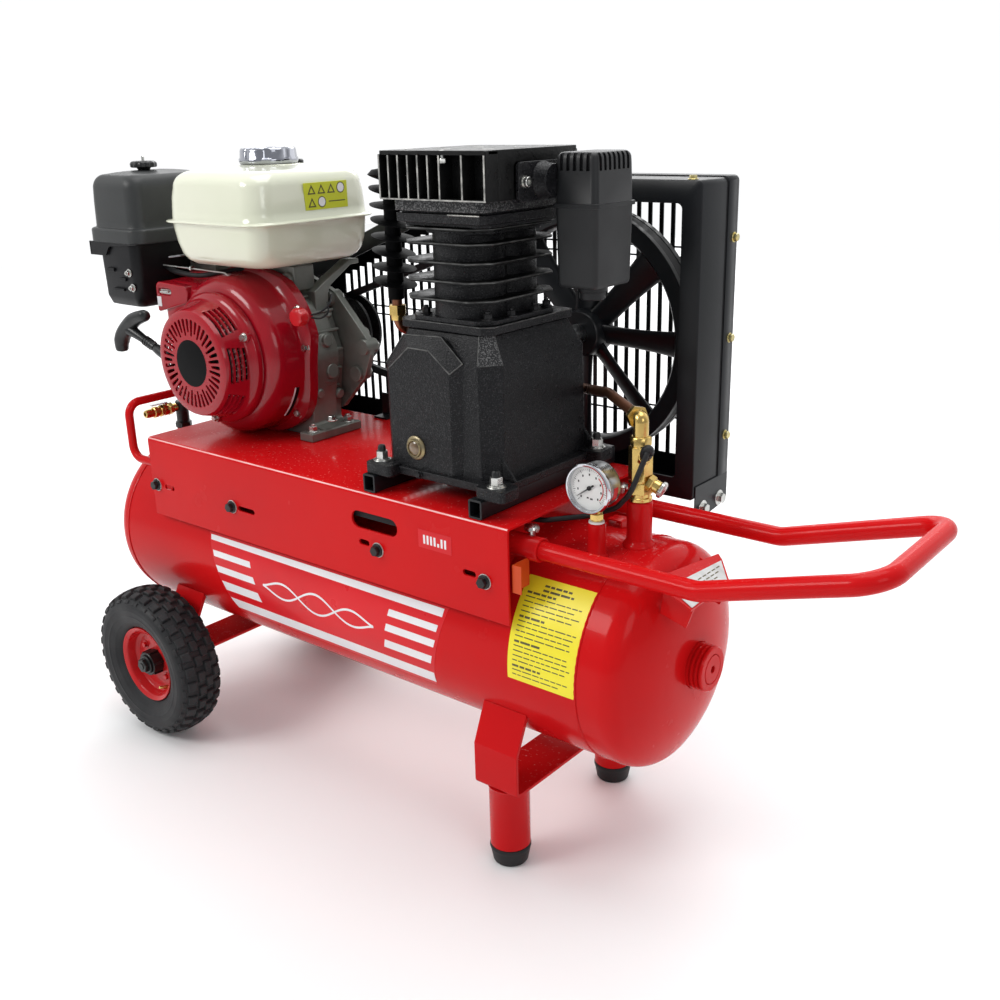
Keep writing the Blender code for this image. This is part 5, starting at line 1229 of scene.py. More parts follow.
def shroud_ring(y, inset, flange=0.0):
    """The shroud's outline at one depth, with its lugs where it has a flange."""
    points = []
    for step in range(SHROUD_POINTS):
        angle = 2 * math.pi * step / SHROUD_POINTS
        radius = FAN_COVER_RADIUS
        if math.radians(95) < angle < math.radians(167):
            radius = max(radius,
                         min(-SHROUD_CORNER[0] / math.cos(angle), SHROUD_CORNER[1] / math.sin(angle)))
        lug = max(0.0, math.cos(angle - math.radians(32))) ** 8
        lower = max(0.0, math.cos(angle - math.radians(-38))) ** 14
        waist = max(0.0, math.cos(angle - math.radians(2))) ** 20
        radius += flange * min(1.0, 0.42 + lug * 1.0 + lower * 0.55 - waist * 0.22) - inset
        z = CRANK_Z + radius * math.sin(angle)
        points.append((CRANK_X + radius * math.cos(angle), y,
                       min(max(z, DECK_TOP + 0.0018), fuel_low.z - 0.0022)))
    return points


def ring_at(y, radius):
    """A ring about the crankshaft with as many points as the shroud's outline."""
    turns = [2 * math.pi * i / SHROUD_POINTS for i in range(SHROUD_POINTS)]
    return [(CRANK_X + radius * math.cos(turn), y, CRANK_Z + radius * math.sin(turn)) for turn in turns]


LOUVRE_STEPS = 8


def louvre(shape, radii, angles, depths):
    """A curved slot through a cone: between two radii and angles, from front to back."""
    rings = []
    for k in range(LOUVRE_STEPS + 1):
        angle = angles[0] + (angles[1] - angles[0]) * k / LOUVRE_STEPS
        ends = 0.62 if k in (0, LOUVRE_STEPS) else 1.0
        middle, half = (radii[0] + radii[1]) / 2, (radii[1] - radii[0]) / 2 * ends
        rings.append([polar(middle - half, angle, depths[0]), polar(middle + half, angle, depths[0]),
                      polar(middle + half, angle, depths[1]), polar(middle - half, angle, depths[1])])
    return shape.skin(rings)


def make_fan_cover():
    """The red shroud over the engine's fan, with its block, latch, tag and bolts."""
    flange = 0.022
    depths = [(0.0, 0.0, flange), (-0.003, 0.0, flange), (-0.0125, 0.0, flange),
              (-0.0160, 0.0006, flange), (-0.0175, 0.0, flange * 0.72), (-0.0195, 0.0, 0.0040),
              (-0.0225, 0.0, 0.0015), (-0.030, 0.0003, 0.0)]
    rings = [shroud_ring(y, inset, grow) for y, inset, grow in depths]
    for step in range(9):
        a = math.radians(90 * step / 8)
        rings.append(shroud_ring(-0.052 - 0.0265 * math.sin(a), 0.0015 + 0.0250 * (1 - math.cos(a))))
    mouth = 0.098
    rings += [ring_at(-0.0805, mouth + 0.002), ring_at(-0.0818, mouth + 0.0010), ring_at(-0.0815, mouth),
              ring_at(-0.0790, mouth)]
    rings += [shroud_ring(-0.0765, 0.0260), shroud_ring(-0.0700, 0.0130), shroud_ring(-0.055, 0.0060),
              shroud_ring(-0.020, 0.0040), shroud_ring(0.0, 0.0040)]
    cover = Shape().skin(rings, loop=True)
    piece("fan_shroud", cover, "crimson", ROOT, ["fan_cover"], angle=42)
    raised = Shape()
    x0, x1, z0, z1 = CRANK_X - 0.150, CRANK_X - 0.062, CRANK_Z + 0.060, CRANK_Z + 0.1105
    outline = filleted([(x0, z0), (x1 - 0.008, z0 + 0.020), (x1, z1 - 0.004), (x0, z1)],
                       [0.004, 0.012, 0.012, 0.010], steps=5)
    raised.slab([tuple(p) for p in outline], (-0.0830, -0.060))
    item = piece("shroud_block", raised, "crimson", ROOT, bevel=0.0035, segments=4)
    recess = Shape().slab(long_slot(x0 + 0.006, x0 + 0.040, z1 - 0.016, 0.0055), (-0.0930, -0.0790))
    cut(item, recess)
    insert = Shape().slab(long_slot(x0 + 0.009, x0 + 0.037, z1 - 0.016, 0.0035), (-0.0800, -0.0785))
    insert.rod((x0 + 0.012, -0.0825, z1 - 0.0165), (x0 + 0.034, -0.0825, z1 - 0.0150), 0.0018, sides=10)
    piece("shroud_latch", insert, "zinc", ROOT)
    tag = Shape().box((x0 + 0.0015, -0.0835, z0 + 0.010), (x0 + 0.0125, -0.0829, z0 + 0.026))
    piece("shroud_tag", tag, "white", ROOT, bevel=0.0002)
    rows = []
    for k in range(9):
        angle = -47 + 27 * k / 8
        rows.append((angle, 0.0002, 0.0009))
    for material, name, y0, y1, lift in (("white", "shroud_strip_edge", -0.0350, -0.0265, 0.0005),
                                         ("badge", "shroud_strip", -0.0330, -0.0265, 0.0009)):
        skin = []
        for angle, _, _ in rows:
            inner, outer = FAN_COVER_RADIUS - 0.0010, FAN_COVER_RADIUS + lift
            skin.append([polar(inner, angle, y0), polar(outer, angle, y0), polar(outer, angle, y1),
                         polar(inner, angle, y1)])
        piece(name, Shape().skin(skin), material, ROOT)
    bolts = Shape()
    for angle, radius in ((33, 0.1405), (-42, 0.1360), (8, 0.1330), (128, 0.1700), (196, 0.1330)):
        spot = polar(radius, angle, -0.0160)
        if spot.z < DECK_TOP + 0.008 or spot.z > fuel_low.z - 0.010:
            continue
        bolts.bolt(spot, FRONT, 0.0098, 0.0055, washer=0.0085, turn=angle)
    piece("shroud_bolts", bolts, "zinc", ROOT)


def make_recoil():
    """The starter's housing: louvres, screen, plain badge, pads and bolts."""
    low = span("recoil_cover")[0]
    face = -low.y
    rear = 0.0823
    profile = [(0, face), (0.0715, face), (0.0722, face), (0.0745, face - 0.0004),
               (0.0790, face - 0.0006), (0.0822, face - 0.0020), (0.0840, face - 0.0055),
               (0.0858, face - 0.0120), (0.0900, 0.1080), (0.0925, 0.1000), (0.0940, 0.0965),
               (0.0985, 0.0935), (0.1020, 0.0915), (0.1036, 0.0890), (0.1040, 0.0850), (0.1040, rear),
               (0.0985, rear), (0.0960, 0.0880), (0.0880, 0.0985), (0.0850, 0.1060),
               (0.0800, face - 0.010), (0.0760, face - 0.0035), (0, face - 0.0035)]
    shape = Shape().lathe(profile, (CRANK_X, 0, CRANK_Z), FRONT, 144)
    item = piece("recoil_housing", shape, "crimson", ROOT, ["recoil_cover"], angle=38)
    cuts = Shape()
    count = 40
    for k in range(count):
        a = 360 * k / count
        inner = 0.0435 if k % 2 else 0.0490
        outer = 0.0700
        direction = Vector((math.cos(math.radians(a)), math.sin(math.radians(a))))
        across = Vector((-direction.y, direction.x))
        half = 0.0026
        corners = [direction * inner - across * half * 0.75, direction * outer - across * half * 1.25,
                   direction * outer + across * half * 1.25, direction * inner + across * half * 0.75]
        outline = filleted(corners, [half * 0.6, half, half, half * 0.6], steps=3)
        cuts.slab([(CRANK_X + p.x, CRANK_Z + p.y) for p in outline], (-face - 0.005, -face + 0.0200))
    for centre in (-48, 2, 52, 112, 172, 232):
        for row in range(4):
            depth = face - 0.0115 - row * 0.0078
            louvre(cuts, (0.0760, 0.1040), (centre - 19 + row, centre + 19 - row),
                   (-depth - 0.0029, -depth + 0.0029))
    cut(item, cuts)
    inside = Shape().lathe([(0, 0.1160), (0.060, 0.1160), (0.064, 0.1140), (0.074, 0.1000),
                            (0.080, 0.0860), (0, 0.0860)],
                           (CRANK_X, 0, CRANK_Z), FRONT, 64)
    for k in range(24):
        a = 15 * k
        inside.rod(polar(0.020, a, -0.1195), polar(0.066, a + 10, -0.1170), 0.0016, sides=8)
    piece("recoil_inside", inside, "dark", ROOT)
    screen = Shape()
    for k in range(48):
        a = 7.5 * k
        screen.rod(polar(0.0700, a, -0.1100), polar(0.0830, a + 5, -0.0900), 0.0007, sides=6)
    piece("recoil_screen", screen, "zinc", ROOT)
    badge = Shape().lathe([(0, face), (0.0370, face), (0.0370, face + 0.0001), (0.0362, face + 0.0002),
                           (0, face + 0.0002)],
                          (CRANK_X, 0, CRANK_Z), FRONT, 72)
    piece("recoil_badge", badge, "badge", ROOT)
    ring = Shape().lathe([(0.0370, face - 0.0010), (0.0400, face - 0.0010), (0.0400, face - 0.0002),
                          (0.0385, face + 0.0002), (0.0370, face - 0.0002)], (CRANK_X, 0, CRANK_Z), FRONT,
                         72)
    piece("badge_rim", ring, "crimson", ROOT)
    bolts, pads = Shape(), Shape()
    for angle in (27, 147, 267):
        spot = polar(0.0955, angle, -0.0940)
        out = (Vector(FRONT) + Vector((math.cos(math.radians(angle)), 0, math.sin(math.radians(angle))))
               * 0.15).normalized()
        pads.lathe([(0, -0.012), (0.0095, -0.012), (0.0085, 0.0035), (0.0075, 0.0045), (0, 0.0045)], spot,
                   out, 28)
        bolts.bolt(spot + out * 0.0045, out, 0.0088, 0.0048, washer=0.0068, turn=angle)
    piece("recoil_pads", pads, "crimson", ROOT)
    piece("recoil_bolts", bolts, "zinc", ROOT)


def make_grip():
    """The starter's grip, the rope behind it and the eyelet it comes through."""
    mouth = Vector((-0.372, -0.1215, 0.652))
    pull = Vector((-0.94, 0.0, 0.342)).normalized()
    across = Vector((0.80, 0.0, 0.60)).normalized()
    centre = mouth + pull * 0.075
    bar = [centre - across * 0.058 - pull * 0.018, centre - across * 0.040 - pull * 0.004,
           centre - across * 0.020 + pull * 0.004, centre + across * 0.004 + pull * 0.006,
           centre + across * 0.028 + pull * 0.003, centre + across * 0.054 - pull * 0.012]
    path = smooth_line(bar, 7)
    count = len(path)
    sizes = []
    for i in range(count):
        t = i / (count - 1)
        end = min(t, 1 - t)
        sizes.append(0.0128 * (0.74 + 0.26 * min(1.0, end / 0.25))
                     * math.sqrt(min(1.0, (end + 0.004) / 0.045)))
    shape = Shape().sweep(path, sizes, sides=28, flat=0.9)
    stem = [mouth + pull * d for d in (0.004, 0.010, 0.022, 0.040, 0.058, 0.072)]
    shape.sweep(stem, [0.0070, 0.0078, 0.0074, 0.0072, 0.0085, 0.0104], sides=24)
    for k in range(4):
        spot = mouth + pull * (0.012 + 0.006 * k)
        weld_ring(shape, spot, pull, 0.0076, 0.0009, 24)
    piece("starter_handle", shape, "satin", "starter_grip", ["recoil_grip"], angle=60)
    rope = Shape().rod(mouth + pull * 0.0080, mouth - pull * 0.1240, 0.0018, sides=12)
    piece("starter_rope", rope, "rope", "starter_grip", angle=60)
    eyelet = Shape()
    eyelet.lathe([(0.0030, -0.0340), (0.0095, -0.0340), (0.0085, -0.0060), (0.0075, 0.0020),
                  (0.0060, 0.0034), (0.0040, 0.0030), (0.0030, 0.0010)], mouth, pull, 28)
    piece("rope_eyelet", eyelet, "satin", ROOT, angle=50)


def make_engine_rotor():
    """What turns in the engine: crankshaft, fan and drive pulley."""
    shaft = Shape().lathe([(0, shaft_low.y), (SHAFT_RADIUS - 0.001, shaft_low.y),
                           (SHAFT_RADIUS, shaft_low.y + 0.001), (SHAFT_RADIUS, shaft_high.y - 0.0012),
                           (SHAFT_RADIUS - 0.0012, shaft_high.y), (0.0045, shaft_high.y),
                           (0.0035, shaft_high.y - 0.006), (0, shaft_high.y - 0.006)],
                          (CRANK_X, 0, CRANK_Z), BACK, 48)
    piece("crankshaft_bar", shaft, "steel", "engine_rotor", ["engine_crankshaft"])
    bore = SHAFT_RADIUS + GAP
    fan = Shape().lathe([(bore, -0.006), (0.060, -0.006), (0.108, -0.016), (0.112, -0.024),
                         (0.112, -0.030), (0.030, -0.034), (bore, -0.034)], (CRANK_X, 0, CRANK_Z), BACK,
                        72)
    for k in range(18):
        angle = 20 * k
        rows = []
        for radius, swing, low, high in ((0.055, 0, -0.0325, -0.0445), (0.080, 6, -0.0315, -0.0440),
                                         (0.108, 14, -0.0290, -0.0395)):
            half = math.degrees(0.0012 / radius)
            rows.append([polar(radius, angle + swing - half, low),
                         polar(radius, angle + swing + half, low),
                         polar(radius, angle + swing + half, high),
                         polar(radius, angle + swing - half, high)])
        fan.skin(rows)
    piece("cooling_fan", fan, "aluminium", "engine_rotor", ["engine_flywheel"])
    pulley_low, pulley_high = span("drive_pulley")
    radius = (pulley_high.x - pulley_low.x) / 2
    make_grooved_wheel("drive_pulley_wheel", (CRANK_X, BELT_Y, CRANK_Z), radius, bore, "engine_rotor",
                       "drive_pulley")


belt_low, belt_high = span("v_belt")
BELT_Y = (belt_low.y + belt_high.y) / 2
BELT_TOP_WIDTH = 0.017
BELT_DEPTH = 0.011


def make_grooved_wheel(name, centre, radius, bore, body, node):
    """A small belt pulley with its screws."""
    top = BELT_TOP_WIDTH / 2 + 0.0006
    depth = BELT_DEPTH + 0.003
    floor = top - depth * math.tan(math.radians(19)) - 0.0002
    half = 0.0145
    profile = [(bore, 0.022), (0.0235, 0.022), (0.024, 0.0215), (0.024, half - 0.004),
               (0.042, half - 0.004), (0.045, half), (radius - 0.0005, half), (radius, half - 0.0005),
               (radius, top), (radius - depth, floor), (radius - depth, -floor), (radius, -top),
               (radius, -half + 0.0005), (radius - 0.0005, -half), (0.024, -half), (0.024, -0.022),
               (bore, -0.022)]
    shape = Shape().lathe(profile, centre, BACK, 72)
    piece(name, shape, "cast", body, [node])
    screws = Shape()
    for k in range(3):
        a = math.radians(120 * k + 40)
        screws.bolt((centre[0] + 0.0185 * math.cos(a), centre[1] + 0.0220,
                     centre[2] + 0.0185 * math.sin(a)), BACK, 0.0065, 0.0020)
    piece(name + "_screws", screws, "zinc", body)


# ---------------------------------------------------------------- fuel tank and air cleaner

def dome_levels(low, high, edge, top_inset, steps=8):
    """Levels of a crowned top: height and inset along a quarter ellipse."""
    levels = []
    for k in range(1, steps + 1):
        a = math.radians(90 * k / steps)
        levels.append((low + (high - low) * math.sin(a), edge + (top_inset - edge) * (1 - math.cos(a))))
    return levels


def make_fuel_tank():
    """The fuel tank with its cap, neck, vent and side label."""
    centre = ((fuel_low.x + fuel_high.x) / 2, (fuel_low.y + fuel_high.y) / 2)
    half_x, half_y = (fuel_high.x - fuel_low.x) / 2 - 0.004, (fuel_high.y - fuel_low.y) / 2 - 0.004
    seam = 0.853
    corner = 0.036
    levels = [(fuel_low.z, 0.050, 0.024), (fuel_low.z + 0.0015, 0.040, 0.028), (0.7880, 0.024, 0.034),
              (0.7940, 0.0155, 0.036), (0.8030, 0.0105, corner), (0.8200, 0.0068, corner),
              (0.8400, 0.0048, corner), (seam - 0.0035, 0.0042, corner), (seam - 0.0022, 0.0030, corner),
              (seam - 0.0015, -0.0032, 0.040), (seam - 0.0006, -0.0040, 0.040),
              (seam + 0.0006, -0.0040, 0.040), (seam + 0.0015, -0.0032, 0.040),
              (seam + 0.0022, 0.0030, corner), (seam + 0.0035, 0.0042, corner), (0.8700, 0.0048, corner),
              (0.8900, 0.0060, corner), (0.9030, 0.0082, corner)]
    levels += [(z, inset, corner) for z, inset in dome_levels(0.9030, 0.9285, 0.0082, 0.034, 9)]
    levels += [(0.9315, 0.050, 0.034), (0.9335, 0.068, 0.030), (0.9345, 0.090, 0.018)]
    rings = []
    for z, inset, radius in levels:
        ring = []
        for x, y, _ in box_ring(half_x - inset, half_y - inset, z, min(radius, half_x - inset - 0.001),
                                (0, 0), steps=10):
            slope = 0.0
            if z < seam - 0.004:
                front = max(0.0, (-x - y) / (half_x + half_y) - 0.42)
                slope = front * (seam - z) * 0.95
            ring.append((centre[0] + x * (1 - slope), centre[1] + y * (1 - slope * 0.5), z))
        rings.append(ring)
    tank = Shape().skin(rings)
    piece("fuel_tank_shell", tank, "cream", ROOT, ["fuel_tank"], angle=50)
    cap_low, cap_high = span("fuel_cap")
    at = ((cap_low.x + cap_high.x) / 2, (cap_low.y + cap_high.y) / 2, cap_low.z + 0.0085)
    radius = (cap_high.x - cap_low.x) / 2
    top = cap_high.z - cap_low.z
    rings = []
    count = 96
    for height, scale in ((0.0, 0.950), (0.0012, 0.975), (0.0040, 1.0), (0.0075, 1.0), (0.0095, 0.965),
                          (top - 0.0040, 0.945), (top - 0.0015, 0.925), (top - 0.0003, 0.880),
                          (top - 0.0010, 0.820), (top - 0.0030, 0.790), (top - 0.0035, 0.30)):
        ring = []
        for i in range(count):
            angle = 2 * math.pi * i / count
            flute = 1.0
            if 0.009 < height < top - 0.001:
                flute = 1.0 - 0.045 * max(0.0, math.cos(8 * angle)) ** 3
            ring.append((at[0] + radius * scale * flute * math.cos(angle),
                         at[1] + radius * scale * flute * math.sin(angle), at[2] + height))
        rings.append(ring)
    rings.append([(at[0], at[1], at[2] + top - 0.0035)])
    rings.insert(0, [(at[0], at[1], at[2])])
    piece("fuel_cap_shell", Shape().skin(rings), "cap_chrome", "fuel_filler_cap",
          ["fuel_cap"], angle=40)
    neck = Shape().lathe([(0.030, -0.006), (0.050, -0.006), (0.0505, -0.0035), (0.0475, -0.0006),
                          (0.030, -0.0006)], at, UP, 64)
    piece("filler_neck", neck, "cream", ROOT)
    vent = Shape().lathe([(0, -0.003), (0.014, -0.003), (0.014, 0.004), (0.012, 0.006), (0, 0.006)],
                         (at[0] - 0.010, at[1] + 0.062, 0.9325), UP, 32)
    piece("tank_vent", vent, "satin", ROOT)
    side_x = fuel_high.x - 0.0090
    label = Shape().box((side_x - 0.0020, 0.0000, 0.8680), (side_x + 0.0006, 0.0880, 0.9080))
    piece("tank_side_label", label, "lime", ROOT, bevel=0.0003)
    marks, discs = Shape(), Shape()
    face = (side_x + 0.0005, side_x + 0.0009)
    for y, z in ((0.0060, 0.8910), (0.0260, 0.8910), (0.0460, 0.8910), (0.0060, 0.8720)):
        outer = [(y, z), (y + 0.0160, z), (y + 0.0080, z + 0.0140)]
        inner = [(y + 0.0032, z + 0.0018), (y + 0.0128, z + 0.0018), (y + 0.0080, z + 0.0102)]
        marks.pierced([outer, inner], face, "X")
    for y, z in ((0.0740, 0.8980), (0.0340, 0.8790)):
        discs.slab(arc((y, z), 0.0072, 0, 345, 23), face, "X")
        marks.pierced([arc((y, z), 0.0082, 0, 345, 23), arc((y, z), 0.0068, 0, 345, 23)], face, "X")
    marks.box((face[0], 0.0480, 0.8780), (face[1], 0.0820, 0.8795))
    piece("tank_label_discs", discs, "white", ROOT)
    piece("tank_label_marks", marks, "print", ROOT)


cleaner_low, cleaner_high = span("air_cleaner_cover")


def make_air_cleaner():
    """The air cleaner's cover and base, its nuts, knob and stud."""
    centre = ((cleaner_low.x + cleaner_high.x) / 2, (cleaner_low.y + cleaner_high.y) / 2)
    half_x, half_y = (cleaner_high.x - cleaner_low.x) / 2, (cleaner_high.y - cleaner_low.y) / 2
    z0, top = cleaner_low.z + 0.0100, cleaner_high.z
    corner = 0.024
    levels = [(z0, 0.0015, corner), (z0 + 0.0012, 0.0, corner), (z0 + 0.0190, 0.0, corner),
              (z0 + 0.0215, 0.0005, corner), (z0 + 0.0232, 0.0025, corner), (z0 + 0.0240, 0.0055, corner),
              (z0 + 0.0265, 0.0064, corner), (0.8500, 0.0066, corner), (0.8800, 0.0072, corner),
              (0.8980, 0.0080, corner)]
    levels += [(z, inset, corner) for z, inset in dome_levels(0.8980, top - 0.0045, 0.0080, 0.0230, 9)]
    levels += [(top - 0.0025, 0.034, corner), (top - 0.0010, 0.046, 0.018), (top, 0.060, 0.008)]
    rings = [box_ring(half_x - inset, half_y - inset, z, min(radius, half_x - inset - 0.001), centre,
                      steps=9) for z, inset, radius in levels]
    piece("cleaner_cover", Shape().skin(rings), "lid", ROOT, ["air_cleaner_cover"],
          angle=42)
    base_low, base_high = span("air_cleaner_base")
    half_x2, half_y2 = (base_high.x - base_low.x) / 2, (base_high.y - base_low.y) / 2
    base = Shape()
    levels = [(base_low.z - 0.005, 0.014, 0.010), (base_low.z - 0.002, 0.006, 0.014),
              (base_low.z + 0.012, 0.001, 0.016), (z0 - 0.0250, 0.0, 0.016), (z0 - 0.0003, 0.0, 0.016)]
    base.skin([box_ring(half_x2 - inset, half_y2 - inset, z, radius, centre, steps=7) for z, inset,
               radius in levels])
    front = centre[1] - half_y
    left = centre[0] - half_x + 0.002
    skirt = [(left, z0 - 0.0215), (left + 0.044, z0 - 0.0215), (left + 0.056, z0 - 0.0060),
             (centre[0] + half_x - 0.004, z0 - 0.0003), (centre[0] + half_x - 0.004, z0 + 0.001),
             (left, z0 + 0.001)]
    skirt_outline = [tuple(p) for p in filleted(skirt, [0.003, 0.008, 0.008, 0, 0, 0], steps=4)]
    base.slab(skirt_outline, (front + 0.0016, front + 0.0050))
    base.box((left, front + 0.0016, z0 - 0.0215), (left + 0.004, front + 0.100, z0 + 0.0005))
    for x, z, w, h in ((-0.512, 0.766, 0.020, 0.006), (-0.478, 0.752, 0.016, 0.005),
                       (-0.500, 0.735, 0.030, 0.004)):
        base.box((x, centre[1] - half_y2 - 0.0030, z), (x + w, centre[1] - half_y2 + 0.002, z + h))
    piece("cleaner_base", base, "housing", ROOT, ["air_cleaner_base"],
          bevel=0.0010, angle=50)
    nuts = Shape()
    for x, z in ((-0.452, 0.766), (-0.446, 0.742)):
        nuts.bolt((x, centre[1] - half_y2 - 0.0005, z), FRONT, 0.0085, 0.0045, washer=0.0068, stud=0.003)
    piece("cleaner_nuts", nuts, "zinc", ROOT)
    nut_low, nut_high = span("air_cleaner_nut")
    at = ((nut_low.x + nut_high.x) / 2, (nut_low.y + nut_high.y) / 2, nut_low.z)
    count = 84
    rings = [[(at[0], at[1], at[2])]]
    for height, radius, depth in ((0.0, 0.0095, 0), (0.0035, 0.0115, 0), (0.0042, 0.0200, 0.03),
                                  (0.0052, 0.0218, 0.06), (0.0100, 0.0220, 0.07), (0.0122, 0.0208, 0.06),
                                  (0.0140, 0.0180, 0.03), (0.0146, 0.0120, 0), (0.0146, 0.0060, 0)):
        rings.append([(at[0] + x, at[1] + y, at[2] + height) for x, y in fluted(radius, depth, 12, count)])
    rings.append([(at[0], at[1], at[2] + 0.0146)])
    knob = Shape().skin(rings)
    piece("cleaner_knob", knob, "satin", "cleaner_nut", ["air_cleaner_nut"],
          angle=40)
    stud = Shape().lathe([(0, 0.014), (0.0025, 0.014), (0.0025, 0.0212), (0.0018, 0.0220), (0, 0.0220)],
                         at, UP, 16)
    piece("cleaner_stud", stud, "zinc", "cleaner_nut")


def make_engine_fittings():
    """Carburettor, levers, muffler, stop switch, hoses and governor rod."""
    low, high = span("carburettor")
    carb = Shape()
    carb.box((low.x, low.y, 0.7440), (high.x, high.y, high.z))
    carb.lathe([(0, 0.7222), (0.0165, 0.7222), (0.0192, 0.7240), (0.0200, 0.7270), (0.0200, 0.7420),
                (0.0212, 0.7440), (0.0212, 0.7470), (0, 0.7470)],
               (-0.392, 0.027, 0), UP, 48)
    carb.lathe([(0, 0), (0.019, 0), (0.019, 0.006), (0, 0.006)], (low.x - 0.003, 0.027, 0.765), RIGHT, 36)
    piece("carburettor_body", carb, "aluminium", ROOT, ["carburettor"], bevel=0.0025,
          segments=3)
    screws = Shape().bolt((-0.392, 0.027, 0.7222), (0, 0, -1), 0.0080, 0.0040)
    screws.bolt((-0.415, low.y, 0.778), FRONT, 0.0065, 0.0030, washer=0.0050)
    screws.bolt((-0.375, low.y, 0.752), FRONT, 0.0065, 0.0030, washer=0.0050)
    piece("carburettor_screws", screws, "brass", ROOT)
    pivot = Vector((-0.392, 0.0503, 0.765))
    lever = Shape()
    outline = [(-0.006, -0.006), (0.006, -0.006), (0.038, 0.012), (0.034, 0.019), (-0.006, 0.006)]
    lever.slab([(pivot.x + p.x, pivot.z + p.y) for p in filleted(outline, 0.003, steps=5)],
               (pivot.y + 0.0005, pivot.y + 0.0030))
    lever.rod(pivot, pivot + Vector((0, 0.0060, 0)), 0.0058, sides=28, bevel=0.0006)
    piece("throttle_arm", lever, "steel", "throttle", ["throttle_lever"], bevel=0.0004)
    pivot = Vector((-0.4145, 0.010, 0.7863))
    choke = Shape()
    choke.box((pivot.x - 0.0045, pivot.y - 0.0620, pivot.z + 0.001),
              (pivot.x + 0.0045, pivot.y + 0.004, pivot.z + 0.004))
    choke.rod(pivot, pivot + Vector((0, 0, 0.006)), 0.006, sides=28, bevel=0.0006)
    piece("choke_arm", choke, "chrome", "choke", ["choke_lever"], bevel=0.0008)
    low, high = span("muffler")
    muffler = Shape()
    rings = []
    centre_x, centre_z = -0.4165, 0.7125
    for y, inset in ((0.1010, 0.010), (0.1025, 0.003), (0.1060, 0.0), (0.1260, 0.0), (0.1272, -0.0),
                     (0.1290, -0.0), (0.1510, 0.0), (0.1545, 0.003), (0.1560, 0.010)):
        ring = box_ring(0.0585 - inset, 0.0625 - inset, 0, 0.014, steps=6)
        rings.append([(centre_x + p[0], y, centre_z + p[1]) for p in ring])
    muffler.skin(rings)
    piece("muffler_can", muffler, "steel", ROOT, ["muffler"], angle=40)
    guard = Shape()
    for k in range(7):
        z = 0.6640 + 0.0160 * k
        guard.box((-0.4660, 0.1550, z), (-0.3670, 0.1572, z + 0.006))
    piece("muffler_ribs", guard, "dark_bolt", ROOT, bevel=0.0004)
    pipe = Shape().sweep([(-0.440, 0.126, 0.696), (-0.468, 0.1275, 0.692), (-0.4815, 0.128, 0.690)],
                         0.0105, sides=24)
    piece("exhaust_outlet", pipe, "steel", ROOT, angle=50)
    knob_low, knob_high = span("switch_knob")
    at = Vector(((knob_low.x + knob_high.x) / 2, knob_high.y, (knob_low.z + knob_high.z) / 2))
    radius = (knob_high.x - knob_low.x) / 2
    count = 72
    rings = [[(at.x, at.y, at.z)]]
    for depth, scale, flute in ((0.0, 0.76, 0), (0.0030, 0.80, 0), (0.0055, 0.97, 0.02),
                                (0.0070, 1.0, 0.08), (0.0165, 1.0, 0.08), (0.0188, 0.93, 0.05),
                                (0.0198, 0.84, 0.0), (0.0200, 0.60, 0)):
        rings.append([(at.x + x, at.y - depth, at.z + z) for x,
                      z in fluted(radius * scale, flute, 8, count)])
    rings.append([(at.x, at.y - 0.0200, at.z)])
    piece("stop_switch", Shape().skin(rings), "knob_red", "engine_switch",
          ["switch_knob"], angle=40)
    wires = Shape()
    wires.sweep(smooth_line([(at.x + 0.010, at.y + 0.004, at.z + 0.002),
                             (at.x + 0.020, -0.008, at.z + 0.006), (at.x + 0.026, 0.006, at.z + 0.016),
                             (at.x + 0.020, 0.018, at.z + 0.030)], 6), 0.0014, sides=10)
    wires.sweep(smooth_line([(at.x + 0.010, at.y + 0.004, at.z - 0.002),
                             (at.x + 0.018, -0.006, at.z - 0.004), (at.x + 0.024, 0.004, at.z + 0.004),
                             (at.x + 0.016, 0.012, at.z + 0.018)], 6), 0.0014, sides=10)
    wires.sweep(smooth_line([(-0.4300, -0.0420, 0.7700), (-0.3900, -0.0520, 0.7655),
                             (-0.3300, -0.0500, 0.7640), (-0.2700, -0.0200, 0.7735),
                             (-0.2300, 0.0060, 0.7760)], 8), 0.0042, sides=16)
    piece("engine_hoses", wires, "rubber", ROOT, angle=60)
    rod = Shape().sweep([(-0.4100, -0.0640, 0.7775), (-0.2620, -0.0560, 0.7730),
                         (-0.2540, -0.0560, 0.7690)], 0.0013, sides=10)
    rod.lathe([(0, -0.002), (0.0045, -0.002), (0.0045, 0.002), (0, 0.002)], (-0.3400, -0.0602, 0.7754),
              (1, 0.05, -0.03), 16)
    piece("governor_rod", rod, "zinc", ROOT)


make_crankcase()
make_cylinder()
make_fan_cover()
make_recoil()
make_grip()
make_engine_rotor()
make_fuel_tank()
make_air_cleaner()
make_engine_fittings()


# ---------------------------------------------------------------- pump

pump_low, pump_high = span("pump_crankshaft")
PUMP_X = (pump_low.x + pump_high.x) / 2
PUMP_Z = (pump_low.z + pump_high.z) / 2
PUMP_SHAFT_RADIUS = 0.015
case_low = span("pump_crankcase")[0]
head_low = span("pump_head")[0]
CYLINDER_Y = (-0.058, 0.006)


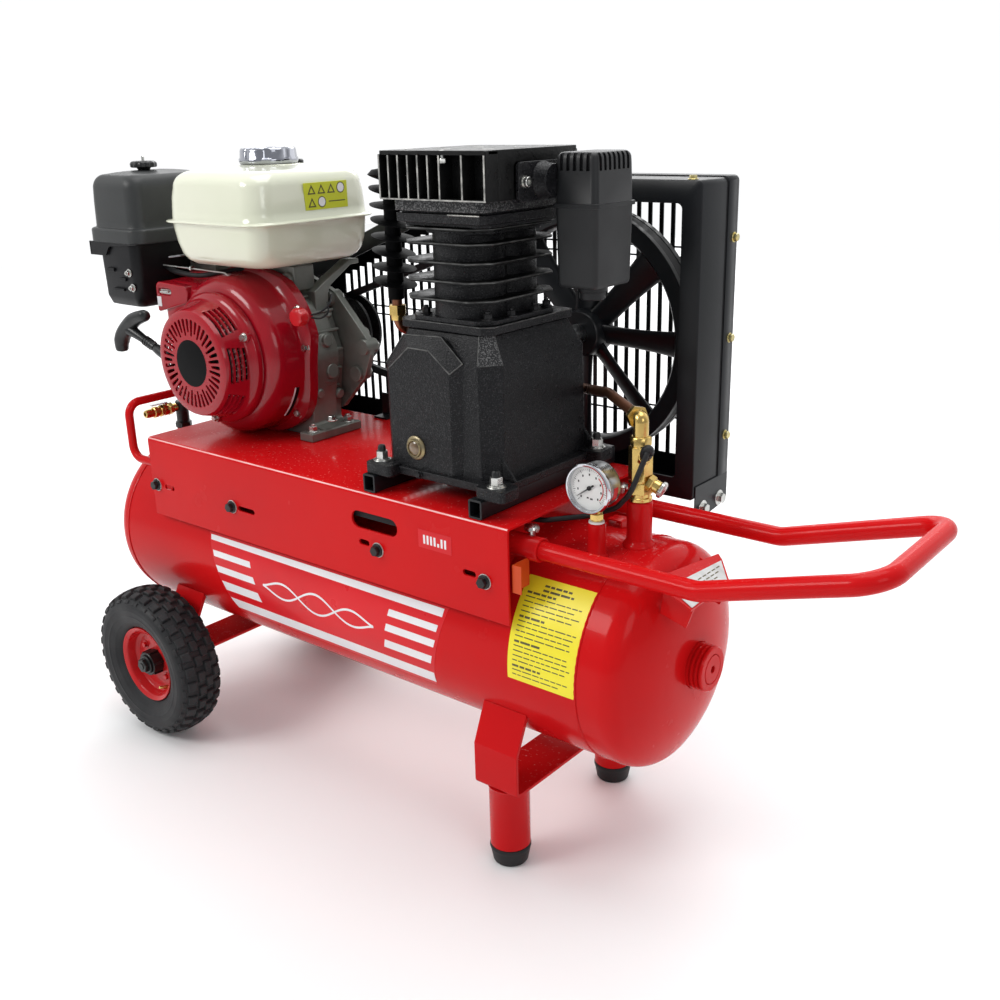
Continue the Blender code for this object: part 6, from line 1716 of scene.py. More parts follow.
def make_rails():
    """The two square rails under the pump."""
    for side in ("left", "right"):
        low, high = span("pump_rail_" + side)
        wall, round_out, round_in = 0.0028, 0.003, 0.0012
        middle = (low + high) / 2
        half_x, half_z = (high.x - low.x) / 2, (high.z - low.z) / 2
        outer = [(middle.x + p[0], middle.z + p[1])
                 for p in box_ring(half_x, half_z, 0, round_out, steps=5)]
        inner = [(middle.x + p[0], middle.z + p[1])
                 for p in box_ring(half_x - wall, half_z - wall, 0, round_in, steps=5)]
        rings = [[(x, low.y, z) for x, z in outer], [(x, high.y, z) for x, z in outer],
                 [(x, high.y, z) for x, z in inner], [(x, low.y, z) for x, z in inner]]
        piece("square_rail_" + side, Shape().skin(rings, loop=True), "guard", ROOT,
              ["pump_rail_" + side], bevel=0.0004)


CASE_X = PUMP_X - 0.010
CASE_FRONT = -0.118


def case_ring(half_x, front, back, z, chamfer):
    """One level of the pump's case, with chamfered front corners."""
    corners = [(CASE_X - half_x, front), (CASE_X + half_x, front), (CASE_X + half_x, back),
               (CASE_X - half_x, back)]
    points = []
    for (x, y), cut_size in zip(corners, (chamfer, chamfer, 0.006, 0.006)):
        sx, sy = (1 if x > CASE_X else -1), (1 if y > 0 else -1)
        first, second = (x, y - sy * cut_size), (x - sx * cut_size, y)
        points += [first, second] if sx * sy > 0 else [second, first]
    return [(x, y, z) for x, y in points]


def nut_stack(zinc, caps, at):
    """A nut on two washers, with the stud's end above it."""
    zinc.washer(at, UP, 0.0125, 0.0018)
    zinc.washer(at + Vector((0, 0, 0.0018)), UP, 0.0100, 0.0016)
    zinc.hexagon(at + Vector((0, 0, 0.0034)), UP, 0.0150, 0.0105, 0.35)
    caps.lathe([(0, 0.0), (0.0056, 0.0), (0.0056, 0.0055), (0.0040, 0.0085), (0, 0.0092)],
               at + Vector((0, 0, 0.0135)), UP, 20)


def make_pump_case():
    """The pump's case with its bearing, feet, sight glass and plug."""
    base, front = case_low.z, CASE_FRONT
    sole_top = base + 0.013
    shape = Shape()
    rings = [case_ring(0.0930, front - 0.002, 0.094, base + 0.008, 0.0220),
             case_ring(0.0910, front, 0.090, base + 0.020, 0.0220),
             case_ring(0.0890, front + 0.002, 0.088, 0.7000, 0.0230),
             case_ring(0.0740, front + 0.014, 0.072, 0.7362, 0.0140)]
    shape.skin(rings)
    shape.skin([case_ring(0.0790, front + 0.010, 0.076, z, 0.0120) for z in (0.7370, 0.7480)])
    sole_front, back = -0.131, 0.099
    sole = [(PUMP_X - 0.098, sole_front), (PUMP_X + 0.098, sole_front), (PUMP_X + 0.098, back),
            (PUMP_X - 0.098, back)]
    shape.slab([tuple(p) for p in filleted(sole, 0.008, 4)], (base + 0.0021, sole_top), "Z")
    feet = ((0.146, -0.130), (0.342, -0.130), (0.146, 0.084), (0.342, 0.084))
    for x, y in feet:
        corners = [(x - 0.024, y - 0.018), (x + 0.024, y - 0.018), (x + 0.024, y + 0.018),
                   (x - 0.024, y + 0.018)]
        shape.slab([tuple(p) for p in filleted(corners, 0.007, 4)], (base, base + 0.016), "Z")
    for x, sign in ((CASE_X - 0.0890, -1), (CASE_X + 0.0890, 1)):
        for y0, y1 in ((-0.100, -0.095), (0.082, 0.087)):
            outline = [(x, base + 0.014), (x + sign * 0.022, base + 0.014), (x, base + 0.044)]
            shape.slab(outline, (y0, y1))
    piece("crankcase_casting", shape, "cast", ROOT, ["pump_crankcase"], bevel=0.0016,
          segments=3, angle=24)
    bulge = Shape()
    wide = [(0.1440, 0.5490), (0.1440, 0.6880), (0.1780, 0.7290), (0.2440, 0.7320), (0.2790, 0.7010),
            (0.2790, 0.5490)]
    narrow = [(0.1560, 0.5490), (0.1560, 0.6820), (0.1940, 0.7140), (0.2290, 0.7135), (0.2640, 0.6870),
              (0.2640, 0.5490)]
    rings = []
    for y, blend in ((CASE_FRONT + 0.0060, 0.0), (CASE_FRONT + 0.0020, 0.0), (BULGE_Y + 0.0006, 0.96),
                     (BULGE_Y, 1.03)):
        rings.append([(a[0] + (b[0] - a[0]) * blend, y, a[1] + (b[1] - a[1]) * blend) for a,
                      b in zip(wide, narrow)])
    bulge.skin(rings)
    piece("bearing_bulge", bulge, "cast", ROOT, bevel=0.0014, segments=3, angle=20)
    # grey lines along the bulge, chamfer and top edges: partly worn bare edge, partly painted highlight
    rub_highlights = Shape()
    ridge = [(a[0] + (b[0] - a[0]) * 0.97, BULGE_Y + 0.0004, a[1] + (b[1] - a[1]) * 0.97) for a,
             b in zip(wide[1:5], narrow[1:5])]
    rub_highlights.sweep(ridge, 0.0009, sides=10)
    low_z, mid_z, top_z = base + 0.020, 0.7000, 0.7362
    first = [(CASE_X + 0.0690, front + 0.0008, low_z), (CASE_X + 0.0660, front + 0.0028, mid_z),
             (CASE_X + 0.0600, front + 0.0148, top_z)]
    second = [(CASE_X + 0.0902, front + 0.0226, low_z), (CASE_X + 0.0882, front + 0.0256, mid_z),
              (CASE_X + 0.0732, front + 0.0286, top_z)]
    for path in (first[1:], second[1:], [first[1], second[1]]):
        rub_highlights.sweep(path, 0.0009, sides=10)
    skirt = [(x, CASE_FRONT + 0.0016, z) for x, z in wide[1:5]]
    rub_highlights.sweep(skirt, 0.0008, sides=10)
    rub_highlights.sweep([ridge[-1], skirt[-1]], 0.0008, sides=10)
    top_edge = [(CASE_X - 0.066, front + 0.0104, 0.7474), (CASE_X + 0.0668, front + 0.0104, 0.7474),
                (CASE_X + 0.0786, front + 0.0222, 0.7474), (CASE_X + 0.0786, 0.070, 0.7474)]
    rub_highlights.sweep(top_edge, 0.0008, sides=10)
    piece("case_edge_rub_and_highlight", rub_highlights, "rim_rub_highlight", ROOT, angle=60)
    # a speckled pale sheet on the front right chamfer: a painted highlight
    corners = [Vector(first[1]), Vector(first[2]), Vector(second[2]), Vector(second[1])]
    lift = Vector((0.0010, -0.0010, 0.0005))
    highlight_sheet = Shape().skin([corners, [corner + lift for corner in corners]])
    piece("case_chamfer_painted_highlight", highlight_sheet, "sanded_and_highlight", ROOT)
    shaft_seal = Shape().lathe([(PUMP_SHAFT_RADIUS + 0.0005, 0.086), (0.044, 0.086), (0.044, 0.0935),
                                (0.042, 0.0950), (0.030, 0.0955), (0.028, 0.0985),
                                (PUMP_SHAFT_RADIUS + 0.0005, 0.0985)], (PUMP_X, 0, PUMP_Z), BACK, 56)
    piece("rear_bearing", shaft_seal, "cast", ROOT, bevel=0.0008)
    seal_bolts = Shape()
    for k in range(6):
        a = math.radians(60 * k + 30)
        seal_bolts.bolt((PUMP_X + 0.0365 * math.cos(a), 0.0953, PUMP_Z + 0.0365 * math.sin(a)), BACK,
                        0.0080, 0.0048, washer=0.0064)
    piece("rear_bearing_bolts", seal_bolts, "zinc", ROOT)
    zinc, caps = Shape(), Shape()
    for x, y in ((0.1390, -0.1300), (0.3430, -0.1330), (0.1390, 0.0880), (0.3480, 0.0850)):
        nut_stack(zinc, caps, Vector((x, y, base + 0.016)))
    piece("pump_foot_nuts", zinc, "zinc", ROOT)
    piece("pump_foot_studs", caps, "satin", ROOT)
    sight = Shape()
    spot = Vector((SIGHT_X, BULGE_Y, SIGHT_Z))
    sight.lathe([(0.0098, 0.0), (0.0165, 0.0), (0.0165, 0.0016), (0.0152, 0.0028), (0.0128, 0.0034),
                 (0.0118, 0.0060), (0.0105, 0.0064), (0.0098, 0.0052)], spot, FRONT, 48)
    piece("sight_ring", sight, "brass_dull", ROOT)
    lens = Shape().lathe([(0, 0.0), (0.0100, 0.0), (0.0100, 0.0040), (0.0080, 0.0058), (0.0040, 0.0066),
                          (0, 0.0068)], spot, FRONT, 40)
    piece("sight_lens", lens, "sight", ROOT)
    plug = Shape().lathe([(0, 0.0), (0.0058, 0.0), (0.0058, 0.0012), (0.0050, 0.0018), (0, 0.0018)],
                         (SIGHT_X + 0.008, sole_front, base + 0.0080), FRONT, 28)
    plug.hexagon((SIGHT_X + 0.008, sole_front - 0.0016, base + 0.0080), FRONT, 0.0080, 0.0034, 0.3)
    piece("oil_drain_plug", plug, "cast", ROOT)


SIGHT_X = 0.2005
SIGHT_Z = 0.5802
BULGE_Y = -0.1260


def fin_outline(half_x, front, back, chamfer, middle=None):
    """The outline of a fin or flange of the pump's cylinder."""
    middle = PUMP_X if middle is None else middle
    corners = [(middle - half_x, front), (middle + half_x, front), (middle + half_x, back),
               (middle - half_x, back)]
    points = []
    for x, y in corners:
        sx, sy = (1 if x > middle else -1), (1 if y > 0 else -1)
        first, second = (x, y - sy * chamfer), (x - sx * chamfer, y)
        points += [first, second] if sx * sy > 0 else [second, first]
    return [tuple(p) for p in filleted(points, chamfer * 0.35, 4)]


def make_pump_cylinder():
    """The pump's barrels with their fins, flange and nuts."""
    low, high = span("pump_cylinder")
    core = Shape()
    for y in CYLINDER_Y:
        core.lathe([(0.0270, low.z + 0.0005), (0.0470, low.z + 0.0005), (0.0470, high.z - 0.010),
                    (0.0270, high.z - 0.010)], (PUMP_X, y, 0),
                   UP, 64)
    core.box((PUMP_X - 0.0300, CYLINDER_Y[0], low.z + 0.0005),
             (PUMP_X + 0.0300, CYLINDER_Y[1], high.z - 0.010))
    core.slab(fin_outline(0.0690, -0.1060, 0.0520, 0.018, PUMP_X - 0.004), (low.z, low.z + 0.0062), "Z")
    piece("cylinder_barrels", core, "cast", ROOT, ["pump_cylinder"], bevel=0.0008, angle=40)
    fins, rims = Shape(), Shape()
    middle = PUMP_X - 0.007
    for z in (0.7760, 0.7993, 0.8226, 0.8459, 0.8640):
        rings = [[(x, y, level) for x, y in fin_outline(0.0730 - inset, -0.1140 + inset, 0.0560 - inset,
                                                        0.024, middle)]
                 for level, inset in ((z, 0.0010), (z + 0.0006, 0.0002), (z + 0.0018, 0.0),
                                      (z + 0.0030, 0.0002), (z + 0.0036, 0.0010))]
        fins.skin(rings)
        # grey rims round each fin's edge: partly worn bare edge, partly painted highlight
        rings = [[(x, y, level) for x, y in fin_outline(0.0730 - inset, -0.1140 + inset, 0.0560 - inset,
                                                        0.024, middle)]
                 for level, inset in ((z + 0.0020, 0.0006), (z + 0.0020, -0.0002), (z + 0.0033, -0.0001),
                                      (z + 0.0038, 0.0012))]
        rims.skin(rings, loop=True)
    piece("cylinder_fins", fins, "fins", ROOT, angle=42)
    piece("cylinder_fin_rims", rims, "rim_rub_highlight", ROOT, angle=60)
    top = Shape()
    top.slab(fin_outline(0.0700, -0.1100, 0.0480, 0.010), (0.8690, 0.8738), "Z")
    top.slab(fin_outline(0.0560, -0.0980, 0.0400, 0.020), (0.8590, 0.8700), "Z")
    piece("cylinder_top_flange", top, "cast", ROOT, bevel=0.0012, segments=3)
    zinc = Shape()
    for x, y in ((-0.052, -0.088), (0.0, -0.094), (0.052, -0.088), (0.0600, -0.050), (0.0600, -0.002),
                 (0.052, 0.036), (-0.052, 0.036), (-0.0600, -0.026)):
        zinc.bolt((PUMP_X + x, y, low.z + 0.0062), UP, 0.0100, 0.0065, washer=0.0080, turn=x * 90,
                  stud=0.0035)
    piece("cylinder_base_nuts", zinc, "dark_bolt", ROOT)


HEAD_FIN_FRACTIONS = (0.0, 0.094, 0.190, 0.286, 0.383, 0.480, 0.588, 0.797, 1.0)


HEAD_X = PUMP_X + 0.005


def make_pump_head():
    """The valve plates and the finned head on top of the pump."""
    plate = Shape()
    plate.slab(fin_outline(0.0740, -0.1180, 0.0500, 0.006), (head_low.z, 0.8850), "Z")
    plate.slab(fin_outline(0.0700, -0.1120, 0.0440, 0.006), (0.8845, 0.8885), "Z")
    piece("valve_plates", plate, "cast", ROOT, ["pump_head"], bevel=0.0012, segments=3)
    sanded_and_highlight = Shape().slab(fin_outline(0.0740, -0.1200, 0.0500, 0.006), (0.8880, 0.9024), "Z")
    piece("head_gasket_plate", sanded_and_highlight, "sanded_and_highlight", ROOT, bevel=0.0012, segments=3)
    # a pale line along the valve plate's front ledge: partly worn bare edge, partly painted highlight
    ledge = Shape().sweep([(PUMP_X + 0.0180, -0.1180, 0.8844), (PUMP_X + 0.0680, -0.1180, 0.8844)],
                          0.0010, sides=10)
    piece("plate_ledge_rub_and_highlight", ledge, "bare_edge_highlight", ROOT, angle=60)
    core = Shape()
    core.slab(fin_outline(0.0880, -0.1120, 0.0460, 0.003, HEAD_X), (0.9018, 0.9565), "Z")
    core.box((HEAD_X + 0.0850, -0.1336, 0.9025), (HEAD_X + 0.0880, -0.1100, 0.9600))
    core.slab(fin_outline(0.0880, -0.1338, 0.0520, 0.003, HEAD_X), (0.9020, 0.9044), "Z")
    core.slab(fin_outline(0.0880, -0.1320, 0.0520, 0.004, HEAD_X), (0.9550, 0.9605), "Z")
    piece("head_casting", core, "fins", ROOT, bevel=0.0012, segments=3)
    fins, edges = Shape(), Shape()
    for fraction in HEAD_FIN_FRACTIONS:
        x = PUMP_X - 0.0795 + 0.1700 * fraction
        rings = []
        for y, half in ((-0.1338, 0.0010), (-0.1330, 0.0015), (-0.1080, 0.0024)):
            rings.append([(x - half, y, 0.9030), (x + half, y, 0.9030), (x + half, y, 0.9560),
                          (x - half, y, 0.9560)])
        fins.skin(rings)
        rings = []
        for y, half in ((0.0520, 0.0010), (0.0512, 0.0015), (0.0440, 0.0024)):
            rings.append([(x - half, y, 0.9030), (x + half, y, 0.9030), (x + half, y, 0.9560),
                          (x - half, y, 0.9560)])
        fins.skin(rings)
        # pale strips on each fin's front edge: partly worn bare metal, partly painted highlight
        edges.box((x - 0.0011, -0.1342, 0.9036), (x + 0.0011, -0.1336, 0.9550))
    edges.box((HEAD_X - 0.0845, -0.1342, 0.9021), (HEAD_X + 0.0870, -0.1336, 0.9038))
    piece("head_fins", fins, "fins", ROOT)
    piece("head_fin_edges", edges, "bare_edge_highlight", ROOT)
    bolts = Shape()
    for x in (-0.0650, 0.0, 0.0650):
        for y in (-0.0950, -0.0330, 0.0300):
            bolts.lathe([(0, 0), (0.0078, 0), (0.0078, 0.0008), (0, 0.0008)], (PUMP_X + x, y, 0.9600), UP,
                        24)
    piece("head_bolt_seats", bolts, "bare_edge_highlight", ROOT)
    bolt = Shape().rod((PUMP_X + 0.022, -0.1290, 0.9490), (PUMP_X + 0.022, -0.1290, 0.9608), 0.0028,
                       sides=16, bevel=0.0005)
    bolt.hexagon((PUMP_X + 0.022, -0.1290, 0.9460), UP, 0.0088, 0.0055)
    piece("head_front_screw", bolt, "zinc", ROOT)


filter_low, filter_high = span("filter_housing")


def make_intake():
    """The intake elbow and the square filter box it carries."""
    low, high = span("intake_pipe")
    y, z = (low.y + high.y) / 2, (low.z + high.z) / 2 + 0.004
    shape = Shape()
    for x0, x1, half_y, half_z in ((PUMP_X + 0.0885, PUMP_X + 0.0930, 0.0520, 0.0250),
                                   (PUMP_X + 0.0934, PUMP_X + 0.0985, 0.0490, 0.0235)):
        outline = [(y + p[0], z + p[1]) for p in box_ring(half_y, half_z, 0, 0.008, steps=5)]
        shape.slab(outline, (x0, x1), "X")
    start = PUMP_X + 0.0980
    reach = filter_low.x - start
    shape.lathe([(0, 0), (0.0235, 0), (0.0225, 0.0030), (0.0205, 0.0060), (0.0200, reach + 0.0010),
                 (0, reach + 0.0010)], (start, y, z), RIGHT, 56)
    piece("intake_elbow", shape, "cast", ROOT, ["intake_pipe"], bevel=0.0010, segments=3)
    screws = Shape()
    for dy in (-0.0370, 0.0370):
        screws.lathe([(0, 0), (0.0078, 0), (0.0078, 0.0012), (0.0062, 0.0014), (0.0062, 0.0060),
                      (0.0054, 0.0068), (0.0034, 0.0068), (0.0034, 0.0035), (0, 0.0035)],
                     (PUMP_X + 0.0985, y + dy, z), RIGHT, 28)
    piece("intake_screws", screws, "zinc", ROOT)
    centre = ((filter_low.x + filter_high.x) / 2 - 0.002, (filter_low.y + filter_high.y) / 2)
    half_x, half_y = (filter_high.x - filter_low.x) / 2 + 0.0020, (filter_high.y
            - filter_low.y) / 2 - 0.0022
    corner = 0.0075
    levels = [(0.7920, 0.0080, 0.004), (0.7926, 0.0050, 0.006), (0.7945, 0.0034, corner),
              (0.7980, 0.0028, corner), (0.8880, 0.0012, corner), (0.8890, 0.0010, corner),
              (0.8894, -0.0014, corner), (0.8942, -0.0014, corner), (0.8946, 0.0008, corner),
              (0.8952, 0.0012, corner), (0.9400, 0.0022, corner)]
    levels += [(z_top, inset, corner) for z_top, inset in dome_levels(0.9450, 0.9546, 0.0024, 0.0085, 6)]
    levels += [(0.9550, 0.0170, 0.004)]
    rings = [box_ring(half_x - inset, half_y - inset, level, min(radius, half_x - inset - 0.001), centre,
                      steps=6) for level, inset, radius in levels]
    item = piece("filter_box", Shape().skin(rings), "filter", ROOT,
                 ["filter_housing"], angle=40)
    slots = Shape()
    front = centre[1] - half_y
    right = centre[0] + half_x
    for k in range(5):
        x = centre[0] - 0.0225 + 0.0097 * k
        slots.box((x, front - 0.004, 0.9330), (x + 0.0052, front + 0.0062, 0.9600))
    for k in range(7):
        yy = centre[1] - 0.0340 + 0.0100 * k
        slots.box((right - 0.0062, yy, 0.9330), (right + 0.004, yy + 0.0052, 0.9600))
    cut(item, slots)
    at = (centre[0] + 0.004, centre[1] - 0.010, 0)
    spigot = Shape().lathe([(0, 0.7760), (0.0150, 0.7760), (0.0165, 0.7772), (0.0165, 0.7855),
                            (0.0190, 0.7865), (0.0190, 0.7930), (0, 0.7930)],
                           at, UP, 44)
    piece("filter_spigot", spigot, "filter", ROOT)


def make_cooler():
    """The finned cooler and the copper line that leaves it."""
    low, high = span("aftercooler")
    x, y = (low.x + high.x) / 2, (low.y + high.y) / 2
    radius = (high.x - low.x) / 2
    shape = Shape().lathe([(0, low.z), (0.0100, low.z), (0.0110, low.z + 0.002), (0.0110, 0.9200),
                           (0.0250, 0.9255), (0.0300, 0.9285), (0.0240, 0.9345),
                           (0.0100, high.z - 0.0005), (0, high.z)], (x, y, 0), UP, 40)
    top = 0.9080
    for fin in range(7):
        tilt = 9 if fin % 2 else 13
        turn = Matrix.Translation((x, y, top)) @ Matrix.Rotation(math.radians(tilt), 4, "Y")
        rings = []
        reach = radius - 0.0012
        for r, h in ((0, 0.0030), (0.010, 0.0034), (reach * 0.72, 0.0020), (reach, -0.0002),
                     (reach * 0.985, -0.0012), (reach * 0.70, -0.0006), (0.010, -0.0024), (0, -0.0030)):
            rings.append([(0, 0, h)] if r == 0 else circle(r, h, 40))
        shape.skin(rings, turn)
        top -= 0.0200
    piece("aftercooler_fins", shape, "cooler", ROOT, ["aftercooler"], angle=40)
    route = [(x, y + 0.001, 0.7647), (x, y + 0.001, 0.722), (x + 0.002, 0.104, 0.700),
             (0.200, 0.110, 0.640), (0.310, 0.104, 0.630), (0.390, 0.050, 0.6450),
             (0.4640, -0.0015, 0.6385)]
    path = filleted(route, 0.030, steps=10, closed=False)
    piece("copper_delivery", Shape().sweep(path, 0.0070, sides=24), "copper", ROOT,
          ["delivery_pipe"], angle=60)
    nuts = Shape()
    nuts.hexagon((x, y + 0.001, 0.7440), UP, 0.0220, 0.0130, 0.2, dome=0.0014)
    nuts.lathe([(0.0076, 0), (0.0095, 0), (0.0100, 0.002), (0.0100, 0.0080), (0.0076, 0.0080)],
               (x, y + 0.001, 0.7365), UP, 28)
    piece("cooler_nut", nuts, "brass", ROOT)


SPOKES = 8


def make_pump_rotor():
    """What turns in the pump: crank and spoked flywheel."""
    shaft = Shape()
    r = PUMP_SHAFT_RADIUS
    shaft.lathe([(0, pump_high.y), (0.0045, pump_high.y), (r - 0.0012, pump_high.y),
                 (r, pump_high.y - 0.0012), (r, 0.058), (0.040, 0.058), (0.040, 0.044), (0.012, 0.044),
                 (0.012, -0.060), (0.040, -0.060), (0.040, -0.074), (0, -0.074)],
                (PUMP_X, 0, PUMP_Z), BACK, 56)
    piece("pump_crank", shaft, "steel", "pump_rotor", ["pump_crankshaft"])
    low, high = span("pump_flywheel")
    outer = (high.z - low.z) / 2
    outer = max(outer, 0.185)
    half = 0.019
    top = BELT_TOP_WIDTH / 2 + 0.0006
    depth = BELT_DEPTH + 0.003
    floor = top - depth * math.tan(math.radians(19)) - 0.0002
    wheel = Shape()
    rim = [(outer - 0.0008, half), (outer, half - 0.0008), (outer, top), (outer - depth, floor),
           (outer - depth, -floor), (outer, -top), (outer, -half + 0.0008), (outer - 0.0008, -half),
           (outer - 0.0225, -half), (outer - 0.0255, -half + 0.003), (outer - 0.0275, -0.0060),
           (outer - 0.0275, 0.0060), (outer - 0.0255, half - 0.003), (outer - 0.0225, half)]
    at = Vector((PUMP_X, BELT_Y, PUMP_Z))
    wheel.lathe(rim, at, BACK, 128)
    bore = PUMP_SHAFT_RADIUS + GAP
    wheel.lathe([(bore, -0.0240), (0.0320, -0.0240), (0.0340, -0.0220), (0.0360, -0.0100),
                 (0.0360, 0.0100), (0.0340, 0.0205), (0.0325, 0.0220), (bore, 0.0220)], at, BACK, 64)
    for spoke in range(SPOKES):
        angle = math.radians(-2 + 360 / SPOKES * spoke)
        turn = Matrix.Translation(at) @ Matrix.Rotation(-angle, 4, "Y")
        twist = Matrix.Rotation(math.radians(34), 4, "X")
        rings = []
        for k in range(9):
            t = k / 8
            reach = 0.030 + (outer - 0.0240 - 0.030) * t
            width = 0.0190 + 0.0080 * t - 0.0030 * math.sin(math.pi * t)
            thick = 0.0052 + 0.0016 * abs(2 * t - 1) ** 3
            ring = []
            for i in range(16):
                a = 2 * math.pi * i / 16
                ring.append(twist @ Vector((reach,
                                            thick * math.copysign(abs(math.sin(a)) ** 0.8, math.sin(a)),
                                            width * math.cos(a))))
            rings.append(ring)
        wheel.skin(rings, turn)
    piece("spoked_flywheel", wheel, "guard", "pump_rotor", ["pump_flywheel"], angle=40)
    nut = Shape()
    nut.washer(at + Vector((0, 0.0222, 0)), BACK, 0.0260, 0.0016)
    piece("flywheel_washer", nut, "zinc", "pump_rotor")


def belt_ring(small_radius, big_radius, y):
    """The belt's path around both pulleys at one depth."""
    big, small = Vector((PUMP_X, PUMP_Z)), Vector((CRANK_X, CRANK_Z))
    between = big - small
    lean = math.asin((big_radius - small_radius) / between.length)
    heading = math.atan2(between.y, between.x)
    top_angle = math.degrees(heading + math.pi / 2 + lean)
    low_angle = math.degrees(heading - math.pi / 2 - lean)
    points = arc(big, big_radius, low_angle, top_angle, 96) + arc(small, small_radius, top_angle,
            low_angle + 360, 48)
    return [(px, y, pz) for px, pz in points]


def make_belt():
    """The drive belt over both pulleys."""
    top = BELT_TOP_WIDTH / 2 - 0.0002
    low = top - BELT_DEPTH * math.tan(math.radians(19))
    small, big = 0.0615, 0.1845
    rings = [belt_ring(small - 0.0006, big - 0.0006, BELT_Y - top),
             belt_ring(small, big, BELT_Y - top + 0.0007), belt_ring(small, big, BELT_Y + top - 0.0007),
             belt_ring(small - 0.0006, big - 0.0006, BELT_Y + top),
             belt_ring(small - BELT_DEPTH, big - BELT_DEPTH, BELT_Y + low),
             belt_ring(small - BELT_DEPTH, big - BELT_DEPTH, BELT_Y - low)]
    piece("drive_belt", Shape().skin(rings, loop=True), "rubber", ROOT, ["v_belt"], angle=40)


# ---------------------------------------------------------------- belt guard

tray_low, tray_high = span("guard_tray")
cover_low, cover_high = span("guard_cover")
GUARD_SHEET = 0.002
GUARD_LIP = 0.030


def guard_ring(y, inset):
    """The guard's outline at one depth, drawn in by inset, with its corner cut over the pulley."""
    left, right, top, low = tray_low.x, tray_high.x, tray_high.z, tray_low.z
    corners = [(left + inset, low + inset), (right - inset, low + inset), (right - inset, top - inset),
               (0.060 + inset * 0.4, top - inset), (left + inset, 0.745 - inset * 0.6)]
    return [(p.x, y, p.y) for p in filleted(corners, [0.02, 0.006, 0.008, 0.05, 0.03], steps=8)]


